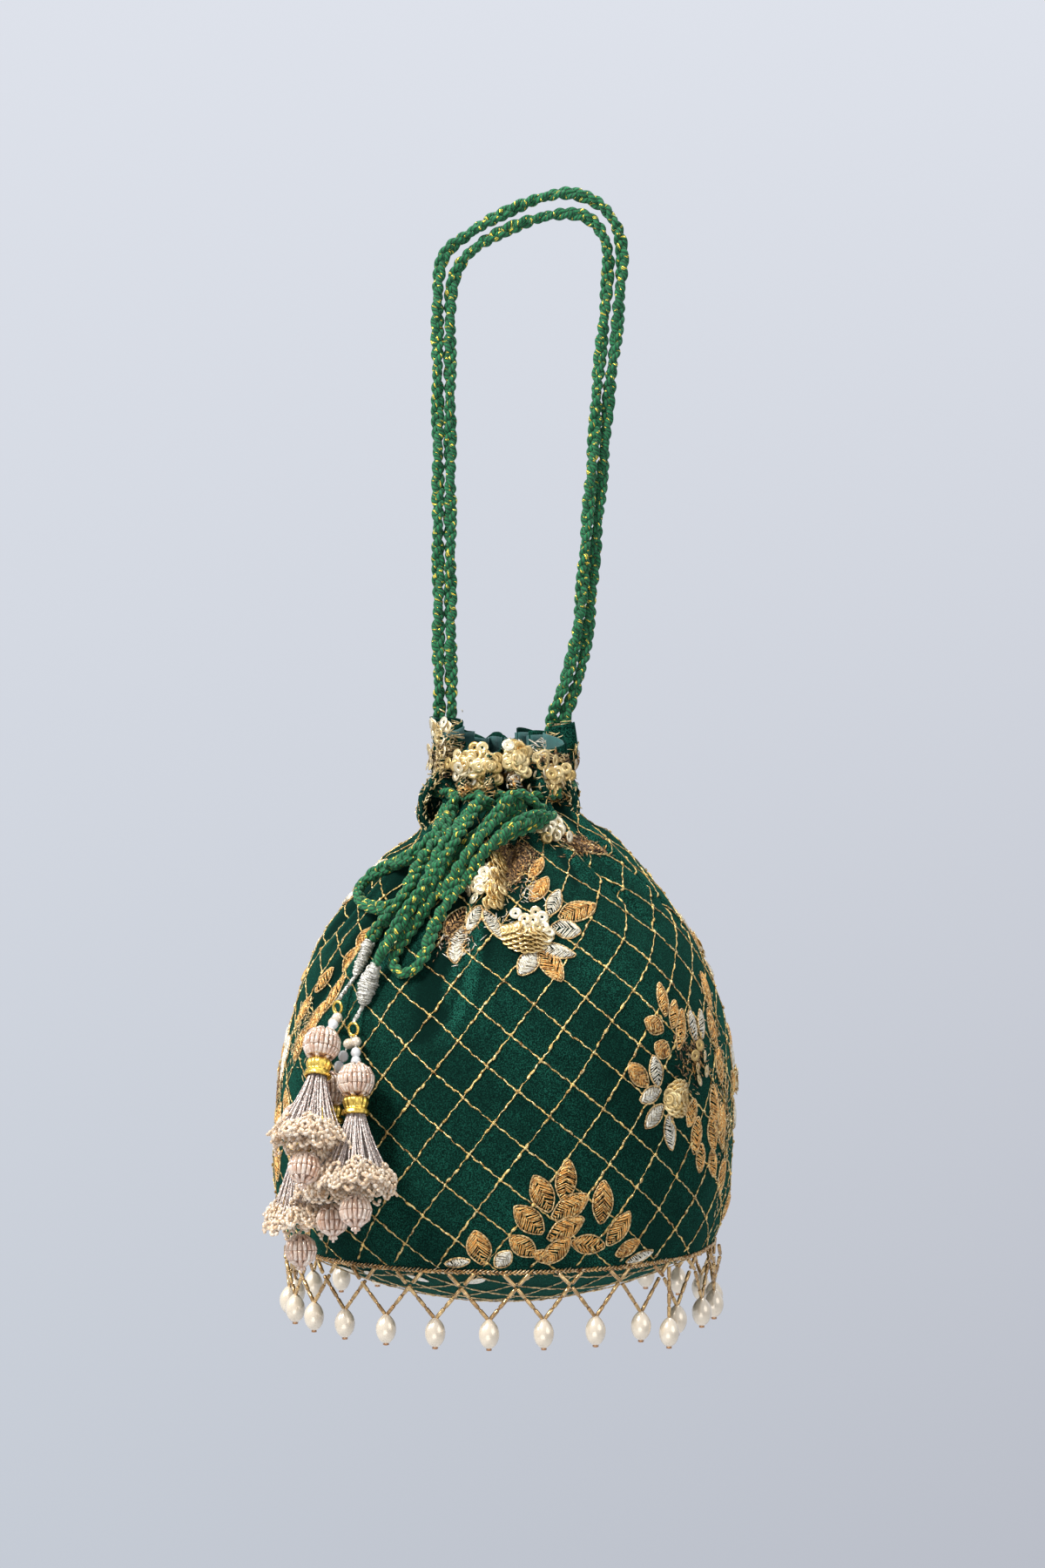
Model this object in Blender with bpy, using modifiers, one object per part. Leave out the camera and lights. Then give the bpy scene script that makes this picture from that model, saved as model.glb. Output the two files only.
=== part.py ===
"""A potli bag: a round gathered pouch of embroidered cloth that hangs by its cord handle.

Units are metres, +Z is up and the origin is the underside of the handle's crest, where a hook
or a hand carries the bag. The photograph looks along +Y, with +X to its right. Angles around
the bag start at the front and grow to the right, as seen from the front.
"""

import math

import bmesh
import bpy
from mathutils import Matrix, Vector

# Pouch
BAG_AXIS_X = -0.0256
NECK_DROP = 0.2275
BODY_HEIGHT = 0.1824
WIDEST_ABOVE_RIM = 0.0301
NECK_RADIUS = 0.0235
WIDEST_RADIUS = 0.0917
RIM_RADIUS = 0.0840
BASE_SAG = 0.0220
SHOULDER_LEAN = 0.0030
SHOULDER_FULLNESS = 3.0
SHOULDER_HOLLOW = 1.2
RIM_TUCK = 1.6
FABRIC = 0.0006
LINING = 0.0005
CLEAR = 0.0003
SEAM_GAP = 0.0005
LINING_GAP = 0.0010

# Pleats and ruffle
PLEATS = 14
COLUMNS_PER_PLEAT = 5
PLEAT_CROWDING = 1.5
PLEAT_SHARPNESS = 1.6
NECK_PLEAT_DEPTH = 0.0085
PLEAT_REACH = 0.0800
PLEAT_FADE = 2.2
RUFFLE_RADIUS = 0.0290
RUFFLE_PLEAT_DEPTH = 0.0110
RUFFLE_FLARE_HEIGHT = 0.0080
RUFFLE_HEIGHT = 0.0190
RUFFLE_CORNER_RISE = 0.0075

# Rows of the cloth: shares of the ruffle's height, of the way from the neck down to the widest
# level and from there to the rim, and the base's rings as shares of its radius
RUFFLE_ROWS = [1.0, 0.7]
SIDE_ROWS = [0, 0.04, 0.085, 0.14, 0.2, 0.27, 0.355, 0.46, 0.6, 0.775, 1.0]
RIM_ROW = 0.55
BASE_RINGS = [0.82, 0.6, 0.32, 0.0]

# Base and rim
HEM_HEIGHT = 0.0060
BAND_THICKNESS = 0.0035
BAND_ABOVE_RIM = 0.0050
BAND_BELOW_RIM = 0.0010

# Sides of the turned pieces, which set how fine their curves are
BASE_SIDES = 32
LINING_SIDES = 24
BAND_SIDES = 40
BEAD_SIDES = 8
ROD_SIDES = 5
RING_POINTS = 12

# Fringe
DROPS = 26
FIRST_DROP_ANGLE = -3.0
BUGLE_DIAMETER = 0.0019
CROSSING_BELOW_RIM = 0.0056
CROSSING_OFFSET = 0.00125
STRAND_DROP = 0.0123
PEARL_DIAMETER = 0.0075
PEARL_LENGTH = 0.0115
PEARL_SEAT = 0.0008
STUB_SPREAD = 0.0049
LONE_DROP_INDEX = 3.5
LONE_STRAND = 0.0200
LONE_STANDOFF = 0.0039
CRIMP_DIAMETER = 0.0030

# Cords
CORD_DIAMETER = 0.0046
HANDLE_POINT_STEP = 0.012
CORD_POINT_STEP = 0.009
NECK_TURN_POINTS = 24
CLOTH_GAP = 0.0006
NECK_TURN_GAP = 0.0018

# Tassels
WRAP_THREAD = 0.0010
RING_RADIUS = 0.0024
RING_WIRE = 0.0010
BEAD_STEM = 0.0012
BEAD_SPACE = 0.0002
TOP_PEARL = 0.0040
TOP_CRYSTAL = 0.0032
BALL_DIAMETER = 0.0144
CAP_DIAMETER = 0.0108
CAP_HEIGHT = 0.0057
CAP_WALL = 0.0006
SKIRT_LENGTH = 0.0295
SKIRT_HOLLOW = 0.0040
SKIRT_END_RADIUS = 0.0102
END_BALL_DIAMETER = 0.0110
BALL_TO_END = 0.0490
TIP_LENGTH = 0.0030

# Meshes: points this close are one, and edges that turn more than this angle are sharp
WELD = 0.00001
SHARP_ANGLE = 75.0

NECK_Z = -NECK_DROP
RIM_Z = NECK_Z - BODY_HEIGHT
WIDEST_Z = RIM_Z + WIDEST_ABOVE_RIM
CORD_RADIUS = CORD_DIAMETER / 2
LAYER_STEP = CORD_DIAMETER + CLEAR
BASE_RADIUS = RIM_RADIUS - FABRIC - SEAM_GAP
BALL_RADIUS = BALL_DIAMETER / 2
END_BALL_RADIUS = END_BALL_DIAMETER / 2
FRINGE_RADIUS = RIM_RADIUS + CLEAR + BAND_THICKNESS / 2
CROSSING_Z = RIM_Z - CROSSING_BELOW_RIM
DROP_STEP = 360 / DROPS
HALF_PITCH = math.pi / DROPS

# Handle routes in millimetres: to the right of the crest, above it, and away from the viewer.
# They were drawn for the bag axis, neck drop, ruffle radius and cord that follow, and are
# stretched to fit other values.
TABLE_AXIS_X = -0.0256
TABLE_NECK_DROP = 0.2275
TABLE_RUFFLE_RADIUS = 0.0290
TABLE_CORD = 0.0046
OUTER_HANDLE = [
    (-50.6, -216.5, 0), (-50.6, -207, 0), (-50.9, -196, 0), (-51.3, -170, 0),
    (-51.4, -135, 0), (-51.5, -100, 0), (-51.6, -65, 0), (-51.7, -36, 0),
    (-51.2, -22.5, 0), (-49.6, -15.5, 0), (-46.2, -10.8, 0), (-40.5, -6.6, 0),
    (-32.5, -1.2, 0), (-19.5, 5.4, 0), (-9.5, 9.2, 0), (0.4, 10.9, 0),
    (9.1, 8.8, 0), (15.9, 4.1, 0), (20.6, -3.4, 0), (22.4, -12.1, 0),
    (22.4, -21.5, 0), (21.4, -32, 0), (20.6, -43, 0), (19.2, -54, 0),
    (17.6, -66, 0.4), (16.4, -80, 1.2), (15, -97, 1.6), (12.9, -118, 1.8),
    (11, -141, 1.8), (8.9, -164, 1.6), (5.3, -183, 1.2), (1.9, -193, 0.8),
    (-0.7, -201, 0.2), (-0.9, -216.5, 0),
]
INNER_HANDLE = [
    (-45.6, -216.5, 0), (-45.6, -207, 0), (-45.9, -196, 0), (-46.4, -170, 0),
    (-46.5, -135, 0), (-46.6, -100, 0), (-46.6, -65, 0), (-46.6, -38, 0),
    (-45.9, -27, 0), (-43.5, -19.5, 0), (-38.8, -13.3, 0), (-31.8, -8, 0),
    (-21.5, -2.8, 0), (-12.9, 0.4, 0), (-2.8, 2.5, 0), (6, 2.1, 0),
    (11.6, -1.4, 0), (15.2, -7, 0), (16.9, -14.7, 0), (16.6, -24.1, 0),
    (15.9, -33.2, 0), (15.1, -42, 0), (13.8, -54, 0), (12.5, -66, -0.4),
    (11.7, -80, -1.2), (10.6, -97, -1.6), (8.7, -118, -1.8), (6.9, -141, -1.8),
    (4.7, -164, -1.6), (0.4, -183, -1.2), (-3.4, -193, -0.8), (-5.8, -201, -0.2),
    (-6.0, -216.5, 0),
]

# Drawstring routes over the pouch: degrees around it, millimetres below the neck, and the
# layer of cord that the point lies in, from 1 on the cloth to 2 on top of another cord. They
# leave room between cords of up to 4.8 mm.
SHORT_TAIL = [
    (-40.5, 6.3, 1.0), (-38.5, 11.8, 1.0), (-33.5, 20.5, 1.5), (-32.5, 29.4, 2.0),
    (-34.0, 37.3, 2.0), (-34.5, 44.3, 2.0), (-37.0, 51.0, 1.8), (-43.0, 56.3, 1.0),
    (-43.7, 60.8, 1.0),
]
LONG_TAIL = [
    (-16.5, 7.0, 1.0), (-20.5, 10.7, 1.0), (-25.5, 17.1, 1.4), (-27.0, 27.7, 2.0),
    (-28.0, 37.3, 2.0), (-29.0, 44.2, 2.0), (-31.0, 51.3, 2.0), (-33.0, 59.2, 2.0),
    (-34.5, 65.6, 2.0), (-35.9, 70.2, 1.8),
]
SMALL_LOOP = [
    (-37.0, 28.5, 1.0), (-41.5, 29.9, 1.0), (-50.0, 31.3, 1.0), (-64.0, 36.0, 1.0),
    (-67.5, 41.5, 1.0), (-59.0, 46.5, 1.0), (-49.0, 48.5, 1.0), (-41.5, 47.9, 1.0),
    (-36.5, 44.9, 1.0), (-35.5, 39.6, 1.0),
]
LONG_LOOP = [
    (12.0, 4.5, 2.1), (8.5, 9.6, 2.1), (2.5, 13.8, 1.8), (-5.0, 16.4, 1.4),
    (-16.0, 19.8, 1.0), (-22.5, 27.8, 1.0), (-24.5, 34.9, 1.0), (-25.5, 42.0, 1.0),
    (-28.0, 49.8, 1.0), (-31.0, 57.5, 1.0), (-33.0, 64.0, 1.0), (-32.5, 69.0, 1.0),
    (-29.0, 72.0, 1.0), (-25.5, 70.0, 1.0), (-23.5, 64.3, 1.0), (-23.0, 56.6, 1.0),
    (-21.5, 49.0, 1.0), (-18.5, 41.3, 1.0), (-16.0, 34.8, 1.0), (-10.5, 27.4, 1.0),
    (2.5, 20.1, 1.0), (14.5, 16.7, 1.0), (27.0, 12.8, 1.0), (38.5, 8.4, 1.0),
]

# Thread bindings of the cord ends, each from its tail's end to the ring that two tassels hang
# from: degrees, millimetres below the neck, millimetres off the cloth and the half width there
WRAPS = {
    "short": [
        (-44.2, 66.3, 2.6, 2.1), (-45.0, 71.4, 2.3, 1.8), (-45.5, 73.2, 1.6, 0.5),
        (-46.5, 77.5, 2.4, 0.5),
    ],
    "long": [
        (-38.0, 75.5, 4.4, 3.7), (-38.5, 80.0, 4.0, 3.4), (-39.0, 82.6, 2.9, 2.2),
        (-39.4, 84.0, 2.2, 0.5), (-39.2, 86.0, 3.2, 0.5),
    ],
}
RINGS = {"short": (-46.0, 84.5, 5.5), "long": (-39.0, 92.0, 5.5)}

# Each tassel's ring, its ball and the point its end aims at: degrees, millimetres below the
# neck and millimetres off the cloth
TASSELS = {
    "front_left": ("short", (-40.4, 97.0, 19.0), (-35.5, 142.0, 34.0)),
    "back_left": ("short", (-50.5, 127.5, 9.5), (-47.0, 176.0, 17.5)),
    "front_right": ("long", (-32.4, 110.0, 14.0), (-27.6, 158.0, 24.5)),
    "back_right": ("long", (-41.7, 114.5, 9.2), (-37.5, 163.0, 13.7)),
}

PARTS = "potli_bag"
HELPERS = "potli_bag_helpers"


def clear_scene():
    for item in list(bpy.data.objects):
        bpy.data.objects.remove(item, do_unlink=True)


def collection(name):
    """The collection of this name, made and linked when it is missing."""
    found = bpy.data.collections.get(name)
    if found is None:
        found = bpy.data.collections.new(name)
        bpy.context.scene.collection.children.link(found)
    return found


def material(name, colour, roughness, metallic=0.0):
    """A Principled material of one colour, made once."""
    made = bpy.data.materials.get(name)
    if made is None:
        made = bpy.data.materials.new(name)
        made.use_nodes = True
        shader = made.node_tree.nodes["Principled BSDF"]
        shader.inputs["Base Color"].default_value = (*colour, 1.0)
        shader.inputs["Roughness"].default_value = roughness
        shader.inputs["Metallic"].default_value = metallic
    return made


def add_part(name, data, finish, place=None, pivot=None):
    """Puts a mesh or a curve in the scene as one named sub-part, on its pivot if it has one."""
    part = bpy.data.objects.new(name, data)
    collection(PARTS).objects.link(part)
    if not data.materials:
        data.materials.append(finish)
    if place is not None:
        part.matrix_world = place
    if pivot is not None:
        part.parent = pivot
        part.matrix_basis = Matrix.Translation(-pivot.location) @ place
    return part


def add_pivot(name, point):
    """An empty on a joint's axis, which carries the pieces that swing about it."""
    pivot = bpy.data.objects.new(name, None)
    pivot.empty_display_size = RING_RADIUS
    pivot.location = point
    collection(PARTS).objects.link(pivot)
    return pivot


def add_helper(name, data):
    helper = bpy.data.objects.new(name, data)
    collection(HELPERS).objects.link(helper)
    helper.hide_render = True
    helper.display_type = "WIRE"
    return helper


def neck_share(z):
    """How far z is from the neck, 0, to the widest level, 1."""
    return min(max((NECK_Z - z) / (NECK_Z - WIDEST_Z), 0.0), 1.0)


def side_radius(z):
    """The pouch's outer radius over its pleats."""
    if z > NECK_Z:
        share = min((z - NECK_Z) / RUFFLE_FLARE_HEIGHT, 1.0)
        return NECK_RADIUS + (RUFFLE_RADIUS - NECK_RADIUS) * share
    if z >= WIDEST_Z:
        share = 1 - (1 - neck_share(z)) ** SHOULDER_FULLNESS
        return NECK_RADIUS + (WIDEST_RADIUS - NECK_RADIUS) * share**SHOULDER_HOLLOW
    share = min((WIDEST_Z - z) / WIDEST_ABOVE_RIM, 1.0)
    return WIDEST_RADIUS - (WIDEST_RADIUS - RIM_RADIUS) * share**RIM_TUCK


def side_shift(z):
    """The pouch leans a little to the right between its neck and its widest level."""
    return SHOULDER_LEAN * math.sin(math.pi * math.sqrt(neck_share(z)))


def pleat_depth(z):
    if z > NECK_Z:
        share = min((z - NECK_Z) / RUFFLE_FLARE_HEIGHT, 1.0)
        return NECK_PLEAT_DEPTH + (RUFFLE_PLEAT_DEPTH - NECK_PLEAT_DEPTH) * share
    return NECK_PLEAT_DEPTH * max(1 - (NECK_Z - z) / PLEAT_REACH, 0.0) ** PLEAT_FADE


def around(angle, radius, z, shift=0.0):
    """The point at this many degrees to the right of the front."""
    turn = math.radians(angle)
    x = BAG_AXIS_X + shift + radius * math.sin(turn)
    return Vector((x, -radius * math.cos(turn), z))


def off_side(angle, below_neck, off):
    """A point straight out from the pouch's side, all in degrees and millimetres."""
    z = NECK_Z - below_neck / 1000
    return around(angle, side_radius(z) + off / 1000, z, side_shift(z))


def on_cloth(angle, below_neck, off):
    """The point that stands off the cloth, square to it, by a distance in metres."""
    z = NECK_Z - below_neck / 1000
    step = 0.0005
    slope = (side_radius(z - step) - side_radius(z + step)) / (2 * step)
    length = math.hypot(1, slope)
    return around(angle, side_radius(z) + off / length, z + off * slope / length, side_shift(z))


def pleat_turn(phase):
    """The angle, in radians from the right, where the pleats reach this phase."""
    turn = phase / PLEATS
    for _ in range(8):
        turn = (phase + PLEAT_CROWDING * math.sin(2 * turn)) / PLEATS
    return turn


def wrapped_sheet(name, columns, levels, place):
    """A flat sheet wrapped round the pouch: place(across, level) gives each point."""
    shape = bmesh.new()
    bmesh.ops.create_grid(shape, x_segments=columns, y_segments=len(levels) - 1, size=0.5)
    for vertex in shape.verts:
        across = vertex.co.x + 0.5
        row = round((0.5 - vertex.co.y) * (len(levels) - 1))
        vertex.co = place(across, levels[row])
    bmesh.ops.remove_doubles(shape, verts=shape.verts, dist=WELD)
    bmesh.ops.recalc_face_normals(shape, faces=shape.faces)
    return finished_mesh(name, shape)


def finished_mesh(name, shape):
    mesh = bpy.data.meshes.new(name)
    shape.to_mesh(mesh)
    shape.free()
    mesh.shade_smooth()
    mesh.set_sharp_from_angle(angle=math.radians(SHARP_ANGLE))
    return mesh


def solidify(part, thickness):
    """Gives the sheet its thickness, inwards from its outer face."""
    wall = part.modifiers.new("wall", "SOLIDIFY")
    wall.thickness = thickness
    wall.offset = -1.0
    wall.use_even_offset = True


def turned(name, profile, steps):
    """A mesh with a profile, given as (radius, height) down its outer side, and its Screw."""
    mesh = bpy.data.meshes.new(name)
    points = [(radius, 0.0, height) for radius, height in profile]
    closed = all(radius > 0 for radius, _ in profile)
    edges = [(i, i + 1) for i in range(len(points) - 1)]
    if closed:
        edges.append((len(points) - 1, 0))
    mesh.from_pydata(points, edges, [])
    helper = add_helper(name + "_profile", mesh)
    screw = helper.modifiers.new("turn", "SCREW")
    screw.steps = screw.render_steps = steps
    screw.use_merge_vertices = True
    screw.merge_threshold = WELD
    screw.use_smooth_shade = True
    return baked(name, helper)


def baked(name, helper):
    """The helper's mesh with its modifiers applied, welded, as new mesh data."""
    bpy.context.view_layer.update()
    graph = bpy.context.evaluated_depsgraph_get()
    mesh = bpy.data.meshes.new_from_object(helper.evaluated_get(graph))
    mesh.transform(helper.matrix_world)
    bpy.data.objects.remove(helper, do_unlink=True)
    shape = bmesh.new()
    shape.from_mesh(mesh)
    bmesh.ops.remove_doubles(shape, verts=shape.verts, dist=WELD)
    bpy.data.meshes.remove(mesh)
    return finished_mesh(name, shape)


def smooth_route(points, spacing):
    """Points at about this spacing along a smooth curve through the given ones."""
    ends = [points[0] * 2 - points[1]] + points + [points[-1] * 2 - points[-2]]
    route = [points[0]]
    for i in range(len(points) - 1):
        before, start, end, after = ends[i : i + 4]
        pieces = max(1, round((end - start).length / spacing))
        for k in range(1, pieces + 1):
            t = k / pieces
            route.append(
                0.5 * (
                    2 * start
                    + (end - before) * t
                    + (2 * before - 5 * start + 4 * end - after) * t * t
                    + (3 * start - before - 3 * end + after) * t * t * t
                )
            )
    return route


def tube(name, route, radius, widths=None, cyclic=False, resolution=2):
    """Curve data of a round tube along the route, with filled ends."""
    curve = bpy.data.curves.new(name, "CURVE")
    curve.dimensions = "3D"
    curve.bevel_depth = radius
    curve.bevel_resolution = resolution
    curve.use_fill_caps = True
    spline = curve.splines.new("POLY")
    spline.points.add(len(route) - 1)
    for i, point in enumerate(route):
        spline.points[i].co = (*point, 1.0)
        spline.points[i].radius = 1.0 if widths is None else widths[i] / radius
    spline.use_cyclic_u = cyclic
    spline.use_smooth = True
    return curve


def join(base, other_mesh, name):
    """One mesh from two that cross."""
    body = add_helper(name + "_body", base)
    addition = add_helper(name + "_addition", other_mesh)
    union = body.modifiers.new("join", "BOOLEAN")
    union.operation = "UNION"
    union.object = addition
    mesh = baked(name, body)
    bpy.data.objects.remove(addition, do_unlink=True)
    return mesh


def aim(start, direction):
    """The placement that puts a turned piece at start, with its lower end along direction."""
    turn = Vector((0, 0, -1)).rotation_difference(direction)
    return Matrix.Translation(start) @ turn.to_matrix().to_4x4()


def side_heights():
    """The side panel's rows below the ruffle's flare, closest where the cloth turns most."""
    heights = [NECK_Z + (WIDEST_Z - NECK_Z) * share for share in SIDE_ROWS]
    return heights + [WIDEST_Z + (RIM_Z - WIDEST_Z) * RIM_ROW, RIM_Z]


def make_side_panel():
    """The embroidered cloth: pleated ruffle, drawn neck and full sides in one sheet."""
    levels = [("ruffle", share) for share in RUFFLE_ROWS]
    levels += [("body", z) for z in [NECK_Z + RUFFLE_FLARE_HEIGHT] + side_heights()]

    def place(across, level):
        phase = 2 * math.pi * PLEATS * across
        turn = pleat_turn(phase)
        kind, value = level
        z = value
        if kind == "ruffle":
            top = RUFFLE_HEIGHT + RUFFLE_CORNER_RISE * math.cos(turn) ** 2
            z = NECK_Z + value * top
        fold = ((1 - math.cos(phase)) / 2) ** PLEAT_SHARPNESS
        radius = side_radius(z) - pleat_depth(z) * fold
        x = BAG_AXIS_X + side_shift(z) + radius * math.cos(turn)
        return Vector((x, radius * math.sin(turn), z))

    mesh = wrapped_sheet("side_panel", PLEATS * COLUMNS_PER_PLEAT, levels, place)
    panel = add_part("side_panel", mesh, material("green_velvet", (0.006, 0.042, 0.032), 0.85))
    solidify(panel, FABRIC)


def base_height(share):
    """The base hangs as a shallow dome under the weight of what the bag holds."""
    return RIM_Z - BASE_SAG * (1 - share**2)


def make_base_panel():
    profile = [(BASE_RADIUS, RIM_Z + HEM_HEIGHT), (BASE_RADIUS, RIM_Z)]
    profile += [(BASE_RADIUS * share, base_height(share)) for share in BASE_RINGS]
    mesh = turned("base_panel", profile, BASE_SIDES)
    finish = material("green_velvet", (0.006, 0.042, 0.032), 0.85)
    panel = add_part("base_panel", mesh, finish, Matrix.Translation((BAG_AXIS_X, 0, 0)))
    solidify(panel, FABRIC)


def make_lining():
    """The plain inner pouch, clear of the pleats' valleys and open at the neck."""
    inset = FABRIC + LINING_GAP
    hem_top = RIM_Z + HEM_HEIGHT
    levels = [("side", z) for z in side_heights()[:-4:2] + [WIDEST_Z, hem_top + LINING_GAP * 3]]
    levels += [("hem", hem_top), ("hem", RIM_Z + LINING_GAP)]
    levels += [("bottom", share) for share in BASE_RINGS]

    def place(across, level):
        turn = 2 * math.pi * across
        kind, value = level
        if kind == "side":
            radius = side_radius(value) - pleat_depth(value) - inset
            shift, z = side_shift(value), value
        elif kind == "hem":
            radius = BASE_RADIUS - inset
            shift, z = 0.0, value
        else:
            radius = BASE_RADIUS * value
            shift, z = 0.0, base_height(value) + inset + LINING
        return Vector((BAG_AXIS_X + shift + radius * math.cos(turn), radius * math.sin(turn), z))

    mesh = wrapped_sheet("lining", LINING_SIDES, levels, place)
    lining = add_part("lining", mesh, material("teal_lining", (0.012, 0.075, 0.07), 0.6))
    solidify(lining, LINING)


def make_rim_trim():
    """The lace band round the base seam, with the upper bugles of the fringe below it."""
    top = RIM_Z + BAND_ABOVE_RIM
    bottom = RIM_Z - BAND_BELOW_RIM
    spread = 1 / math.cos(math.pi / BAND_SIDES)
    inner = (RIM_RADIUS + CLEAR) * spread
    outer = inner + BAND_THICKNESS
    flat = (side_radius(top) + CLEAR) * spread
    profile = [
        (flat + BAND_THICKNESS * 0.35, top),
        (max(flat, inner) + BAND_THICKNESS * 0.75, top - BAND_ABOVE_RIM * 0.36),
        (outer, RIM_Z),
        (outer, bottom),
        (inner, bottom),
        (inner, RIM_Z),
        (flat, top),
    ]
    band = turned("band", profile, BAND_SIDES)
    band.transform(Matrix.Translation((BAG_AXIS_X, 0, 0)))
    stubs = bmesh.new()
    for i in range(DROPS):
        for side in (-1, 1):
            start, end = stub_ends(FIRST_DROP_ANGLE + (i + 0.5) * DROP_STEP, side)
            add_rod(stubs, start, end, BUGLE_DIAMETER / 2)
    mesh = join(band, finished_mesh("stubs", stubs), "rim_trim")
    add_part("rim_trim", mesh, material("copper_lace", (0.42, 0.2, 0.08), 0.5, 0.5))


def stub_ends(crossing, side):
    """Both ends of an upper bugle: it goes on from the drop on its other side."""
    low_end = strand_end(side)
    run = (low_end - strand_low()).normalized()
    start = drop_frame(crossing - side * DROP_STEP / 2) @ (low_end + run * (BUGLE_DIAMETER / 2 + CLEAR))
    layer = FRINGE_RADIUS - side * CROSSING_OFFSET * 0.7
    turn = crossing + side * math.degrees(STUB_SPREAD / FRINGE_RADIUS)
    return start, around(turn, layer, RIM_Z - BAND_BELOW_RIM * 0.4)


def add_rod(shape, start, end, radius):
    run = end - start
    turn = Vector((0, 0, 1)).rotation_difference(run).to_matrix().to_4x4()
    place = Matrix.Translation((start + end) / 2) @ turn
    bmesh.ops.create_cone(
        shape, cap_ends=True, segments=ROD_SIDES, radius1=radius, radius2=radius,
        depth=run.length, matrix=place,
    )


def drop_frame(angle):
    """Local axes of a drop: +X along the rim to the right, +Y inwards, +Z up."""
    middle = around(angle, FRINGE_RADIUS * math.cos(HALF_PITCH), CROSSING_Z)
    return Matrix.Translation(middle) @ Matrix.Rotation(math.radians(angle), 4, "Z")


def strand_end(side):
    """Where a drop's strand crosses its neighbour's: its right one passes behind."""
    return Vector((side * FRINGE_RADIUS * math.sin(HALF_PITCH), side * CROSSING_OFFSET, 0))


def strand_low():
    return Vector((0, 0, -STRAND_DROP))


def pearl_shape():
    shape = bmesh.new()
    bmesh.ops.create_uvsphere(shape, u_segments=6, v_segments=5, radius=PEARL_DIAMETER / 2)
    bmesh.ops.scale(shape, vec=(1, 1, PEARL_LENGTH / PEARL_DIAMETER), verts=shape.verts)
    return shape


def hung_pearl(name, route, widths, low):
    """A pearl fixed to the lowest point of its bugle strand."""
    strand = add_helper(name + "_strand", tube(name, route, BUGLE_DIAMETER / 2, widths, resolution=1))
    pearl = pearl_shape()
    centre = low - Vector((0, 0, PEARL_LENGTH / 2 - PEARL_SEAT))
    bmesh.ops.translate(pearl, vec=centre, verts=pearl.verts)
    return join(baked(name + "_rod", strand), finished_mesh(name + "_pearl", pearl), name)


def make_fringe():
    """Twenty-six pearls on crossing V's of bugles, and one lone pearl on a single strand."""
    nacre = material("nacre", (0.78, 0.74, 0.66), 0.25)
    left, right, low = strand_end(-1), strand_end(1), strand_low()
    reach = BUGLE_DIAMETER * 0.3
    left_tip = left + (left - low).normalized() * reach
    right_tip = right + (right - low).normalized() * reach
    full = BUGLE_DIAMETER / 2
    mesh = hung_pearl(
        "fringe_drop", [left_tip, left, low, right, right_tip],
        [full * 0.4, full, full, full, full * 0.4], low,
    )
    for i in range(DROPS):
        place = drop_frame(FIRST_DROP_ANGLE + i * DROP_STEP)
        add_part(f"fringe_drop_{i + 1:02d}", mesh, nacre, place)
    top = Vector((0, 0, 0))
    low = Vector((0, 0, -LONE_STRAND))
    crimp = CRIMP_DIAMETER / 2
    lone = hung_pearl(
        "lone_drop",
        [top + Vector((0, 0, crimp * 0.8)), top, top - Vector((0, 0, crimp * 0.8)), low],
        [crimp * 0.5, crimp, full, full], low,
    )
    add_part("fringe_drop_lone", lone, nacre, lone_frame())


def lone_frame():
    angle = FIRST_DROP_ANGLE + LONE_DROP_INDEX * DROP_STEP
    place = around(angle, FRINGE_RADIUS + LONE_STANDOFF, RIM_Z - BAND_BELOW_RIM)
    return Matrix.Translation(place) @ Matrix.Rotation(math.radians(angle), 4, "Z")


def handle_route(points, side):
    """A table's route in metres, fitted to the bag: side is 1 for the outer strand."""
    stretch = NECK_DROP / TABLE_NECK_DROP
    apart = side * (CORD_DIAMETER - TABLE_CORD) / 2
    table = [Vector((x, y, z)) / 1000 for x, z, y in points]
    route = []
    for i, point in enumerate(table):
        low = max(-point.z / TABLE_NECK_DROP, 0)
        flank = -1 if point.x < TABLE_AXIS_X else 1
        wider = flank * (RUFFLE_RADIUS - TABLE_RUFFLE_RADIUS) + BAG_AXIS_X - TABLE_AXIS_X
        run = table[min(i + 1, len(table) - 1)] - table[max(i - 1, 0)]
        out = Vector((-run.z, 0, run.x)).normalized()
        fitted = Vector((point.x + wider * low, point.y, point.z * stretch))
        route.append(fitted + out * apart)
    return route


def make_handle():
    green = material("green_cord", (0.02, 0.16, 0.09), 0.8)
    strands = [("handle_strand_outer", OUTER_HANDLE, 1), ("handle_strand_inner", INNER_HANDLE, -1)]
    for name, points, side in strands:
        route = smooth_route(handle_route(points, side), HANDLE_POINT_STEP)
        add_part(name, tube(name, route, CORD_RADIUS), green)


def cord_route(points):
    """Points over the pouch, each raised to its layer of cord."""
    off = CORD_RADIUS + CLOTH_GAP
    return [on_cloth(a, below, off + (layer - 1) * LAYER_STEP) for a, below, layer in points]


def make_drawstring():
    green = material("green_cord", (0.02, 0.16, 0.09), 0.8)
    radius = NECK_RADIUS + CORD_RADIUS + NECK_TURN_GAP
    step = 360 / NECK_TURN_POINTS
    turn = [around(step * i, radius, NECK_Z) for i in range(NECK_TURN_POINTS)]
    ring = tube("drawstring_neck_turn", turn, CORD_RADIUS, cyclic=True)
    add_part("drawstring_neck_turn", ring, green)
    routes = {
        "drawstring_tail_short": SHORT_TAIL,
        "drawstring_tail_long": LONG_TAIL,
        "drawstring_loop_small": SMALL_LOOP,
        "drawstring_loop_long": LONG_LOOP,
    }
    for name, points in routes.items():
        route = smooth_route(cord_route(points), CORD_POINT_STEP)
        add_part(name, tube(name, route, CORD_RADIUS), green)


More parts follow.
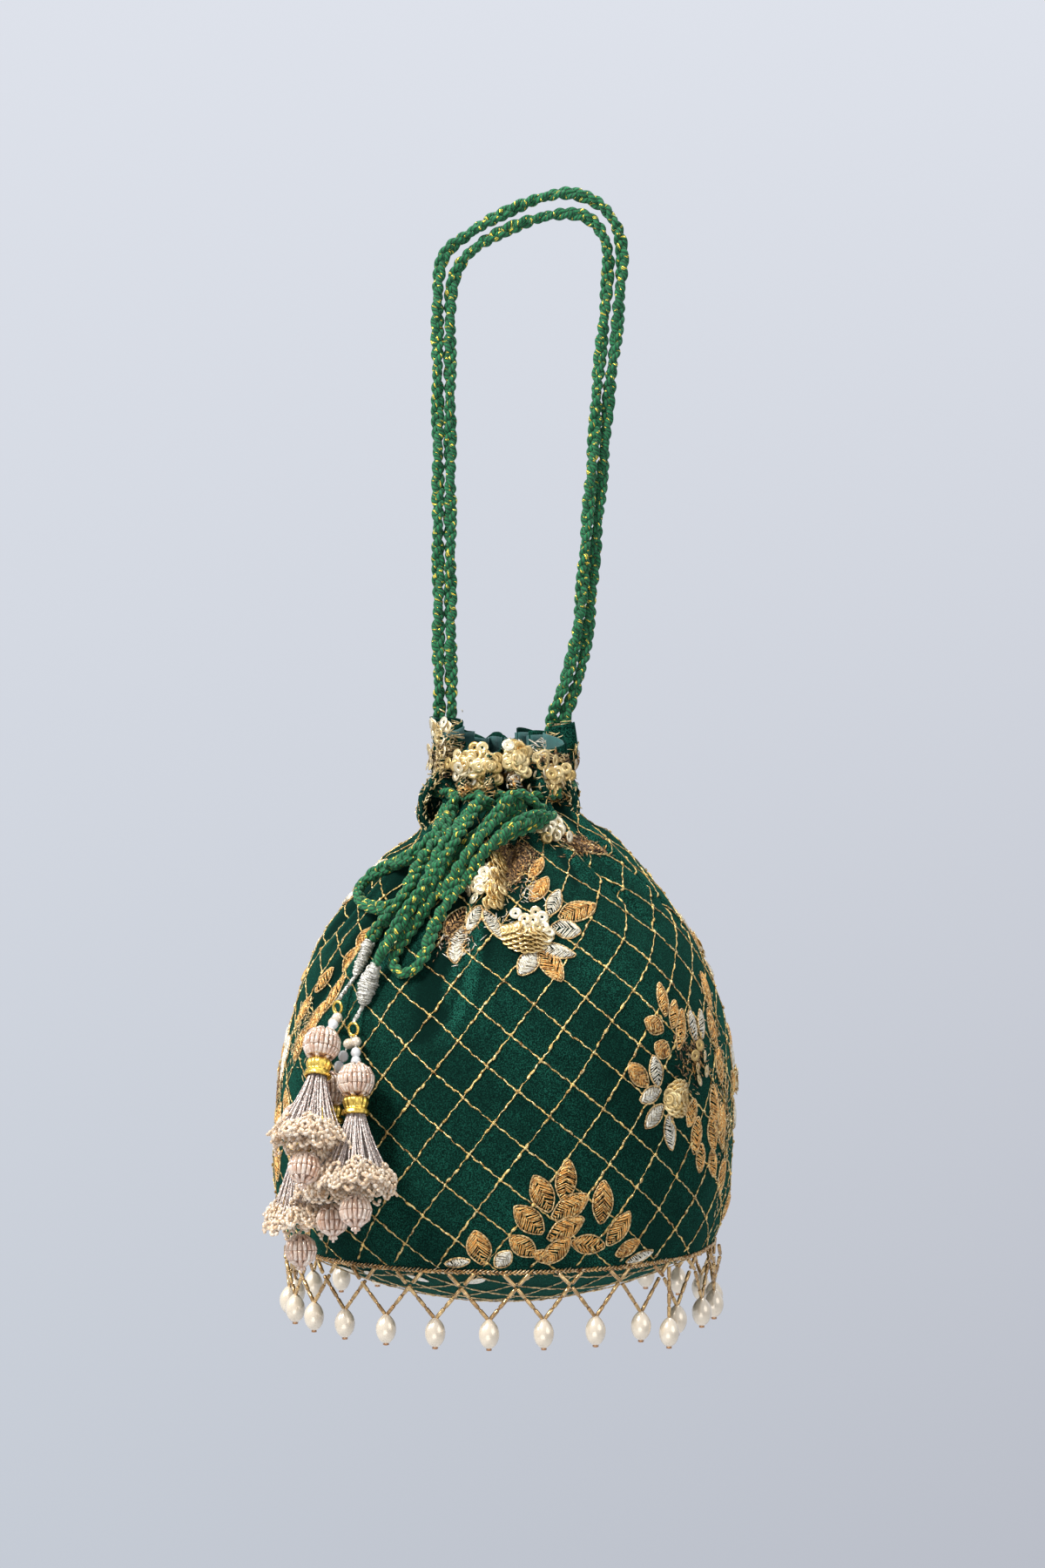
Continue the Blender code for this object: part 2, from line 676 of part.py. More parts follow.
def ring_points(name):
    """The centre line of a ring that stands square to the cloth's outward direction."""
    angle, below, off = RINGS[name]
    turn = math.radians(angle)
    across = Vector((math.cos(turn), math.sin(turn), 0))
    centre = off_side(angle, below, off)
    step = 2 * math.pi / RING_POINTS
    return [
        centre + (across * math.sin(step * i) + Vector((0, 0, math.cos(step * i)))) * RING_RADIUS
        for i in range(RING_POINTS)
    ]


def make_wraps():
    """Each cord end is bound with thread that runs on to the ring of two tassels."""
    silver = material("silver_thread", (0.5, 0.48, 0.45), 0.55, 0.4)
    for name, tail in (("short", SHORT_TAIL), ("long", LONG_TAIL)):
        end, before = cord_route(tail)[-1], cord_route(tail)[-2]
        run = (end - before).normalized()
        straight = [end + run * CLEAR, end + run * CORD_RADIUS]
        ring = ring_points(name)
        points = WRAPS[name]
        bound = [on_cloth(angle, below, off / 1000) for angle, below, off, _ in points]
        widths = [CORD_RADIUS * 0.85] * 2 + [width / 1000 for *_, width in points] + [WRAP_THREAD / 2]
        thread = tube("thread", straight + bound + ring[:1], WRAP_THREAD / 2, widths)
        loop = tube("ring", ring, RING_WIRE / 2, cyclic=True, resolution=1)
        binding = baked("binding", add_helper("binding", thread))
        circle = baked("circle", add_helper("circle", loop))
        add_part(f"tail_wrap_{name}", join(binding, circle, f"tail_wrap_{name}"), silver)


def bead_profile(top, radius, stem):
    """Half a bead on a stem, from its top down."""
    points = []
    for turn in (35, 90, 145):
        angle = math.radians(turn)
        points.append((max(radius * math.sin(angle), stem), top - radius + radius * math.cos(angle)))
    return points


def stem_mesh(name, length):
    """A pearl and two crystals on the wire between the ring and the ball, the crystals lowest."""
    stem = BEAD_STEM / 2
    beads = [TOP_CRYSTAL, TOP_CRYSTAL, TOP_PEARL]
    height = -length + stem
    profile = [(0, -length), (stem, -length + CLEAR)]
    for diameter in beads:
        profile += reversed(bead_profile(height + diameter, diameter / 2, stem))
        height += diameter + BEAD_SPACE
    profile += [(stem, -stem * 0.5), (0, 0)]
    return turned(name, profile[::-1], BEAD_SIDES - 2)


def ball_mesh():
    shape = bmesh.new()
    bmesh.ops.create_uvsphere(shape, u_segments=BEAD_SIDES, v_segments=6, radius=BALL_RADIUS)
    return finished_mesh("tassel_ball", shape)


def cap_mesh():
    """A thin fluted cup over the top of the skirt."""
    radius = CAP_DIAMETER / 2
    outer = [(radius * 0.28, 0), (radius * 0.78, -CAP_HEIGHT * 0.28), (radius, -CAP_HEIGHT)]
    inner = [(r - CAP_WALL, z - CAP_WALL) for r, z in reversed(outer[:-1])]
    inner = [(radius - CAP_WALL, -CAP_HEIGHT)] + inner
    return turned("tassel_cap", [(0, 0)] + outer + inner + [(0, -CAP_WALL)], BEAD_SIDES)


def skirt_mesh():
    """The bundle of threads, hollow below where its end ball hangs."""
    inside = CAP_DIAMETER / 2
    top = inside - CAP_WALL - CLEAR
    profile = [
        (0, 0),
        (inside * 0.28 - CAP_WALL, 0),
        (inside * 0.78 - CAP_WALL - CLEAR, -CAP_HEIGHT * 0.28),
        (top, -CAP_HEIGHT),
        (top + (SKIRT_END_RADIUS - top) * 0.55, -SKIRT_LENGTH * 0.6),
        (SKIRT_END_RADIUS, -SKIRT_LENGTH * 0.93),
        (SKIRT_END_RADIUS * 0.94, -SKIRT_LENGTH),
        (SKIRT_END_RADIUS * 0.74, -SKIRT_LENGTH),
        (0, -SKIRT_LENGTH + SKIRT_HOLLOW),
    ]
    return turned("tassel_skirt", profile, BEAD_SIDES)


def end_ball_mesh(rise):
    """The lower ball, its stem up to the skirt and the small bead at its tip."""
    radius = END_BALL_RADIUS
    stem = BEAD_STEM / 2
    profile = [(0, rise), (stem, rise - CLEAR), (stem, radius * 0.97)]
    for turn in (40, 90, 140):
        angle = math.radians(turn)
        profile.append((radius * math.sin(angle), radius * math.cos(angle)))
    profile += [
        (stem * 1.4, -radius - TIP_LENGTH * 0.25),
        (stem * 1.9, -radius - TIP_LENGTH * 0.6),
        (0, -radius - TIP_LENGTH),
    ]
    return turned("tassel_end_ball", profile, BEAD_SIDES)


def tassel_points(name):
    """Where a tassel's top beads start, its ball's centre and its end ball's centre."""
    ring_name, *points = TASSELS[name]
    angle, below, _ = RINGS[ring_name]
    ring, ball, target = (off_side(*point) for point in (RINGS[ring_name], *points))
    out = (ring - off_side(angle, below, 0)).normalized()
    along = (ball - ring) - out * out.dot(ball - ring)
    seat = ring + along.normalized() * RING_RADIUS
    start = seat + (ball - seat).normalized() * (RING_WIRE / 2 + CLEAR)
    return start, ball, ball + (target - ball).normalized() * BALL_TO_END


def make_tassels():
    gold = material("yellow_gold", (0.83, 0.6, 0.2), 0.3, 1.0)
    pink = material("rose_beads", (0.62, 0.4, 0.3), 0.35, 0.3)
    mauve = material("mauve_thread", (0.42, 0.32, 0.26), 0.6, 0.2)
    nacre = material("nacre", (0.78, 0.74, 0.66), 0.25)
    ball = ball_mesh()
    cap = cap_mesh()
    skirt = skirt_mesh()
    cap_top = BALL_RADIUS + CLEAR
    skirt_top = cap_top + CAP_WALL + CLEAR * 1.3
    hollow = skirt_top + SKIRT_LENGTH - SKIRT_HOLLOW
    end_ball = end_ball_mesh(BALL_TO_END - hollow - CLEAR * 1.6)
    pivots = {name: add_pivot(f"{name}_ring_pivot", off_side(*RINGS[name])) for name in RINGS}
    for name, (ring_name, *_) in TASSELS.items():
        start, ball_at, end_at = tassel_points(name)
        link = ball_at - start
        hang = (end_at - ball_at).normalized()
        stem = stem_mesh(f"tassel_{name}_top_beads", link.length - BALL_RADIUS - CLEAR)
        for piece, data, finish, place in (
            ("top_beads", stem, nacre, aim(start, link)),
            ("ball", ball, pink, aim(ball_at, hang)),
            ("cap", cap, gold, aim(ball_at + hang * cap_top, hang)),
            ("skirt", skirt, mauve, aim(ball_at + hang * skirt_top, hang)),
            ("end_ball", end_ball, pink, aim(end_at, hang)),
        ):
            add_part(f"tassel_{name}_{piece}", data, finish, place, pivots[ring_name])


def main():
    clear_scene()
    make_side_panel()
    make_lining()
    make_base_panel()
    make_rim_trim()
    make_fringe()
    make_handle()
    make_drawstring()
    make_wraps()
    make_tassels()


main()
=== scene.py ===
"""The dressed potli bag: velvet, embroidery, plaited cords, beads and tassels over its CAD frame.

Lengths are metres unless a name says otherwise, +Z is up and the origin is the underside of the
handle's crest. Angles around the bag start at the front and grow to the right, as seen there.
"""

import logging
import math
from dataclasses import dataclass
from enum import Enum
from typing import Any, Callable, Iterable, Sequence

import bmesh
import bpy
import numpy as np
from mathutils import Matrix, Vector


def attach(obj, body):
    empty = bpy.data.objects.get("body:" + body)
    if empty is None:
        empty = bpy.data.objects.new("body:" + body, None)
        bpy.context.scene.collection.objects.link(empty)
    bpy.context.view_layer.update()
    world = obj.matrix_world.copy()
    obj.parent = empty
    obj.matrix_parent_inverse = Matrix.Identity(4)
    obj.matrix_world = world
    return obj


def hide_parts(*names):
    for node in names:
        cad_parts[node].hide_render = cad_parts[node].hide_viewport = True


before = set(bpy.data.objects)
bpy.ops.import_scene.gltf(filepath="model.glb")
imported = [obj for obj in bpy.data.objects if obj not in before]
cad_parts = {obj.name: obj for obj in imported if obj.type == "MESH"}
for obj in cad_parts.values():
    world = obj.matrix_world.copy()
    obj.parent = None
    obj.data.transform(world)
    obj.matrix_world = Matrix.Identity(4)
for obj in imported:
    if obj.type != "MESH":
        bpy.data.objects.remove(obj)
log = logging.getLogger("potli_bag")
MM = 0.001
Colour = tuple[float, float, float]
Array = np.ndarray


def srgb(red: int, green: int, blue: int) -> Colour:
    """The linear colour of an sRGB one given in 0 to 255."""
    shares = [value / 255 for value in (red, green, blue)]
    linear = [s / 12.92 if s <= 0.04045 else ((s + 0.055) / 1.055) ** 2.4 for s in shares]
    return linear[0], linear[1], linear[2]


class Slot(Enum):
    """The record's material slots."""

    VELVET = "green_velvet"
    LINING = "teal_lining"
    LACE = "copper_lace"
    NACRE = "nacre"
    CORD = "green_cord"
    SILVER = "silver_thread"
    GOLD = "yellow_gold"
    ROSE = "rose_beads"
    MAUVE = "mauve_thread"


def operator(operation: str, flipped: bool = False) -> Callable[..., "Maths"]:
    """A method of Maths that adds the Math node of an operator."""
    return lambda value, other: value.apply(operation, other, flipped=flipped)


class Maths:
    """A node's socket that takes part in arithmetic: each operator adds its Math node."""

    def __init__(self, graph: "Graph", socket: bpy.types.NodeSocket) -> None:
        """Wraps a socket of the graph."""
        self.graph = graph
        self.socket = socket

    def apply(self, operation: str, *others: "Maths | float", flipped: bool = False) -> "Maths":
        """Adds a Math node.

        Args:
            operation: The node's operation.
            others: What follows this value, sockets or numbers.
            flipped: Whether the operands change places.

        Returns:
            The node's result.
        """
        operands = [self, *others]
        if flipped:
            operands.reverse()
        node = self.graph.node("ShaderNodeMath", {"operation": operation}, dict(enumerate(operands)))
        return Maths(self.graph, node.outputs[0])

    __add__ = __radd__ = operator("ADD")
    __sub__ = operator("SUBTRACT")
    __rsub__ = operator("SUBTRACT", flipped=True)
    __mul__ = __rmul__ = operator("MULTIPLY")
    __truediv__ = operator("DIVIDE")
    __pow__ = operator("POWER")

    def sine(self) -> "Maths":
        """The sine of an angle in radians."""
        return self.apply("SINE")

    def part(self) -> "Maths":
        """The fraction left of the whole number below."""
        return self.apply("FRACT")

    def between(self, low: float, high: float) -> "Maths":
        """The share of the way from low to high, kept within 0 and 1."""
        settings = {"clamp": True}
        node = self.graph.node("ShaderNodeMapRange", settings, {0: self, 1: low, 2: high})
        return Maths(self.graph, node.outputs[0])


class Graph:
    """The nodes of a material or the world, written as calls."""

    def __init__(self, owner: bpy.types.Material | bpy.types.World) -> None:
        """Starts with the nodes that a new owner has."""
        owner.use_nodes = True
        self.tree = owner.node_tree

    def node(
        self, kind: str, settings: dict[str, Any] | None = None, inputs: dict[Any, Any] | None = None
    ) -> bpy.types.Node:
        """Adds a node.

        Args:
            kind: The node's type.
            settings: Its own settings, with a ramp's stops under "stops".
            inputs: What each socket takes, by name or number: a number, a colour or a link.

        Returns:
            The node.
        """
        made = self.tree.nodes.new(kind)
        for key, value in (settings or {}).items():
            if key == "stops":
                self._set_stops(made.color_ramp, value)
            else:
                setattr(made, key, value)
        for key, value in (inputs or {}).items():
            self.feed(made.inputs[key], value)
        return made

    def _set_stops(self, ramp: bpy.types.ColorRamp, stops: Sequence[tuple[float, Colour]]) -> None:
        """Gives a ramp its stops, lowest first.

        Args:
            ramp: The ramp.
            stops: Each stop's place and colour.
        """
        while len(ramp.elements) < len(stops):
            ramp.elements.new(0.5)
        for element, (place, colour) in zip(ramp.elements, stops):
            element.position = place
            element.color = (*colour, 1.0)

    def feed(self, socket: bpy.types.NodeSocket, value: Any) -> None:
        """Links a socket, or sets it.

        Args:
            socket: The input.
            value: Maths, an output socket, a number, or a colour of three numbers.
        """
        if isinstance(value, Maths):
            value = value.socket
        if isinstance(value, bpy.types.NodeSocket):
            self.tree.links.new(value, socket)
        elif isinstance(value, tuple) and len(socket.default_value) == 4:
            socket.default_value = (*value, 1.0)
        else:
            socket.default_value = value

    def place(self) -> bpy.types.NodeSocket:
        """The place on the object, in metres."""
        return self.node("ShaderNodeTexCoord").outputs["Object"]

    def uv(self) -> tuple[Maths, Maths]:
        """The two numbers of the piece's own UV map."""
        split = self.node("ShaderNodeSeparateXYZ", None, {0: self.node("ShaderNodeUVMap").outputs[0]})
        return Maths(self, split.outputs[0]), Maths(self, split.outputs[1])

    def tone(self, name: str = "tone") -> Maths:
        """A number that the mesh carries, such as each copy's tone from 0 to 1."""
        node = self.node("ShaderNodeAttribute", {"attribute_name": name})
        return Maths(self, node.outputs["Fac"])

    def noise(self, scale: float, detail: float = 2.0, where: Any = None) -> Maths:
        """Noise over the object.

        Args:
            scale: Its cells to the metre, about.
            detail: How many finer layers it has.
            where: The place it is read at, if not the object's own.

        Returns:
            Its value, about 0.5 on the average.
        """
        inputs = {"Vector": self.place() if where is None else where, "Scale": scale, "Detail": detail}
        return Maths(self, self.node("ShaderNodeTexNoise", None, inputs).outputs[0])

    def mix(self, share: Any, first: Any, second: Any) -> bpy.types.NodeSocket:
        """A colour that goes from the first to the second as share goes from 0 to 1."""
        node = self.node("ShaderNodeMix", {"data_type": "RGBA"}, {0: share, 6: first, 7: second})
        return node.outputs[2]

    def bump(self, height: Maths, distance: float, strength: float = 1.0) -> bpy.types.NodeSocket:
        """A normal that shows height, where 1 stands distance metres high."""
        inputs = {"Height": height, "Distance": distance, "Strength": strength}
        return self.node("ShaderNodeBump", None, inputs).outputs[0]

    def dress(self, **sockets: Any) -> None:
        """Feeds the shader's sockets, named with _ for each space."""
        shader = self.tree.nodes["Principled BSDF"]
        for name, value in sockets.items():
            self.feed(shader.inputs[name.replace("_", " ")], value)


@dataclass(frozen=True)
class Finish:
    """What every surface finish has: a name, the slot it stands for, its colour and its gloss."""

    name: str
    slot: Slot
    colour: Colour
    roughness: float

    def material(self) -> bpy.types.Material:
        """The finish's material, made once."""
        found = bpy.data.materials.get(self.name)
        if found is None:
            found = bpy.data.materials.new(self.name)
            self.paint(Graph(found))
        return found

    def paint(self, graph: Graph) -> None:
        """Builds the finish in the graph."""
        raise NotImplementedError


@dataclass(frozen=True)
class Velvet(Finish):
    """Short dense pile: a dark ground with lighter tips in a fine grain, mottled where it is brushed, with
    painted light on the folds' lit sides and painted shade in their valleys.
    """

    tips: Colour = (0.02, 0.13, 0.095)
    pile_scale: float = 2100.0

    def paint(self, graph: Graph) -> None:
        """Builds the pile, its brushing marks, the painted light and shade of the folds and its soft sheen.

        Args:
            graph: The material's nodes.
        """
        pile = graph.noise(self.pile_scale, 1.5)
        brushed = graph.noise(160.0, 3.0).between(0.3, 0.75)
        worn = graph.noise(28.0, 2.0).between(0.35, 0.7)
        # Painted light and shade: the fold shading raises the tips' share where a fold faces the lamp and
        # lowers it in the valleys.
        share = pile.between(0.44, 0.66) * (0.25 + 0.4 * brushed + 0.4 * worn) * (1.0 + graph.tone("painted_fold_shading"))
        height = pile + 0.5 * brushed
        graph.dress(
            Base_Color=graph.mix(share, self.colour, self.tips),
            Roughness=self.roughness,
            Specular_IOR_Level=0.06,
            Sheen_Weight=0.12,
            Sheen_Roughness=0.4,
            Sheen_Tint=(0.06, 0.75, 0.5),
            Normal=graph.bump(height, 0.00025, 0.8),
        )


@dataclass(frozen=True)
class PlainWeave(Finish):
    """A fine woven cloth with thin threads both ways, given by UV in thread widths."""

    def paint(self, graph: Graph) -> None:
        """Builds the crossing threads and a little unevenness.

        Args:
            graph: The material's nodes.
        """
        along, across = graph.uv()
        weave = (along * math.tau).sine() * (across * math.tau).sine()
        uneven = graph.noise(300.0).between(0.3, 0.7)
        share = 0.5 + 0.28 * weave
        dark: Colour = tuple(0.55 * value for value in self.colour)
        light: Colour = tuple(min(1.35 * value, 1.0) for value in self.colour)
        graph.dress(
            Base_Color=graph.mix(share * (0.6 + 0.5 * uneven), dark, light),
            Roughness=self.roughness,
            Sheen_Weight=0.15,
            Normal=graph.bump(weave * 0.5 + 0.5 * uneven, 0.00015, 0.6),
        )


@dataclass(frozen=True)
class PliedCotton(Finish):
    """Soft cotton yarn in plies, with painted shade in the grooves between them, and a metallic yarn that
    shows now and then as a fleck.

    The strand's UV runs once around it in U and in millimetres along it in V.
    """

    # The colour of the painted shade in the grooves between the plies.
    crevice_shade: Colour = (0.0008, 0.022, 0.010)
    fleck: Colour = (0.95, 0.68, 0.07)
    plies: int = 3
    lay_mm: float = 4.2
    fleck_run_mm: float = 2.8

    def paint(self, graph: Graph) -> None:
        """Builds the plies with painted shade in their grooves, their fibres and the flecks.

        Args:
            graph: The material's nodes.
        """
        around, along = graph.uv()
        turn = around + along / self.lay_mm
        ply = ((turn * (self.plies * math.tau)).sine() * 0.5 + 0.5) ** 0.6
        fibres = graph.noise(2600.0, 3.0)
        patches = graph.noise(420.0, 2.0).between(0.3, 0.7)
        # Painted shade: the yarn goes to the shade colour in the grooves between the plies.
        yarn = graph.mix(ply * (0.45 + 0.35 * patches) + 0.5 * (fibres - 0.5), self.crevice_shade, self.colour)
        line = (turn + 0.5).part()
        band = (1.0 - ((line - 0.5) * 15.0).apply("ABSOLUTE")).between(0.0, 0.35)
        second = (1.0 - ((line - 0.68) * 15.0).apply("ABSOLUTE")).between(0.0, 0.35)
        wander = graph.noise(190.0, 1.0)
        surfacing = ((along / self.fleck_run_mm + wander * 2.0).part() - 0.5).apply("ABSOLUTE")
        shown = (0.14 - surfacing).between(0.0, 0.04)
        mask = (band + second).between(0.0, 1.0) * shown
        graph.dress(
            Base_Color=graph.mix(mask, yarn, self.fleck),
            Roughness=self.roughness - (self.roughness - 0.3) * mask,
            Metallic=mask * 0.75,
            Sheen_Weight=0.25,
            Sheen_Tint=(0.5, 0.9, 0.65),
            Normal=graph.bump(ply * 0.6 + fibres * 0.7 + mask * 0.4, 0.0004, 0.9),
        )


@dataclass(frozen=True)
class MetalThread(Finish):
    """Metal-wrapped embroidery thread: a dark and a light colour mixed by each copy's tone and a grain,
    with painted glints of highlight.
    """

    deep: Colour = (0.16, 0.08, 0.03)
    # The colour of the painted glints of highlight.
    highlight_colour: Colour = (1.0, 0.85, 0.58)
    metallic: float = 0.6
    # How strong the painted glints of highlight are.
    painted_glint: float = 0.5

    def paint(self, graph: Graph) -> None:
        """Builds the painted glints of highlight and the tones of the copies.

        Args:
            graph: The material's nodes.
        """
        grain = graph.noise(2700.0, 1.5)
        patches = graph.noise(620.0, 2.0).between(0.34, 0.66)
        lie = graph.tone() * 0.7 + grain.between(0.36, 0.64) * 0.4 + patches * 0.45 - 0.28
        body = graph.mix(lie.between(0.05, 0.78), self.deep, self.colour)
        # Painted highlight: glints of noise mixed towards the highlight colour.
        highlight_mask = graph.noise(1100.0, 1.0).between(0.50, 0.57) * self.painted_glint * (0.35 + 0.65 * patches)
        graph.dress(
            Base_Color=graph.mix(highlight_mask, body, self.highlight_colour),
            Roughness=self.roughness - 0.2 * highlight_mask,
            Metallic=self.metallic,
            Normal=graph.bump(grain, 0.0004, 0.9),
        )


@dataclass(frozen=True)
class Sequin(Finish):
    """A thin cupped disc of coloured foil, with faint rings from its stamping."""

    warm: Colour = (0.62, 0.4, 0.1)
    metallic: float = 0.82

    def paint(self, graph: Graph) -> None:
        """Builds the foil and the tone of each disc.

        Args:
            graph: The material's nodes.
        """
        tone = graph.tone()
        scuffs = graph.noise(900.0, 3.0)
        graph.dress(
            Base_Color=graph.mix(tone, self.warm, self.colour),
            Roughness=self.roughness + 0.14 * scuffs,
            Metallic=self.metallic,
            Coat_Weight=0.35,
            Coat_Roughness=0.1,
            Normal=graph.bump(scuffs, 0.00006, 0.5),
        )


@dataclass(frozen=True)
class Nacre(Finish):
    """Pearl: a pale body under a glossy coat, with slow warm and cool clouds."""

    warm: Colour = (0.80, 0.64, 0.47)

    def paint(self, graph: Graph) -> None:
        """Builds the clouds and the coat.

        Args:
            graph: The material's nodes.
        """
        cloud = graph.noise(260.0, 2.0).between(0.3, 0.75)
        fine = graph.noise(1200.0, 2.0)
        graph.dress(
            Base_Color=graph.mix(cloud * 0.35, self.colour, self.warm),
            Roughness=self.roughness + 0.08 * fine,
            Metallic=0.3,
            Coat_Weight=0.7,
            Coat_Roughness=0.12,
            Sheen_Weight=0.1,
            Normal=graph.bump(cloud, 0.00008, 0.4),
        )


@dataclass(frozen=True)
class Glass(Finish):
    """Lined glass: coloured, leaning to its lining's colour by each bead's tone, with painted glints of
    highlight in that colour, and clear at its edges.
    """

    # The lining's colour, which is also the colour of the painted glints.
    lining: Colour = (1.0, 0.95, 0.9)
    metallic: float = 0.35
    clear: float = 0.0

    def paint(self, graph: Graph) -> None:
        """Builds the glass, with the tone of each bead and painted glints of highlight in its lining's
        colour.

        Args:
            graph: The material's nodes.
        """
        tone = graph.tone()
        # Painted highlight: glints of noise in the lining's colour.
        painted_glint = graph.noise(900.0, 1.0).between(0.5, 0.66)
        graph.dress(
            Base_Color=graph.mix(tone * 0.5 + painted_glint * 0.4, self.colour, self.lining),
            Roughness=self.roughness,
            Metallic=self.metallic,
            Transmission_Weight=self.clear,
            IOR=1.5,
            Coat_Weight=0.5,
            Coat_Roughness=0.04,
            Normal=graph.bump(graph.noise(1400.0, 2.0), 0.00008, 0.5),
        )


@dataclass(frozen=True)
class CastGold(Finish):
    """Bright plated findings, a little dull in random patches of wear."""

    def paint(self, graph: Graph) -> None:
        """Builds the plating and its wear.

        Args:
            graph: The material's nodes.
        """
        wear = graph.noise(700.0, 3.0)
        dull: Colour = tuple(0.6 * value for value in self.colour)
        graph.dress(
            Base_Color=graph.mix(wear.between(0.3, 0.6), dull, self.colour),
            Roughness=self.roughness + 0.15 * wear,
            Metallic=1.0,
            Normal=graph.bump(wear, 0.00008, 0.5),
        )


VELVET = Velvet("velvet_green", Slot.VELVET, (0.001, 0.0125, 0.009), 0.95, tips=(0.011, 0.094, 0.063))
TEAL = PlainWeave("lining_teal", Slot.LINING, (0.02, 0.13, 0.122), 0.55)
COTTON = PliedCotton("cord_cotton", Slot.CORD, (0.012, 0.25, 0.082), 0.85)
GRID_THREAD = MetalThread(
    "thread_antique_gold", Slot.LACE, (0.92, 0.62, 0.2), 0.4,
    deep=(0.2, 0.09, 0.02), highlight_colour=(1.0, 0.86, 0.46), painted_glint=0.8,
)
EDGE_THREAD = MetalThread(
    "thread_pale_gold", Slot.LACE, (0.9, 0.62, 0.29), 0.42, deep=(0.3, 0.16, 0.05), highlight_colour=(1.0, 0.8, 0.46)
)
COPPER = MetalThread(
    "thread_copper", Slot.LACE, (1.0, 0.5, 0.125), 0.36,
    deep=(0.15, 0.05, 0.009), highlight_colour=(1.0, 0.76, 0.34), metallic=0.35, painted_glint=1.0,
)
BROWN = MetalThread(
    "thread_brown", Slot.LACE, (0.085, 0.040, 0.013), 0.46,
    deep=(0.012, 0.005, 0.001), highlight_colour=(1.0, 0.58, 0.22), metallic=0.12, painted_glint=0.7,
)
SILVERY = MetalThread(
    "thread_silver", Slot.SILVER, (0.98, 0.91, 0.73), 0.34,
    deep=(0.36, 0.3, 0.2), highlight_colour=(1.0, 0.99, 0.92), metallic=0.15, painted_glint=1.0,
)
OLIVE = MetalThread(
    "thread_olive_gold", Slot.LACE, (0.72, 0.54, 0.24), 0.42, deep=(0.13, 0.08, 0.02), painted_glint=0.7
)
LACE = MetalThread("lace_copper", Slot.LACE, (0.8, 0.47, 0.17), 0.4, deep=(0.16, 0.06, 0.015), painted_glint=0.8)
WRAP_SILVER = MetalThread(
    "thread_wrap_silver", Slot.SILVER, (0.78, 0.75, 0.66), 0.34,
    deep=(0.17, 0.16, 0.12), highlight_colour=(1.0, 0.99, 0.94), metallic=0.45, painted_glint=0.9,
)
MAUVE = MetalThread(
    "thread_mauve", Slot.MAUVE, (0.86, 0.74, 0.67), 0.42,
    deep=(0.4, 0.29, 0.25), highlight_colour=(1.0, 0.96, 0.92), painted_glint=0.8,
)
SEQUIN = Sequin("sequin_gold", Slot.LACE, (0.92, 0.72, 0.36), 0.2, warm=(0.55, 0.36, 0.11), metallic=0.66)
# Painted light: a paler copy of the gold sequins, for sequins that catch the light.
PALE_SEQUIN = Sequin(
    "sequin_gold_lit_copy", Slot.LACE, (0.93, 0.85, 0.63), 0.2, warm=(0.78, 0.62, 0.36), metallic=0.62
)
PEARL = Nacre("nacre_drop", Slot.NACRE, (0.87, 0.76, 0.6), 0.18)
BRONZE = Glass("bugle_bronze", Slot.LACE, (0.32, 0.17, 0.055), 0.16, lining=(0.86, 0.6, 0.27), metallic=0.6)
STOPPER = Glass("bead_copper", Slot.LACE, (0.4, 0.18, 0.07), 0.2, lining=(0.7, 0.4, 0.18), metallic=0.6)
ROSE = Glass("bugle_rose", Slot.ROSE, (0.62, 0.38, 0.26), 0.1, lining=(1.0, 0.93, 0.82), metallic=0.3)
ROSE_CORE = Glass("bead_core", Slot.ROSE, (0.6, 0.38, 0.29), 0.4, lining=(0.7, 0.5, 0.4), metallic=0.1)
FROTH = Glass(
    "bead_champagne", Slot.ROSE, (0.9, 0.64, 0.4), 0.07, lining=(1.0, 0.96, 0.86), metallic=0.1, clear=0.2
)
CRYSTAL = Glass(
    "crystal_clear", Slot.NACRE, (0.95, 0.97, 1.0), 0.04, lining=(1.0, 1.0, 1.0), metallic=0.0, clear=0.3
)
GILT = CastGold("gilt_cap", Slot.GOLD, (1.0, 0.68, 0.14), 0.2)


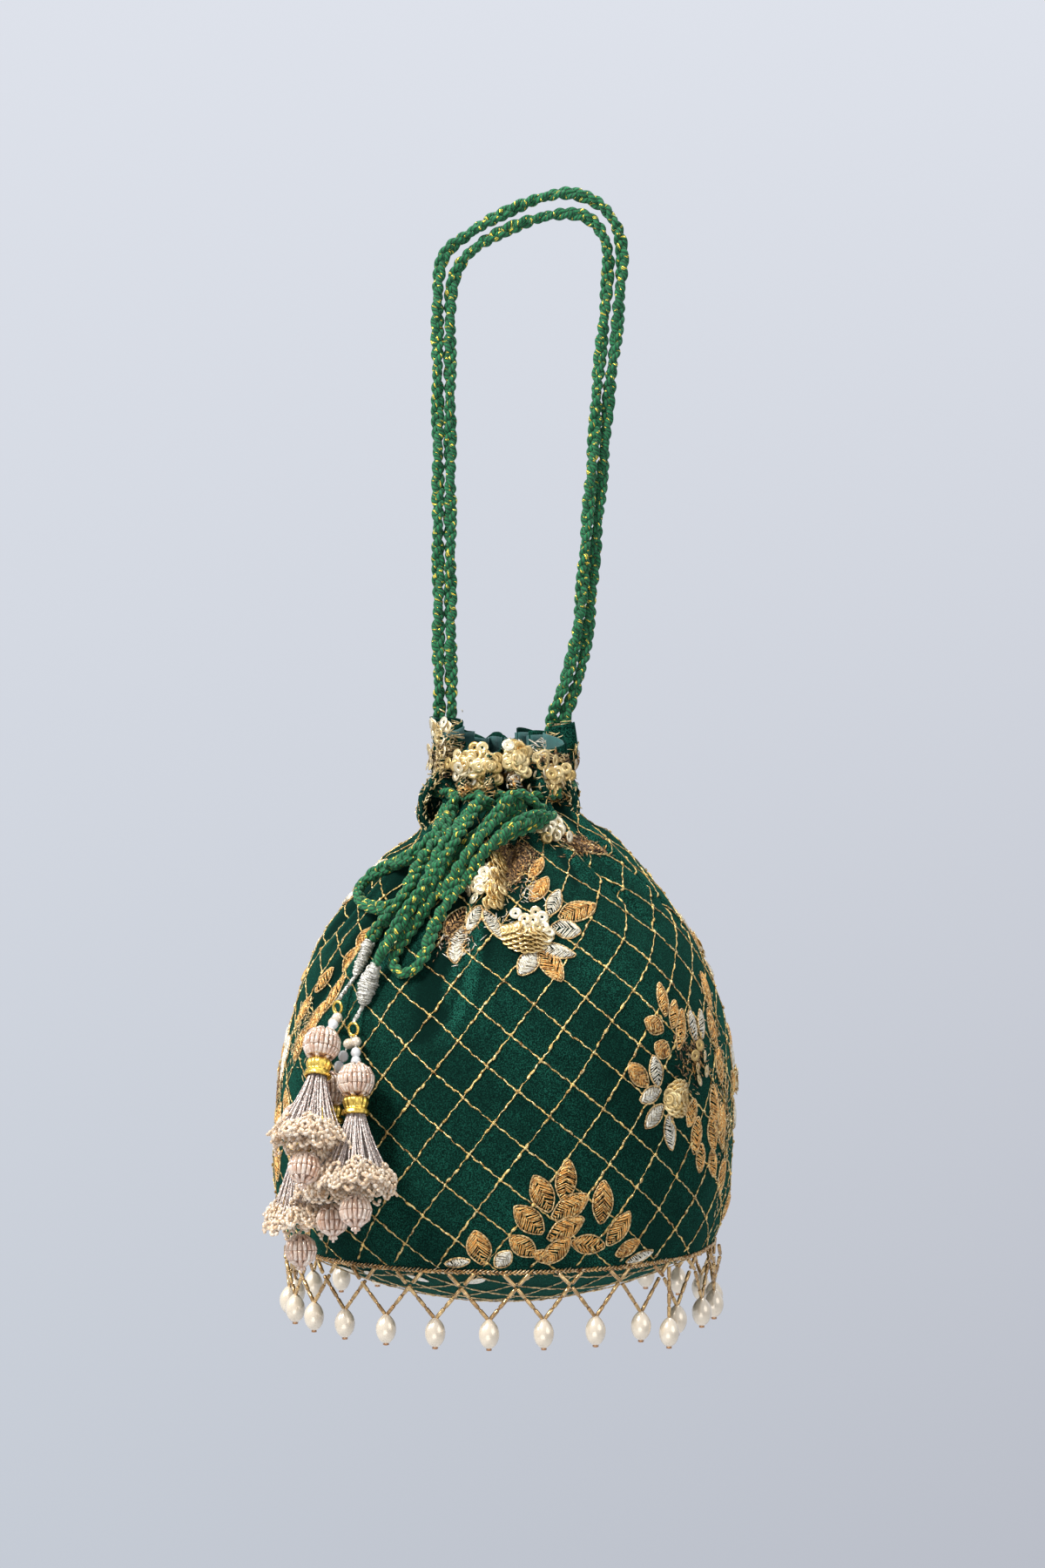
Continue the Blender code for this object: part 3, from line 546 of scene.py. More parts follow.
class Bench:
    """Modelling by hand: primitives, selections and edit-mode tools, and copies of what they make."""

    def __init__(self, seed: int = 7) -> None:
        """Starts with its own fixed row of chance numbers."""
        self.chance = np.random.default_rng(seed)

    def deselect(self) -> None:
        """Leaves nothing selected, so that the next tool acts on its own shape."""
        bpy.ops.object.select_all(action="DESELECT")

    def start(self, tool: Callable[..., set[str]], **settings: Any) -> bpy.types.Object:
        """Adds a primitive and enters edit mode with all of it selected.

        Args:
            tool: One of bpy.ops.mesh's primitives.
            settings: Its settings.

        Returns:
            The new object.
        """
        self.deselect()
        tool(**settings)
        shape = bpy.context.object
        bpy.ops.object.mode_set(mode="EDIT")
        bpy.ops.mesh.select_all(action="SELECT")
        return shape

    def tube(self, sides: int, length: float, middle: float, ends: str) -> bpy.types.Object:
        """Starts a tube along X, 1 wide.

        Args:
            sides: How many sides it has.
            length: Its length.
            middle: Where its middle is.
            ends: What its ends are filled with.

        Returns:
            The new object.
        """
        shape = self.start(
            bpy.ops.mesh.primitive_cylinder_add, vertices=sides, radius=0.5, depth=length,
            end_fill_type=ends, rotation=(0, math.pi / 2, 0), location=(middle, 0, 0),
        )
        bpy.ops.object.mode_set(mode="OBJECT")
        bpy.ops.object.transform_apply(rotation=True)
        bpy.ops.object.mode_set(mode="EDIT")
        return shape

    def pick(self, shape: bpy.types.Object, test: Callable[[Vector], bool], kind: str = "VERT") -> None:
        """Selects the points, edges or faces whose middle passes a test.

        Args:
            shape: The object in edit mode.
            test: What the place has to pass.
            kind: VERT, EDGE or FACE.
        """
        bpy.ops.mesh.select_mode(type=kind)
        bpy.ops.mesh.select_all(action="DESELECT")
        mesh = bmesh.from_edit_mesh(shape.data)
        for item in {"VERT": mesh.verts, "EDGE": mesh.edges, "FACE": mesh.faces}[kind]:
            if kind == "VERT":
                middle = item.co
            elif kind == "FACE":
                middle = item.calc_center_median()
            else:
                middle = (item.verts[0].co + item.verts[1].co) / 2
            if test(middle):
                item.select_set(True)
        mesh.select_flush_mode()
        bmesh.update_edit_mesh(shape.data)

    def done(self, shape: bpy.types.Object, smooth: float | None = 60.0) -> bpy.types.Object:
        """Leaves edit mode with the faces turned outwards.

        Args:
            shape: The object.
            smooth: The angle in degrees past which an edge stays sharp, or None for flat faces.

        Returns:
            The object.
        """
        bpy.ops.mesh.select_all(action="SELECT")
        bpy.ops.mesh.remove_doubles(threshold=1e-7)
        bpy.ops.mesh.normals_make_consistent(inside=False)
        bpy.ops.object.mode_set(mode="OBJECT")
        if smooth is not None:
            bpy.ops.object.shade_smooth_by_angle(angle=math.radians(smooth))
        return shape

    def apply(self, shape: bpy.types.Object, kind: str, **settings: Any) -> bpy.types.Object:
        """Adds a modifier, sets it and applies it.

        Args:
            shape: The object.
            kind: The modifier's type.
            settings: Its settings.

        Returns:
            The object.
        """
        self.deselect()
        shape.select_set(True)
        bpy.context.view_layer.objects.active = shape
        modifier = shape.modifiers.new(kind.lower(), kind)
        for key, value in settings.items():
            setattr(modifier, key, value)
        bpy.ops.object.modifier_apply(modifier=modifier.name)
        return shape

    def join(self, shapes: Sequence[bpy.types.Object]) -> bpy.types.Object:
        """Makes one object of several, under the first one's name.

        Args:
            shapes: The objects.

        Returns:
            The first object, which holds them all.
        """
        self.deselect()
        for shape in shapes:
            shape.select_set(True)
        bpy.context.view_layer.objects.active = shapes[0]
        bpy.ops.object.join()
        return shapes[0]


BENCH = Bench()


@dataclass
class Pattern:
    """A modelled shape kept as numbers, so that it can be copied many times into one piece."""

    points: Array
    corners: Array
    starts: Array
    uv: Array
    smooth: Array

    @classmethod
    def of(cls, shape: bpy.types.Object) -> "Pattern":
        """Reads an object's mesh and removes the object.

        Args:
            shape: The modelled shape.

        Returns:
            Its pattern.
        """

        def read(items: Any, what: str, kind: type, width: int = 1) -> Array:
            """What all the items say of one thing, as rows where that is several numbers."""
            values = np.empty(len(items) * width, kind)
            items.foreach_get(what, values)
            return values.reshape(-1, width) if width > 1 else values

        mesh = shape.data
        if not mesh.uv_layers:
            mesh.uv_layers.new(name="UVMap")
        place = np.array(shape.matrix_world)
        pattern = cls(
            points=read(mesh.vertices, "co", float, 3) @ place[:3, :3].T + place[:3, 3],
            corners=read(mesh.loops, "vertex_index", np.int32),
            starts=read(mesh.polygons, "loop_start", np.int32),
            uv=read(mesh.uv_layers[0].data, "uv", float, 2),
            smooth=read(mesh.polygons, "use_smooth", bool),
        )
        bpy.data.objects.remove(shape, do_unlink=True)
        bpy.data.meshes.remove(mesh)
        return pattern

    def laid(self, name: str, spots: Array, tones: Array) -> bpy.types.Object:
        """One object of many copies, each already in its place.

        Args:
            name: The object's name.
            spots: The copies' points, as (copies, points, 3).
            tones: Each copy's tone, from 0 to 1.

        Returns:
            The object, with no material yet.
        """
        count, size = len(spots), len(self.points)
        mesh = bpy.data.meshes.new(name)
        mesh.vertices.add(count * size)
        mesh.vertices.foreach_set("co", np.ascontiguousarray(spots, np.float32).ravel())
        corners = (self.corners[None, :] + (np.arange(count) * size)[:, None]).ravel()
        mesh.loops.add(len(corners))
        mesh.loops.foreach_set("vertex_index", corners.astype(np.int32))
        starts = (self.starts[None, :] + (np.arange(count) * len(self.corners))[:, None]).ravel()
        mesh.polygons.add(len(starts))
        mesh.polygons.foreach_set("loop_start", starts.astype(np.int32))
        mesh.polygons.foreach_set("use_smooth", np.tile(self.smooth, count))
        layer = mesh.uv_layers.new(name="UVMap")
        layer.data.foreach_set("uv", np.tile(self.uv, (count, 1)).astype(np.float32).ravel())
        tone = mesh.attributes.new("tone", "FLOAT", "POINT")
        tone.data.foreach_set("value", np.repeat(tones, size).astype(np.float32))
        mesh.update(calc_edges=True)
        mesh.validate()
        piece = bpy.data.objects.new(name, mesh)
        bpy.context.scene.collection.objects.link(piece)
        return piece

    def copied(self, name: str, places: Array, tones: Array) -> bpy.types.Object:
        """One object of many copies placed by matrices.

        Args:
            name: The object's name.
            places: The copies' matrices, as (copies, 3, 4).
            tones: Each copy's tone.

        Returns:
            The object.
        """
        spots = np.einsum("nij,pj->npi", places[:, :, :3], self.points) + places[:, None, :, 3]
        return self.laid(name, spots, tones)


def unit(vectors: Array) -> Array:
    """The vectors at length 1."""
    lengths = np.linalg.norm(vectors, axis=-1, keepdims=True)
    return vectors / np.maximum(lengths, 1e-12)


def stands(origins: Array, along: Array, up: Array, sizes: Array) -> Array:
    """Matrices that put a pattern's X along one direction and its Z near another.

    What is the same for all copies can be given once, as three numbers.

    Args:
        origins: Where each copy's middle goes.
        along: Each copy's X direction.
        up: The direction its Z stays nearest to.
        sizes: Each copy's size along X, Y and Z.

    Returns:
        The matrices, as (copies, 3, 4).
    """
    given = [np.atleast_2d(np.asarray(rows, float)) for rows in (origins, along, up, sizes)]
    origins, along, up, sizes = np.broadcast_arrays(*given)
    x = unit(along)
    y = unit(np.cross(up, x))
    turn = np.stack([x, y, np.cross(x, y)], axis=2) * sizes[:, None, :]
    return np.concatenate([turn, origins[:, :, None]], axis=2)


def blend(first: Any, second: Any, share: Any) -> Any:
    """What lies this share of the way from the first to the second."""
    return first + (second - first) * share


def widened(lengths: Array, width: float, height: float) -> Array:
    """Sizes for stands: each copy's own length, with one width and height for all."""
    return np.stack(np.broadcast_arrays(lengths, width, height), axis=1)


def turned_about(vectors: Array, axes: Array, angles: Array) -> Array:
    """The vectors turned about unit axes by angles in radians."""
    cos, sin = np.cos(angles)[:, None], np.sin(angles)[:, None]
    dot = np.sum(vectors * axes, axis=1, keepdims=True)
    return vectors * cos + np.cross(axes, vectors) * sin + axes * dot * (1 - cos)


def smooth_route(points: Array, spacing: float) -> Array:
    """Points at even spacing along a smooth curve through the given ones.

    Args:
        points: The points, as (count, 3).
        spacing: The distance between the new ones.

    Returns:
        The new points.
    """
    ends = np.vstack([2 * points[0] - points[1], points, 2 * points[-1] - points[-2]])
    fine = []
    for i in range(len(points) - 1):
        before, start, end, after = ends[i : i + 4]
        t = np.linspace(0, 1, 24, endpoint=False)[:, None]
        curve = 2 * start + (end - before) * t + (2 * before - 5 * start + 4 * end - after) * t**2
        fine.append(0.5 * (curve + (3 * start - before - 3 * end + after) * t**3))
    return evenly(np.vstack([*fine, points[-1:]]), spacing)


def distances(points: Array) -> Array:
    """How far along its line each point is."""
    return np.concatenate([[0], np.cumsum(np.linalg.norm(np.diff(points, axis=0), axis=1))])


def evenly(points: Array, spacing: float) -> Array:
    """The same line with points at even spacing.

    Args:
        points: The line's points.
        spacing: The distance that is wanted.

    Returns:
        The new points.
    """
    length = distances(points)
    count = max(2, round(length[-1] / spacing) + 1)
    wanted = np.linspace(0, length[-1], count)
    return np.stack([np.interp(wanted, length, points[:, k]) for k in range(3)], axis=1)


def carried_frames(
    route: Array, first: Sequence[float], closed: bool = False
) -> tuple[Array, Array, Array]:
    """Directions carried along a route without twisting.

    Args:
        route: The points.
        first: The side direction to start near.
        closed: Whether the last point meets the first, so that the directions have to as well.

    Returns:
        The run, side and upward directions at each point.
    """
    run = unit(np.gradient(route, axis=0))
    side = np.empty_like(route)
    current = np.asarray(first, float)
    for i, direction in enumerate(run):
        current = current - direction * current.dot(direction)
        current = current / np.linalg.norm(current)
        side[i] = current
    if closed:
        last = side[-1]
        across = np.cross(run[0], side[0])
        gap = math.atan2(last.dot(across), last.dot(side[0]))
        side = turned_about(side, run, -gap * np.linspace(0, 1, len(route)))
    return run, side, np.cross(run, side)


def spokes(side: Array, up: Array, turn: Array) -> Array:
    """Directions round each point of a route, at angles in radians, as (points, angles, 3)."""
    return side[:, None] * np.cos(turn)[..., None] + up[:, None] * np.sin(turn)[..., None]


def circle(count: int) -> Array:
    """Even angles once round, in radians."""
    return np.linspace(0, math.tau, count, endpoint=False)


def tube_sheet(
    rings: Array, uv: Array | None, name: str, caps: tuple[bool, bool] = (True, True)
) -> bpy.types.Object:
    """A tube through rings of points.

    Args:
        rings: The points, as (rings, sides, 3).
        uv: What U and V are at each ring and side, as (rings, sides + 1, 2), or None.
        name: The object's name.
        caps: Whether its first and its last end are closed.

    Returns:
        The object, shaded smooth.
    """
    count, sides = rings.shape[:2]
    i, j = np.meshgrid(np.arange(count - 1), np.arange(sides), indexing="ij")
    after = (j + 1) % sides
    row = np.stack([i, i, i + 1, i + 1], axis=-1).ravel()
    corners = row * sides + np.stack([j, after, after, j], axis=-1).ravel()
    starts = np.arange(0, len(corners), 4)
    corner_uv = np.zeros((len(corners), 2))
    if uv is not None:
        corner_uv = uv[row, np.stack([j, j + 1, j + 1, j], axis=-1).ravel()]
    ends = (np.arange(sides)[::-1], (count - 1) * sides + np.arange(sides))
    for end in [ring for ring, closed in zip(ends, caps) if closed]:
        starts = np.append(starts, len(corners))
        corners = np.concatenate([corners, end])
        corner_uv = np.vstack([corner_uv, np.zeros((sides, 2))])
    pattern = Pattern(rings.reshape(-1, 3), corners, starts, corner_uv, np.ones(len(starts), bool))
    return pattern.laid(name, pattern.points[None], np.array([0.5]))


def painted(
    piece: bpy.types.Object, finish: Finish, body: str, replaces: Iterable[str] = ()
) -> bpy.types.Object:
    """Dresses a piece, puts it on its body and hides the CAD nodes that it stands for.

    Args:
        piece: The piece, in place.
        finish: Its finish.
        body: The body that it moves with.
        replaces: The CAD nodes that it stands for.

    Returns:
        The piece.
    """
    piece.data.materials.clear()
    piece.data.materials.append(finish.material())
    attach(piece, body)
    nodes = list(replaces)
    if nodes:
        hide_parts(*nodes)
    log.info("%s on %s, %d faces", piece.name, body, len(piece.data.polygons))
    return piece


# A leaf's width from its foot to its tip, as shares of its widest
LEAF_WIDTHS = (0.1, 0.42, 0.68, 0.88, 0.98, 1.0, 0.96, 0.84, 0.64, 0.38, 0.06)


class Patterns:
    """The small shapes that the embroidery, fringe and tassels are made of, each modelled once."""

    def __init__(self) -> None:
        """Keeps what was modelled, by name."""
        self._made: dict[str, Pattern] = {}

    def get(self, name: str) -> Pattern:
        """The pattern of this name, modelled the first time."""
        if name not in self._made:
            self._made[name] = Pattern.of(getattr(self, "_" + name)())
        return self._made[name]

    def _spindle(self, sides: int, length: float, middle: float, narrow: float) -> bpy.types.Object:
        """A tube along X, 1 long with its narrowed and closed ends, and 1 wide.

        Args:
            sides: How many sides it has.
            length: How long its full part is.
            middle: Where its middle is.
            narrow: How wide its ends are.

        Returns:
            The shape.
        """
        shape = BENCH.tube(sides, length, middle, "NOTHING")
        for side in (-1, 1):
            BENCH.pick(shape, lambda place, s=side: (place.x - middle) * s > length / 2 - 0.05, "EDGE")
            reach = side * (1 - length) / 2
            bpy.ops.mesh.extrude_edges_move(TRANSFORM_OT_translate={"value": (reach, 0, 0)})
            bpy.ops.transform.resize(value=(1, narrow, narrow))
            bpy.ops.mesh.edge_face_add()
        return BENCH.done(shape)

    def _stitch(self) -> bpy.types.Object:
        """A plump stitch, 1 long, 1 wide and 1 high, narrow at its ends."""
        return self._spindle(5, 0.4, 0.0, 0.42)

    def _thread(self) -> bpy.types.Object:
        """A satin stitch, 1 long along X from the origin and 1 wide."""
        return self._spindle(4, 0.5, 0.5, 0.5)

    def _bugle(self) -> bpy.types.Object:
        """A cut glass tube, 1 long and 1 wide, with its edges broken and a hole in each end."""
        shape = BENCH.tube(6, 0.86, 0.0, "NGON")
        for side in (-1, 1):
            BENCH.pick(shape, lambda place, s=side: place.x * s > 0.42, "FACE")
            bpy.ops.mesh.extrude_region_move(TRANSFORM_OT_translate={"value": (side * 0.07, 0, 0)})
            bpy.ops.transform.resize(value=(1, 0.72, 0.72))
            bpy.ops.mesh.inset(thickness=0.14)
            bpy.ops.mesh.extrude_region_move(TRANSFORM_OT_translate={"value": (-side * 0.12, 0, 0)})
        return BENCH.done(shape, 25.0)

    def _bead(self) -> bpy.types.Object:
        """A round glass bead, 1 across, a little flat at its two ends."""
        shape = BENCH.start(bpy.ops.mesh.primitive_uv_sphere_add, segments=8, ring_count=6, radius=0.5)
        bpy.ops.transform.resize(value=(1, 1, 0.92))
        return BENCH.done(shape)

    def _sequin(self) -> bpy.types.Object:
        """A cupped disc with a hole, 1 across, whose hollow faces +Z."""
        add = bpy.ops.mesh.primitive_circle_add
        shape = BENCH.start(add, vertices=12, radius=0.11, fill_type="NOTHING")
        bpy.ops.mesh.extrude_edges_move(TRANSFORM_OT_translate={"value": (0, 0, 0.008)})
        bpy.ops.transform.resize(value=(2.6, 2.6, 1))
        bpy.ops.mesh.extrude_edges_move(TRANSFORM_OT_translate={"value": (0, 0, 0.04)})
        bpy.ops.transform.resize(value=(1.75, 1.75, 1))
        BENCH.done(shape, 40.0)
        return BENCH.apply(shape, "SOLIDIFY", thickness=0.025, offset=0.0)

    def _leaf(self) -> bpy.types.Object:
        """The padding of a leaf, 1 long along X and 1 wide, domed, with its tip at +X."""
        add = bpy.ops.mesh.primitive_grid_add
        shape = BENCH.start(add, x_subdivisions=10, y_subdivisions=6, size=1.0)
        bpy.ops.mesh.extrude_region_move(TRANSFORM_OT_translate={"value": (0, 0, 0.03)})
        for row, rise in ((0.333, 0.5), (0.167, 0.85), (0.0, 0.95)):
            BENCH.pick(shape, lambda place, y=row: place.z > 0.02 and abs(abs(place.y) - y) < 0.01)
            bpy.ops.transform.translate(value=(0, 0, rise))
        for step, width in enumerate(LEAF_WIDTHS):
            x = -0.5 + step / (len(LEAF_WIDTHS) - 1)
            BENCH.pick(shape, lambda place, at=x: abs(place.x - at) < 0.01)
            bpy.ops.transform.resize(value=(1, width, 0.35 + 0.65 * width), center_override=(x, 0, 0))
        return BENCH.done(shape, 70.0)

    def _ring(self) -> bpy.types.Object:
        """A jump ring, 1 across its centre line, in the plane of X and Z."""
        shape = BENCH.start(
            bpy.ops.mesh.primitive_torus_add, major_segments=28, minor_segments=8, major_radius=0.5,
            minor_radius=0.12, rotation=(math.pi / 2, 0, 0),
        )
        return BENCH.done(shape)

    def _pearl(self) -> bpy.types.Object:
        """A drop pearl, 1 long and 1 wide, with its narrow end up."""
        shape = BENCH.start(bpy.ops.mesh.primitive_uv_sphere_add, segments=24, ring_count=18, radius=0.5)
        for level in range(1, 9):
            low = 0.5 * math.cos(math.pi * (level + 0.5) / 18)
            share = 1 - 0.055 * (9 - level) / 4
            BENCH.pick(shape, lambda place, z=low: place.z > z)
            bpy.ops.transform.resize(value=(share, share, 1), center_override=(0, 0, 0))
        return BENCH.done(shape, 80.0)


PATTERNS = Patterns()


@dataclass(frozen=True)
class Crease:
    """A soft valley of the cloth, or a ridge where its depth is below nought.

    It runs straight from one place to another, given in degrees and millimetres below the neck,
    and its width and depth are in millimetres.
    """

    start: tuple[float, float]
    end: tuple[float, float]
    width: float
    depth: float


# The creases of the front, then of the back: where each starts and ends, its width and its depth
CREASES = tuple(Crease((a, b), (c, d), width, depth) for a, b, c, d, width, depth in (
    (-17.5, 26, -17, 74, 4, 4.6), (-10.5, 38, -12.6, 88, 4.6, -2), (-11.5, 56, -15.5, 90, 3, 2.6),
    (-18, 78, -20, 98, 6, 2.2), (8, 8, 11.5, 30, 5, 3.6), (31, 19, 53, 57, 3, 5.2),
    (26, 18, 42, 46, 3.6, -2.2), (52, 22, 79, 58, 3, 5.2), (46, 18, 66, 46, 4, -2.4),
    (26.5, 20, 27.5, 40, 1.9, 2.4), (95, 13, 85, 17, 14, 4), (-44, 30, -66, 92, 4.2, 4.4),
    (-38, 24, -54, 80, 4.6, -2), (-62, 20, -84, 70, 4.2, 4.2), (-56, 20, -74, 66, 4.2, -1.4),
    (-100, 15, -78, 27, 16, 5),
    (98, 15, 110, 66, 5, 2.8), (128, 15, 131, 74, 5, 2.4), (118, 20, 120, 60, 5, -1.3),
    (156, 12, 150, 58, 4.6, 3), (176, 15, 181, 84, 5.4, 2.6), (-160, 15, -154, 60, 4.8, 2.6),
    (-134, 18, -139, 76, 5.2, 2.4), (-146, 20, -147, 62, 5, -1.2), (-110, 14, -104, 62, 5, 3),
))


@dataclass(frozen=True)
class PouchForm:
    """The pouch's shape, which the cloth, its embroidery and everything that lies on it share."""

    axis_x: float = -0.0256
    neck_z: float = -0.2275
    widest_z: float = -0.3798
    rim_z: float = -0.4099
    neck_radius: float = 0.0235
    widest_radius: float = 0.0917
    rim_radius: float = 0.0840
    base_sag: float = 0.0220
    lean: float = 0.0030
    fullness: float = 3.0
    hollow: float = 1.2
    tuck: float = 1.6
    pleats: int = 14
    crowding: float = 1.5
    sharpness: float = 1.6
    neck_pleat_depth: float = 0.0085
    pleat_reach: float = 0.0800
    pleat_fade: float = 2.2
    ruffle_radius: float = 0.0290
    ruffle_pleat_depth: float = 0.0110
    flare_height: float = 0.0080
    ruffle_height: float = 0.0202
    ruffle_wave: float = 0.0009
    front_dip: float = 0.0062
    back_rise: float = 0.0012
    corner_rise: float = 0.0075
    corner_tilt: float = 0.0015
    fabric: float = 0.0006
    casing: float = 0.0072
    casing_drop: float = 0.0005
    casing_reach: float = 0.0042
    creases: tuple[Crease, ...] = CREASES

    def share(self, z: Array) -> Array:
        """How far a height is from the neck, 0, to the widest level, 1."""
        return np.clip((self.neck_z - z) / (self.neck_z - self.widest_z), 0.0, 1.0)

    def flare(self, z: Array) -> Array:
        """How far a height is through the ruffle's flare, from the neck, 0, to its end, 1."""
        return np.clip((z - self.neck_z) / self.flare_height, 0.0, 1.0)

    def side_radius(self, z: Array) -> Array:
        """The outer radius over the pleats.

        Args:
            z: The height.

        Returns:
            The radius in metres.
        """
        z = np.asarray(z, float)
        above = blend(self.neck_radius, self.ruffle_radius, self.flare(z))
        full = (1 - (1 - self.share(z)) ** self.fullness) ** self.hollow
        side = blend(self.neck_radius, self.widest_radius, full)
        low = np.clip((self.widest_z - z) / (self.widest_z - self.rim_z), 0.0, 1.0)
        below = blend(self.widest_radius, self.rim_radius, low**self.tuck)
        return np.where(z > self.neck_z, above, np.where(z >= self.widest_z, side, below))

    def shift(self, z: Array) -> Array:
        """How far the pouch leans to the right."""
        return self.lean * np.sin(np.pi * np.sqrt(self.share(z)))

    def pleat_depth(self, z: Array) -> Array:
        """How deep the pleats are at a height."""
        z = np.asarray(z, float)
        above = blend(self.neck_pleat_depth, self.ruffle_pleat_depth, self.flare(z))
        below = np.clip(1 - (self.neck_z - z) / self.pleat_reach, 0.0, 1.0) ** self.pleat_fade
        return np.where(z > self.neck_z, above, self.neck_pleat_depth * below)

    def fold(self, angle: Array) -> Array:
        """How far into a pleat's valley an angle from the front is, from 0 to 1."""
        turn = angle - np.pi / 2
        phase = self.pleats * turn - self.crowding * np.sin(2 * turn)
        return ((1 - np.cos(phase)) / 2) ** self.sharpness

    def folds(self, angle: Array, z: Array) -> Array:
        """What the creases and the slack of the cloth add to the radius.

        Args:
            angle: Radians from the front.
            z: The height.

        Returns:
            What to add, in metres.
        """
        below = (self.neck_z - z) / MM
        radius = self.side_radius(z) / MM
        total = np.zeros(np.broadcast(angle, z).shape)
        for crease in self.creases:
            (a0, b0), (a1, b1) = crease.start, crease.end
            t = (below - b0) / (b1 - b0)
            inside = np.clip(t, 0, 1)
            centre = np.radians(blend(a0, a1, inside) + 2.0 * np.sin(3 * inside))
            away = (angle - centre + np.pi) % (2 * np.pi) - np.pi
            over = (t - inside) * (b1 - b0)
            fade = np.exp(-((over / 9) ** 2)) * np.cos(np.pi / 2 * np.clip(t, 0, 1)) ** 0.6
            total -= crease.depth * np.exp(-((away * radius / crease.width) ** 2)) * fade
        slack = np.sin(np.pi * self.share(z)) * np.clip(below / 30, 0, 1)
        ripple = 0.8 * np.sin(5 * angle + 1.3 + below / 26) + 0.55 * np.sin(9 * angle - 0.7 - below / 17)
        low = np.clip((below - 120) / 50, 0, 1)
        hem = 0.5 * np.sin(13 * angle + 0.4) * low
        crown = 1.1 * np.sin(7 * angle + 2.0) + 0.8 * np.sin(11 * angle - below / 5)
        return (total + slack * ripple + hem + crown * np.clip(-below / 9, 0, 1)) * MM

    def radius(self, angle: Array, z: Array) -> Array:
        """The cloth's radius with its pleats and folds.

        Args:
            angle: Radians from the front.
            z: The height.

        Returns:
            The radius in metres.
        """
        wide = 1 - 0.6 * np.exp(-(((angle + 0.37) / 0.1) ** 2))
        wide = wide * (1 + 0.12 * np.sin(3 * angle + 0.5))
        fold = self.fold(angle)
        away = (z - self.neck_z + self.casing_drop) / self.casing_reach
        casing = self.casing * np.exp(-(away**2)) * (1 - fold)
        return self.side_radius(z) + casing - self.pleat_depth(z) * fold * wide + self.folds(angle, z)

    def point(self, angle: Array, z: Array) -> Array:
        """The cloth's outer face at an angle from the front, in radians, and a height."""
        radius = self.radius(angle, z)
        x = self.axis_x + self.shift(z) + radius * np.sin(angle)
        return np.stack([x, -radius * np.cos(angle), z + 0 * x], axis=-1)

    def faced(self, angle: Array, z: Array) -> tuple[Array, Array, Array, Array]:
        """The cloth's place with its directions.

        Args:
            angle: Radians from the front.
            z: The height.

        Returns:
            The point, and the directions to the right, down the cloth and out of it.
        """
        step, rise = 0.004, 0.0005
        right = unit(self.point(angle + step, z) - self.point(angle - step, z))
        down = unit(self.point(angle, z - rise) - self.point(angle, z + rise))
        out = unit(np.cross(down, right))
        return self.point(angle, z), right, np.cross(right, out), out

    def ruffle_top(self, angle: Array) -> Array:
        """The height of the ruffle's edge, which rises to both sides.

        Args:
            angle: Radians from the front.

        Returns:
            The height in metres.
        """
        right, front = np.sin(angle), np.cos(angle)
        wave = self.ruffle_wave * (np.sin(5 * angle + 1.0) + np.sin(12 * angle))
        dip = self.front_dip * np.clip(front, 0, 1) ** 0.7 - self.back_rise * np.clip(-front, 0, 1)
        rise = self.corner_rise - self.corner_tilt * np.sign(right)
        corner = rise * np.abs(right) ** (9 + 3 * np.sign(right))
        return self.neck_z + self.ruffle_height + wave - dip + corner

    def base_z(self, share: Array) -> Array:
        """The height of the base at a share of its radius."""
        return self.rim_z - self.base_sag * (1 - share**2)

    def around(self, angle: float, radius: float, z: float, shift: float = 0.0) -> Array:
        """The point at this many degrees to the right of the front, as the CAD has it."""
        turn = math.radians(angle)
        return np.array([self.axis_x + shift + radius * math.sin(turn), -radius * math.cos(turn), z])

    def off_side(self, angle: float, below: float, off: float) -> Array:
        """A point straight out from the plain side, in degrees and millimetres."""
        z = self.neck_z - below * MM
        return self.around(angle, float(self.side_radius(z)) + off * MM, z, float(self.shift(z)))

    def beside(self, angle: float, below: float, right: float, up: float) -> tuple[float, float]:
        """The angle and level of a place so many millimetres to the right of and above another."""
        low = below - up
        radius = max(float(self.side_radius(self.neck_z - max(low, 0) * MM)) / MM, 25)
        return angle + math.degrees(right / radius), low

    def on_plain(self, angle: float, below: float, off: float) -> Array:
        """A point off the plain side, square to it, by a distance in metres.

        Args:
            angle: Degrees from the front.
            below: Millimetres below the neck.
            off: How far off the side.

        Returns:
            The point.
        """
        z = self.neck_z - below * MM
        step = 0.0005
        slope = float(self.side_radius(z - step) - self.side_radius(z + step)) / (2 * step)
        length = math.hypot(1, slope)
        radius = float(self.side_radius(z)) + off / length
        return self.around(angle, radius, z + off * slope / length, float(self.shift(z)))


FORM = PouchForm()


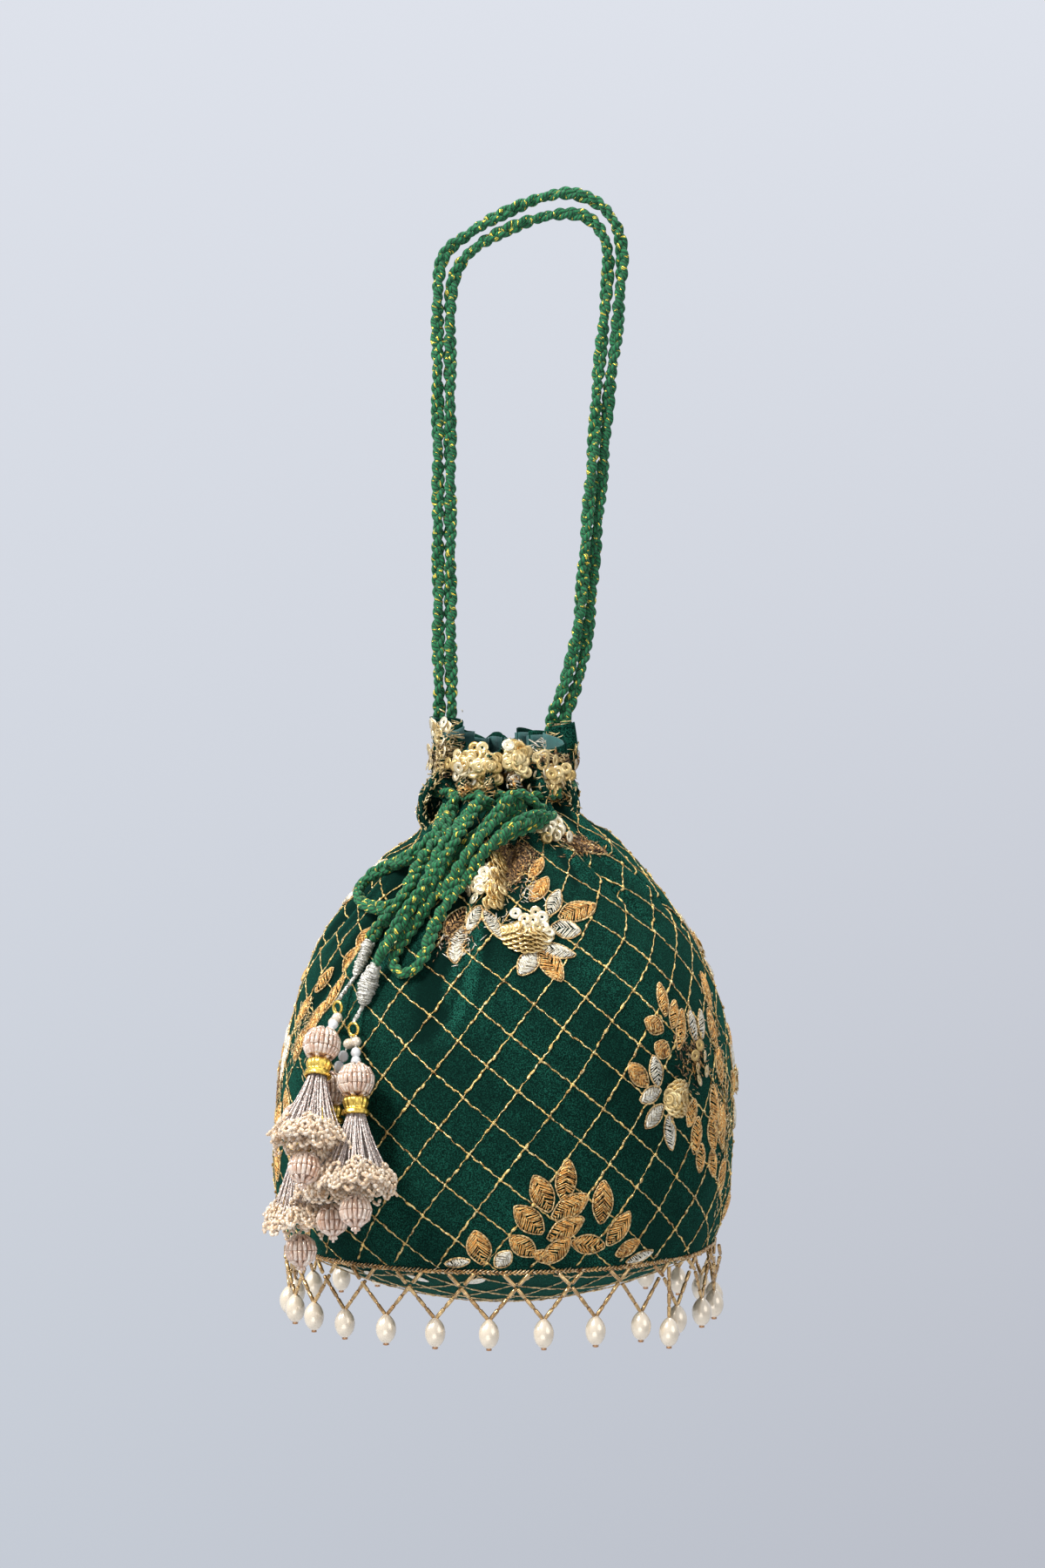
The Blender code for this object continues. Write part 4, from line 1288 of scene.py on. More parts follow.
class ClothMap:
    """The flat cloth's own measures: how far along it and down it a place of the pouch is.

    Along runs right from the front in millimetres, out of the whole of the cloth's width. Down
    runs from the neck, over the plain side. Above the widest part the front's cloth fans out.
    """

    def __init__(self, form: PouchForm) -> None:
        """Measures the cloth once.

        Args:
            form: The pouch's shape.
        """
        self.form = form
        self.width = math.tau * form.widest_radius / MM
        z = np.linspace(form.neck_z, form.rim_z, 1201)
        steps = np.hypot(np.diff(z), np.diff(form.side_radius(z)))
        self._z = z
        self._down = np.concatenate([[0], np.cumsum(steps)]) / MM
        self.depth = float(self._down[-1])

    def z(self, down: Array) -> Array:
        """The height at a distance down the cloth."""
        return np.interp(down, self._down, self._z)

    def down(self, below: Array) -> Array:
        """The distance down the cloth of a level below the neck, in millimetres."""
        return np.interp(np.asarray(below) * MM - self.form.neck_z, -self._z, self._down)

    def angle(self, along: Array, down: Array) -> Array:
        """The angle from the front of a place on the flat cloth, in radians."""
        turn = along * MM / self.form.widest_radius
        fan = 0.2 * np.clip((112 - down) / 36, 0, 1)
        return turn + fan * np.sin(turn)

    def laid(self, centres: Array, places: Array) -> Array:
        """Lays flat drawings on the pouch.

        Args:
            centres: Each drawing's middle: its angle in radians, its distance down the cloth in
                millimetres and its heading in degrees, where 0 is up and 90 to the right.
            places: The drawing's points ahead, to the left and off the cloth in millimetres, as
                (drawings, points, 3).

        Returns:
            The points, as (drawings, points, 3).
        """
        turn, down, heading = (centres[:, k, None] for k in range(3))
        heading = np.radians(heading)
        ahead, left, off = places[..., 0], places[..., 1], places[..., 2]
        right = ahead * np.sin(heading) - left * np.cos(heading)
        up = ahead * np.cos(heading) + left * np.sin(heading)
        z = self.z(np.clip(down - up, 0, self.depth))
        z = z - np.minimum(down - up, 0) * MM
        angle = turn + right * MM / np.maximum(self.form.side_radius(z), 0.02)
        point, _, _, out = self.form.faced(angle, z)
        return point + out * (off * MM)[..., None]


CLOTH = ClothMap(FORM)


def ring_uv(rows: Array, columns: int, width: float) -> Array:
    """UV for rings of points: how far round in U, up to width, and the rows' own measure in V."""
    across = np.linspace(0, width, columns + 1)
    return np.stack(np.broadcast_arrays(across[None, :], rows[:, None]), axis=-1)


@dataclass
class Pouch:
    """The velvet, its lining and its base: the three sheets of the pouch."""

    columns: int = 294
    rows: int = 92
    lining_gap: float = 0.0011
    lining: float = 0.0005
    hem_height: float = 0.0060
    seam_gap: float = 0.0005
    weave: float = 0.0004
    mouth_gap: float = 0.0003
    curl: float = 0.0012
    base_rings: int = 30
    base_ripple: float = 0.0005

    def side_angles(self) -> Array:
        """The columns' angles from the front, closer where the pleats crowd.

        Returns:
            The angles in radians.
        """
        phase = np.arange(self.columns) / self.columns * math.tau * FORM.pleats
        turn = phase / FORM.pleats
        for _ in range(12):
            turn = (phase + FORM.crowding * np.sin(2 * turn)) / FORM.pleats
        return turn + np.pi / 2

    def velvet(self) -> bpy.types.Object:
        """Makes the embroidered cloth: ruffle, drawn neck and full side in one sheet, with painted light
        and shade on its folds.

        Returns:
            The sheet.
        """
        angles = self.side_angles()
        rings = []
        for share in np.linspace(1.0, 0.42, 9):
            top = FORM.ruffle_top(angles) - FORM.neck_z
            curl = self.curl * share**6 * np.sin(FORM.pleats * angles + 0.6)
            rings.append(FORM.point(angles, FORM.neck_z + share * top) + curl[:, None] * [0, 0, 1])
        for z in np.linspace(FORM.neck_z + FORM.flare_height * 0.9, FORM.neck_z, 7)[:-1]:
            rings.append(FORM.point(angles, np.full_like(angles, z)))
        for down in np.linspace(0, CLOTH.depth, self.rows):
            rings.append(FORM.point(angles, np.full_like(angles, CLOTH.z(down))))
        rows = np.array(rings)
        across = ring_uv(np.arange(len(rows)) * 0.002, self.columns, 0.576)
        cloth = tube_sheet(rows, across, "pouch_velvet", (False, False))
        # Painted light and shade on the folds: lighter where a fold's side faces the key lamp on the left,
        # darker down the valleys.
        z = rows[..., 2]
        step = 0.015
        rise = FORM.folds(angles + step, z) - FORM.folds(angles - step, z)
        slope = rise / (2 * step * FORM.side_radius(z))
        lit = np.clip(4.6 * slope + 120 * FORM.folds(angles, z), -0.92, 1.5)
        painted_fold_shading = cloth.data.attributes.new("painted_fold_shading", "FLOAT", "POINT")
        painted_fold_shading.data.foreach_set("value", lit.ravel().astype(np.float32))
        return self.finished(cloth, FORM.fabric)

    def finished(self, sheet: bpy.types.Object, thickness: float) -> bpy.types.Object:
        """Turns a sheet's faces outwards and gives it its thickness, inwards.

        Args:
            sheet: The sheet as one layer.
            thickness: Its thickness.

        Returns:
            The sheet.
        """
        middle = np.array([FORM.axis_x, 0, (FORM.neck_z + FORM.rim_z) / 2])
        face = max(sheet.data.polygons, key=lambda each: abs(each.center.y))
        if face.normal.dot(face.center - Vector(middle)) < 0:
            sheet.data.flip_normals()
        return BENCH.apply(sheet, "SOLIDIFY", thickness=thickness, offset=-1.0)

    def inner(self) -> bpy.types.Object:
        """Makes the lining, from the ruffle's edge down to the base.

        Returns:
            The sheet.
        """
        angles = self.side_angles()[::2]
        inset = FORM.fabric + self.lining_gap
        rings = []

        def inside(z: Array) -> Array:
            """The lining's place at a height above the neck."""
            point, _, _, out = FORM.faced(angles, z)
            return point - out * (FORM.fabric + self.mouth_gap)

        for share in np.linspace(0.97, 0.5, 6):
            z = FORM.neck_z + share * (FORM.ruffle_top(angles) - FORM.neck_z)
            rings.append(inside(z))
        for z in np.linspace(FORM.neck_z + 0.006, FORM.neck_z + 0.001, 3):
            rings.append(inside(np.full_like(angles, z)))
        for down in np.linspace(2, CLOTH.depth - 7.5, 34):
            z = np.full_like(angles, CLOTH.z(down))
            plain = FORM.side_radius(z) - FORM.pleat_depth(z) - inset
            plain = plain + np.minimum(FORM.folds(angles, z), 0)
            folded = FORM.radius(angles, z) - inset
            share = float(np.clip(down / 40, 0, 1))
            radius = folded * (1 - share) + np.minimum(plain, folded) * share
            x = FORM.axis_x + FORM.shift(z) + radius * np.sin(angles)
            rings.append(np.stack([x, -radius * np.cos(angles), z], axis=-1))
        base = FORM.rim_radius - FORM.fabric - self.seam_gap
        for z in np.linspace(FORM.rim_z + self.hem_height, FORM.rim_z + self.lining_gap, 3):
            rings.append(self.circle(angles, base - inset, z))
        for share in (0.97, 0.9, 0.8, 0.65, 0.5, 0.35, 0.2, 0.08, 0.012):
            height = float(FORM.base_z(np.asarray(share))) + inset + self.lining
            rings.append(self.circle(angles, base * share, height))
        rows = np.array(rings)
        across = ring_uv(np.arange(len(rows)) * 0.005 / self.weave, len(angles), 0.576 / self.weave)
        sheet = tube_sheet(rows, across, "pouch_lining", (False, True))
        return self.finished(sheet, self.lining)

    def circle(self, angles: Array, radius: float, z: float) -> Array:
        """A level ring about the bag's axis."""
        x = FORM.axis_x + radius * np.sin(angles)
        return np.stack([x, -radius * np.cos(angles), np.full_like(x, z)], axis=-1)

    def base(self) -> bpy.types.Object:
        """Makes the base: a shallow dome with its hem standing inside the side's edge.

        Returns:
            The sheet.
        """
        angles = circle(160)
        radius = FORM.rim_radius - FORM.fabric - self.seam_gap
        rings = [self.circle(angles, radius, FORM.rim_z + self.hem_height * s) for s in (1.0, 0.5, 0.12)]
        for share in np.linspace(0.995, 0.008, self.base_rings):
            ripple = self.base_ripple * np.sin(7 * angles + 1) * math.sin(math.pi * share) * share
            ring = self.circle(angles, radius * share, float(FORM.base_z(np.asarray(share))))
            ring[:, 2] += ripple
            rings.append(ring)
        rows = np.array(rings)
        across = ring_uv(np.arange(len(rows)) * 0.003, len(angles), 0.52)
        return self.finished(tube_sheet(rows, across, "pouch_base", (False, True)), FORM.fabric)

    def build(self) -> None:
        velvet = painted(self.velvet(), VELVET, "bag", ["side_panel"])
        lining = painted(self.inner(), TEAL, "bag", ["lining"])
        base = painted(self.base(), VELVET, "bag", ["base_panel"])


# The handle's strands: millimetres to the right, up and away
OUTER_HANDLE = (
    (-50.6, -216.5, 0), (-50.6, -207, 0), (-50.9, -196, 0), (-51.3, -170, 0), (-51.4, -135, 0),
    (-51.5, -100, 0), (-51.6, -65, 0), (-51.7, -36, 0), (-51.2, -22.5, 0), (-49.6, -15.5, 0),
    (-46.2, -10.8, 0), (-40.5, -6.6, 0), (-32.5, -1.2, 0), (-19.5, 5.4, 0), (-9.5, 9.2, 0),
    (0.4, 10.9, 0), (9.1, 8.8, 0), (15.9, 4.1, 0), (20.6, -3.4, 0), (22.4, -12.1, 0), (22.4, -21.5, 0),
    (21.4, -32, 0), (20.6, -43, 0), (19.2, -54, 0), (17.6, -66, 0.4), (16.4, -80, 1.2), (15, -97, 1.6),
    (12.9, -118, 1.8), (11, -141, 1.8), (8.9, -164, 1.6), (5.3, -183, 1.2), (1.9, -193, 0.8),
    (-0.7, -201, 0.2), (-0.9, -216.5, 0),
)
INNER_HANDLE = (
    (-45.6, -216.5, 0), (-45.6, -207, 0), (-45.9, -196, 0), (-46.4, -170, 0), (-46.5, -135, 0),
    (-46.6, -100, 0), (-46.6, -65, 0), (-46.6, -38, 0), (-45.9, -27, 0), (-43.5, -19.5, 0),
    (-38.8, -13.3, 0), (-31.8, -8, 0), (-21.5, -2.8, 0), (-12.9, 0.4, 0), (-2.8, 2.5, 0), (6, 2.1, 0),
    (11.6, -1.4, 0), (15.2, -7, 0), (16.9, -14.7, 0), (16.6, -24.1, 0), (15.9, -33.2, 0),
    (15.1, -42, 0), (13.8, -54, 0), (12.5, -66, -0.4), (11.7, -80, -1.2), (10.6, -97, -1.6),
    (8.7, -118, -1.8), (6.9, -141, -1.8), (4.7, -164, -1.6), (0.4, -183, -1.2), (-3.4, -193, -0.8),
    (-5.8, -201, -0.2), (-6, -216.5, 0),
)
# The drawstring: degrees from the front, millimetres below the neck and the layer of cord it lies in
SHORT_TAIL = (
    (-40.5, 6.3, 1), (-38.5, 11.8, 1), (-33.5, 20.5, 1.5), (-32.5, 29.4, 2), (-34, 37.3, 2),
    (-34.5, 44.3, 2), (-37, 51, 1.8), (-43, 56.3, 1), (-43.7, 60.8, 1),
)
LONG_TAIL = (
    (-16.5, 7, 1), (-20.5, 10.7, 1), (-25.5, 17.1, 1.4), (-27, 27.7, 2), (-28, 37.3, 2), (-29, 44.2, 2),
    (-31, 51.3, 2), (-33, 59.2, 2), (-34.5, 65.6, 2), (-35.9, 70.2, 1.8),
)
SMALL_LOOP = (
    (-37, 28.5, 1), (-41.5, 29.9, 1), (-50, 31.3, 1), (-64, 36, 1), (-67.5, 41.5, 1), (-59, 46.5, 1),
    (-49, 48.5, 1), (-41.5, 47.9, 1), (-36.5, 44.9, 1), (-35.5, 39.6, 1),
)
LONG_LOOP = (
    (11.4, 9.3, 1.6), (7.3, 12, 1.8), (2.5, 14.6, 1.7), (-5, 16.4, 1.4), (-16, 19.8, 1),
    (-22.5, 27.8, 1), (-24.5, 34.9, 1), (-25.5, 42, 1), (-28, 49.8, 1), (-31, 57.5, 1), (-33, 64, 1),
    (-32.5, 69, 1), (-29, 72, 1), (-25.5, 70, 1), (-23.5, 64.3, 1), (-23, 56.6, 1), (-21.5, 49, 1),
    (-18.5, 41.3, 1), (-16, 34.8, 1), (-10.5, 27.4, 1), (2.5, 20.1, 1), (14.5, 16.7, 1),
    (25, 13.6, 0.8), (33.5, 11.2, 0.2),
)
KNOT = {
    "over": (
        (-10.7, 10.6, 1.3), (-14.6, 11.7, 2.2), (-17, 16.1, 2.5), (-19.3, 20.7, 2.4),
        (-21.5, 25.5, 2.3), (-23.1, 30.7, 2.1), (-25.2, 35.8, 1.9), (-27.4, 40.6, 1.7),
        (-29.9, 45.9, 1.4), (-33, 51, 1),
    ),
    "turn": (
        (23, 11.3, 1), (14.9, 11, 1.9), (7.8, 10.7, 2.6), (1.4, 12.4, 2.8), (-2.7, 16.1, 2.7),
        (-6.9, 20.3, 2.6), (-11.2, 24.8, 2.4), (-14.7, 29.3, 2.1), (-17.5, 34.2, 1.8), (-19.8, 39, 1.5),
        (-22.5, 44.7, 1.1),
    ),
    "behind": (
        (24.8, 13.7, 0.9), (15.3, 15.3, 1.5), (7.1, 18.7, 2), (0.3, 21.9, 2.1), (-5.5, 25.8, 2),
        (-10, 30.3, 1.8), (-13.2, 34.6, 1.4), (-15.7, 38.5, 1),
    ),
    "left": (
        (-43.2, 10.3, 0.9), (-37.2, 16.4, 1.5), (-34.6, 22.7, 1.9), (-35.9, 26.9, 1.9),
        (-39.9, 29.6, 1.7), (-46, 31.1, 1.4), (-54.3, 32, 1),
    ),
}


class Lay(Enum):
    """How a cord of the bag lies."""

    HANGING = "hanging"
    COILED = "coiled"


@dataclass
class Drawcord:
    """The soft plaited cords: the handle's strands, the neck's turn, the tails, loops and knot."""

    diameter: float = 0.0046
    plait_run: float = 0.0160
    wide: float = 0.00165
    deep: float = 0.00085
    strand: float = 0.00124
    sides: int = 10
    step: float = 0.00055
    twist_run: float = 0.0620
    cloth_gap: float = 0.0006
    layer_step: float = 0.0049
    turn_gap: float = 0.0018
    front_sag: float = 0.0042

    def over_cloth(self, points: Sequence[tuple[float, float, float]]) -> Array:
        """The route of a cord that lies on the pouch, each point in its layer of cord."""
        off = self.diameter / 2 + self.cloth_gap
        offs = [off + (layer - 1) * self.layer_step for _, _, layer in points]
        return np.array([FORM.on_plain(a, b, lift) for (a, b, _), lift in zip(points, offs)])

    def neck_turn(self) -> Array:
        """The route of the closed turn round the neck, from the back.

        Returns:
            The route's points.
        """
        radius = FORM.neck_radius + self.diameter / 2 + self.turn_gap
        route = []
        for angle in range(0, 370, 10):
            sag = max(0.0, -math.cos(math.radians(angle))) * self.front_sag
            route.append(FORM.around(180 + angle, radius, FORM.neck_z - sag))
        return np.array(route)

    def plait(self, name: str, route: Array, start: float, closed: bool = False) -> bpy.types.Object:
        """Makes the three strands of one cord.

        Args:
            name: The piece's name.
            route: The cord's centre line at even spacing.
            start: Where in the plait's round it starts, from 0 to 1.
            closed: Whether its ends meet.

        Returns:
            The cord, in one mesh.
        """
        length = np.linspace(0, 1, len(route)) * distances(route)[-1]
        runs, twists = length[-1] / self.plait_run, length[-1] / self.twist_run
        if closed:
            runs, twists = round(runs), round(twists)
        share = length / length[-1]
        run, side, up = carried_frames(route, (0, -1, 0.2), closed)
        spin = math.tau * (share * twists + start)
        across = side * np.cos(spin)[:, None] + up * np.sin(spin)[:, None]
        through = np.cross(run, across)
        strands = []
        for k in range(3):
            phase = math.tau * (share * runs + k / 3 + start)
            weave = across * (self.wide * np.sin(phase))[:, None]
            centre = route + weave + through * (self.deep * np.sin(2 * phase))[:, None]
            _, first, second = carried_frames(centre, across[0], closed)
            uneven = 0.07 * np.sin(2 * phase + 0.8) + 0.04 * np.sin(share * runs * 2.3 + k)
            swell = self.strand * (1 + uneven)
            rings = centre[:, None] + spokes(first, second, circle(self.sides)) * swell[:, None, None]
            uv = ring_uv(length / MM + 5.3 * k, self.sides, 1)
            strands.append(tube_sheet(rings, uv, f"{name}_{k}", (not closed, not closed)))
        cord = BENCH.join(strands)
        cord.name = name
        return cord

    def build(self) -> None:
        routes = {
            "handle_strand_outer": (np.array(OUTER_HANDLE)[:, [0, 2, 1]] * MM, Lay.HANGING),
            "handle_strand_inner": (np.array(INNER_HANDLE)[:, [0, 2, 1]] * MM, Lay.HANGING),
            "drawstring_neck_turn": (self.neck_turn(), Lay.COILED),
            "drawstring_tail_short": (self.over_cloth(SHORT_TAIL), Lay.HANGING),
            "drawstring_tail_long": (self.over_cloth(LONG_TAIL), Lay.HANGING),
            "drawstring_loop_small": (self.over_cloth(SMALL_LOOP), Lay.HANGING),
            "drawstring_loop_long": (self.over_cloth(LONG_LOOP), Lay.HANGING),
        }
        for name, points in KNOT.items():
            routes[f"drawstring_knot_{name}"] = (self.over_cloth(points), Lay.COILED)
        for i, (node, (points, lay)) in enumerate(routes.items()):
            route = smooth_route(points, self.step)
            name = node.replace("strand", "cord").replace("drawstring", "cord")
            cord = self.plait(name, route, 0.17 * i)
            painted(cord, COTTON, "bag", [] if "knot" in node else [node])


@dataclass
class RimTrim:
    """The line of lace over the base seam, with the fringe's upper bugles hanging from it."""

    drops: int = 26
    first_angle: float = -3.0
    band_below: float = 0.0010
    fringe_radius: float = 0.08605
    crossing_drop: float = 0.0056
    crossing_offset: float = 0.00125
    strand_drop: float = 0.0123
    bugle: float = 0.0016
    clear: float = 0.0003
    stub_spread: float = 0.0049
    stitch: float = 0.0024
    stitches: int = 330
    lace_off: float = 0.0006
    lace_width: float = 0.00085
    lace_height: float = 0.0009
    # Each row of lace: how far above the rim it lies, its slant and its share of the width
    lace_rows: tuple[tuple[float, float, float], ...] = ((0.0006, 0.6, 0.65), (-0.0003, -0.5, 0.8))

    def drop_frame(self, angle: float) -> tuple[Array, Array]:
        """A drop's origin and its axes: along the rim to the right, inwards and up, as columns."""
        radius = self.fringe_radius * math.cos(math.pi / self.drops)
        return FORM.around(angle, radius, FORM.rim_z - self.crossing_drop), self.axes(angle)

    def axes(self, angle: float) -> Array:
        """The directions along the rim to the right, inwards and up at an angle, as columns."""
        cos, sin = math.cos(math.radians(angle)), math.sin(math.radians(angle))
        return np.array([[cos, -sin, 0], [sin, cos, 0], [0, 0, 1]])

    def strand_end(self, side: int) -> Array:
        """Where a drop's strand crosses its neighbour's, in the drop's own frame."""
        half = math.pi / self.drops
        return np.array([side * self.fringe_radius * math.sin(half), side * self.crossing_offset, 0])

    def stub(self, crossing: float, side: int) -> tuple[Array, Array]:
        """Both ends of an upper bugle, which goes on from the drop on its other side.

        Args:
            crossing: Where it crosses its neighbour, in degrees from the front.
            side: -1 or 1.

        Returns:
            The low end and the high end.
        """
        low_end = self.strand_end(side)
        run = unit(low_end - np.array([0, 0, -self.strand_drop]))
        origin, axes = self.drop_frame(crossing - side * 180 / self.drops)
        start = origin + axes @ (low_end + run * (self.bugle / 2 + self.clear))
        turn = crossing + side * math.degrees(self.stub_spread / self.fringe_radius)
        radius = self.fringe_radius - side * self.crossing_offset * 0.7
        return start, FORM.around(turn, radius, FORM.rim_z - self.band_below * 0.4)

    def build(self) -> None:
        """Makes the lace's two rows of thread and the bugles."""
        ends = [
            self.stub(self.first_angle + (i + 0.5) * 360 / self.drops, side)
            for i in range(self.drops) for side in (-1, 1)
        ]
        starts, tops = (np.array(points) for points in zip(*ends))
        run, middles = tops - starts, (starts + tops) / 2
        sizes = widened(np.linalg.norm(run, axis=1), self.bugle, self.bugle)
        tones = BENCH.chance.random(len(run))
        placed = stands(middles, run, middles - [FORM.axis_x, 0, FORM.rim_z], sizes)
        painted(PATTERNS.get("bugle").copied("rim_bugles", placed, tones), BRONZE, "bag", ["rim_trim"])
        angles = circle(self.stitches)
        rows = []
        for above, slant, share in self.lace_rows:
            point, right, _, out = FORM.faced(angles, np.full_like(angles, FORM.rim_z + above))
            wander = 1 + 0.3 * BENCH.chance.standard_normal((len(angles), 1))
            lengths = self.stitch * (1 + 0.2 * BENCH.chance.standard_normal(len(angles)))
            sizes = widened(lengths, self.lace_width * share, self.lace_height)
            along = right + np.array([0, 0, slant]) * wander
            rows.append(stands(point + out * self.lace_off, along, out, sizes))
        tones = BENCH.chance.random(2 * len(angles))
        lace = PATTERNS.get("stitch").copied("rim_lace", np.concatenate(rows), tones)
        painted(lace, LACE, "bag", ["rim_trim"])


@dataclass
class Fringe:
    """The pearls: twenty-six on crossing V's of bugles, and one lone one on a single strand."""

    trim: RimTrim
    pearl_diameter: float = 0.0078
    pearl_length: float = 0.0114
    pearl_seat: float = 0.0008
    lone_index: float = 3.5
    lone_strand: float = 0.0200
    lone_standoff: float = 0.0039
    stopper: float = 0.0023
    stopper_length: float = 0.0017
    stopper_seat: float = 0.0002
    tube_pitch: float = 0.0053

    def strand(self, name: str, legs: Sequence[tuple[Array, Array]]) -> bpy.types.Object:
        """Makes a drop's strings of cut tubes and small beads.

        Args:
            name: The piece's name.
            legs: Each string's lower and upper end, in the drop's own frame.

        Returns:
            The tubes and beads in one mesh.
        """
        tubes, beads = [], []
        for lower, upper in legs:
            length = float(np.linalg.norm(upper - lower))
            count = max(2, round(length / self.tube_pitch))
            part = length / count
            direction = (upper - lower) / length
            for i in range(count):
                tubes.append((lower + direction * part * (i + 0.56), direction, part * 0.84))
                beads.append(lower + direction * part * (i + 0.07))
        origins, along, lengths = (np.array(values) for values in zip(*tubes))
        bugle, up = self.trim.bugle, (0.0, -1.0, 0.1)
        placed = stands(origins, along, up, widened(lengths, bugle, bugle))
        string = PATTERNS.get("bugle").copied(name, placed, BENCH.chance.random(len(lengths)))
        placed = stands(np.array(beads), (1, 0, 0), up, (bugle * 0.8,) * 3)
        small = PATTERNS.get("bead").copied(name + "_beads", placed, np.zeros(len(beads)))
        return BENCH.join([string, small])

    def pearl(self, name: str, low: Array) -> tuple[bpy.types.Object, bpy.types.Object]:
        """Makes a drop pearl with the square copper bead that stops it.

        Args:
            name: The pearl's name.
            low: The foot of the drop's bugles.

        Returns:
            The pearl and its stopper.
        """
        sideways, upward = (1, 0, 0), (0, 0, 1)
        centre = low - np.array([0, 0, self.pearl_length / 2 - self.pearl_seat])
        sizes = (self.pearl_diameter, self.pearl_diameter, self.pearl_length)
        placed = stands(centre, sideways, upward, sizes)
        pearl = PATTERNS.get("pearl").copied(name, placed, np.zeros(1))
        foot = centre - np.array([0, 0, self.pearl_length / 2 - self.stopper_seat])
        placed = stands(foot, upward, sideways, (self.stopper_length, self.stopper, self.stopper))
        return pearl, PATTERNS.get("bugle").copied(name + "_stopper", placed, np.array([0.3]))

    def build(self) -> None:
        """Makes every drop on its own body."""
        trim = self.trim
        low = np.array([0, 0, -trim.strand_drop])
        for i in range(trim.drops):
            node = f"fringe_drop_{i + 1:02d}"
            legs = [(low, trim.strand_end(-1)), (low, trim.strand_end(1))]
            self.drop(node, legs, low, *trim.drop_frame(trim.first_angle + i * 360 / trim.drops))
        angle = trim.first_angle + self.lone_index * 360 / trim.drops
        origin = FORM.around(angle, trim.fringe_radius + self.lone_standoff, FORM.rim_z - trim.band_below)
        low = np.array([0, 0, -self.lone_strand])
        self.drop("fringe_drop_lone", [(low, np.zeros(3))], low, origin, trim.axes(angle))

    def drop(
        self, node: str, legs: Sequence[tuple[Array, Array]], low: Array, origin: Array, axes: Array
    ) -> None:
        """Makes one drop's strings, pearl and stopper.

        Args:
            node: The CAD node and body that it stands for and moves with.
            legs: Its strings' ends.
            low: Where its pearl hangs.
            origin: The drop's place.
            axes: The drop's directions.
        """
        name = node.removeprefix("fringe_")
        string = self.strand(f"{name}_bugles", legs)
        pearl, stop = self.pearl(f"{name}_pearl", low)
        place = np.eye(4)
        place[:3, :3], place[:3, 3] = axes, origin
        for piece, finish in ((string, BRONZE), (pearl, PEARL), (stop, STOPPER)):
            piece.data.transform(Matrix(place))
            painted(piece, finish, node, [node])


WRAPS = {
    "short": (
        (-44.2, 66.3, 2.6, 2.1), (-45.0, 71.4, 2.3, 1.8), (-45.5, 73.2, 1.6, 0.5), (-46.5, 77.5, 2.4, 0.5),
    ),
    "long": (
        (-38.0, 75.5, 4.4, 3.7), (-38.5, 80.0, 4.0, 3.4), (-39.0, 82.6, 2.9, 2.2),
        (-39.4, 84.0, 2.2, 0.5), (-39.2, 86.0, 3.2, 0.5),
    ),
}
RINGS = {"short": (-46.0, 84.5, 5.5), "long": (-39.0, 92.0, 5.5)}
TASSELS = {
    "front_left": ("short", (-40.4, 97.0, 19.0), (-35.5, 142.0, 34.0)),
    "back_left": ("short", (-50.5, 127.5, 9.5), (-47.0, 176.0, 17.5)),
    "front_right": ("long", (-32.4, 110.0, 14.0), (-27.6, 158.0, 24.5)),
    "back_right": ("long", (-41.7, 114.5, 9.2), (-37.5, 163.0, 13.7)),
}


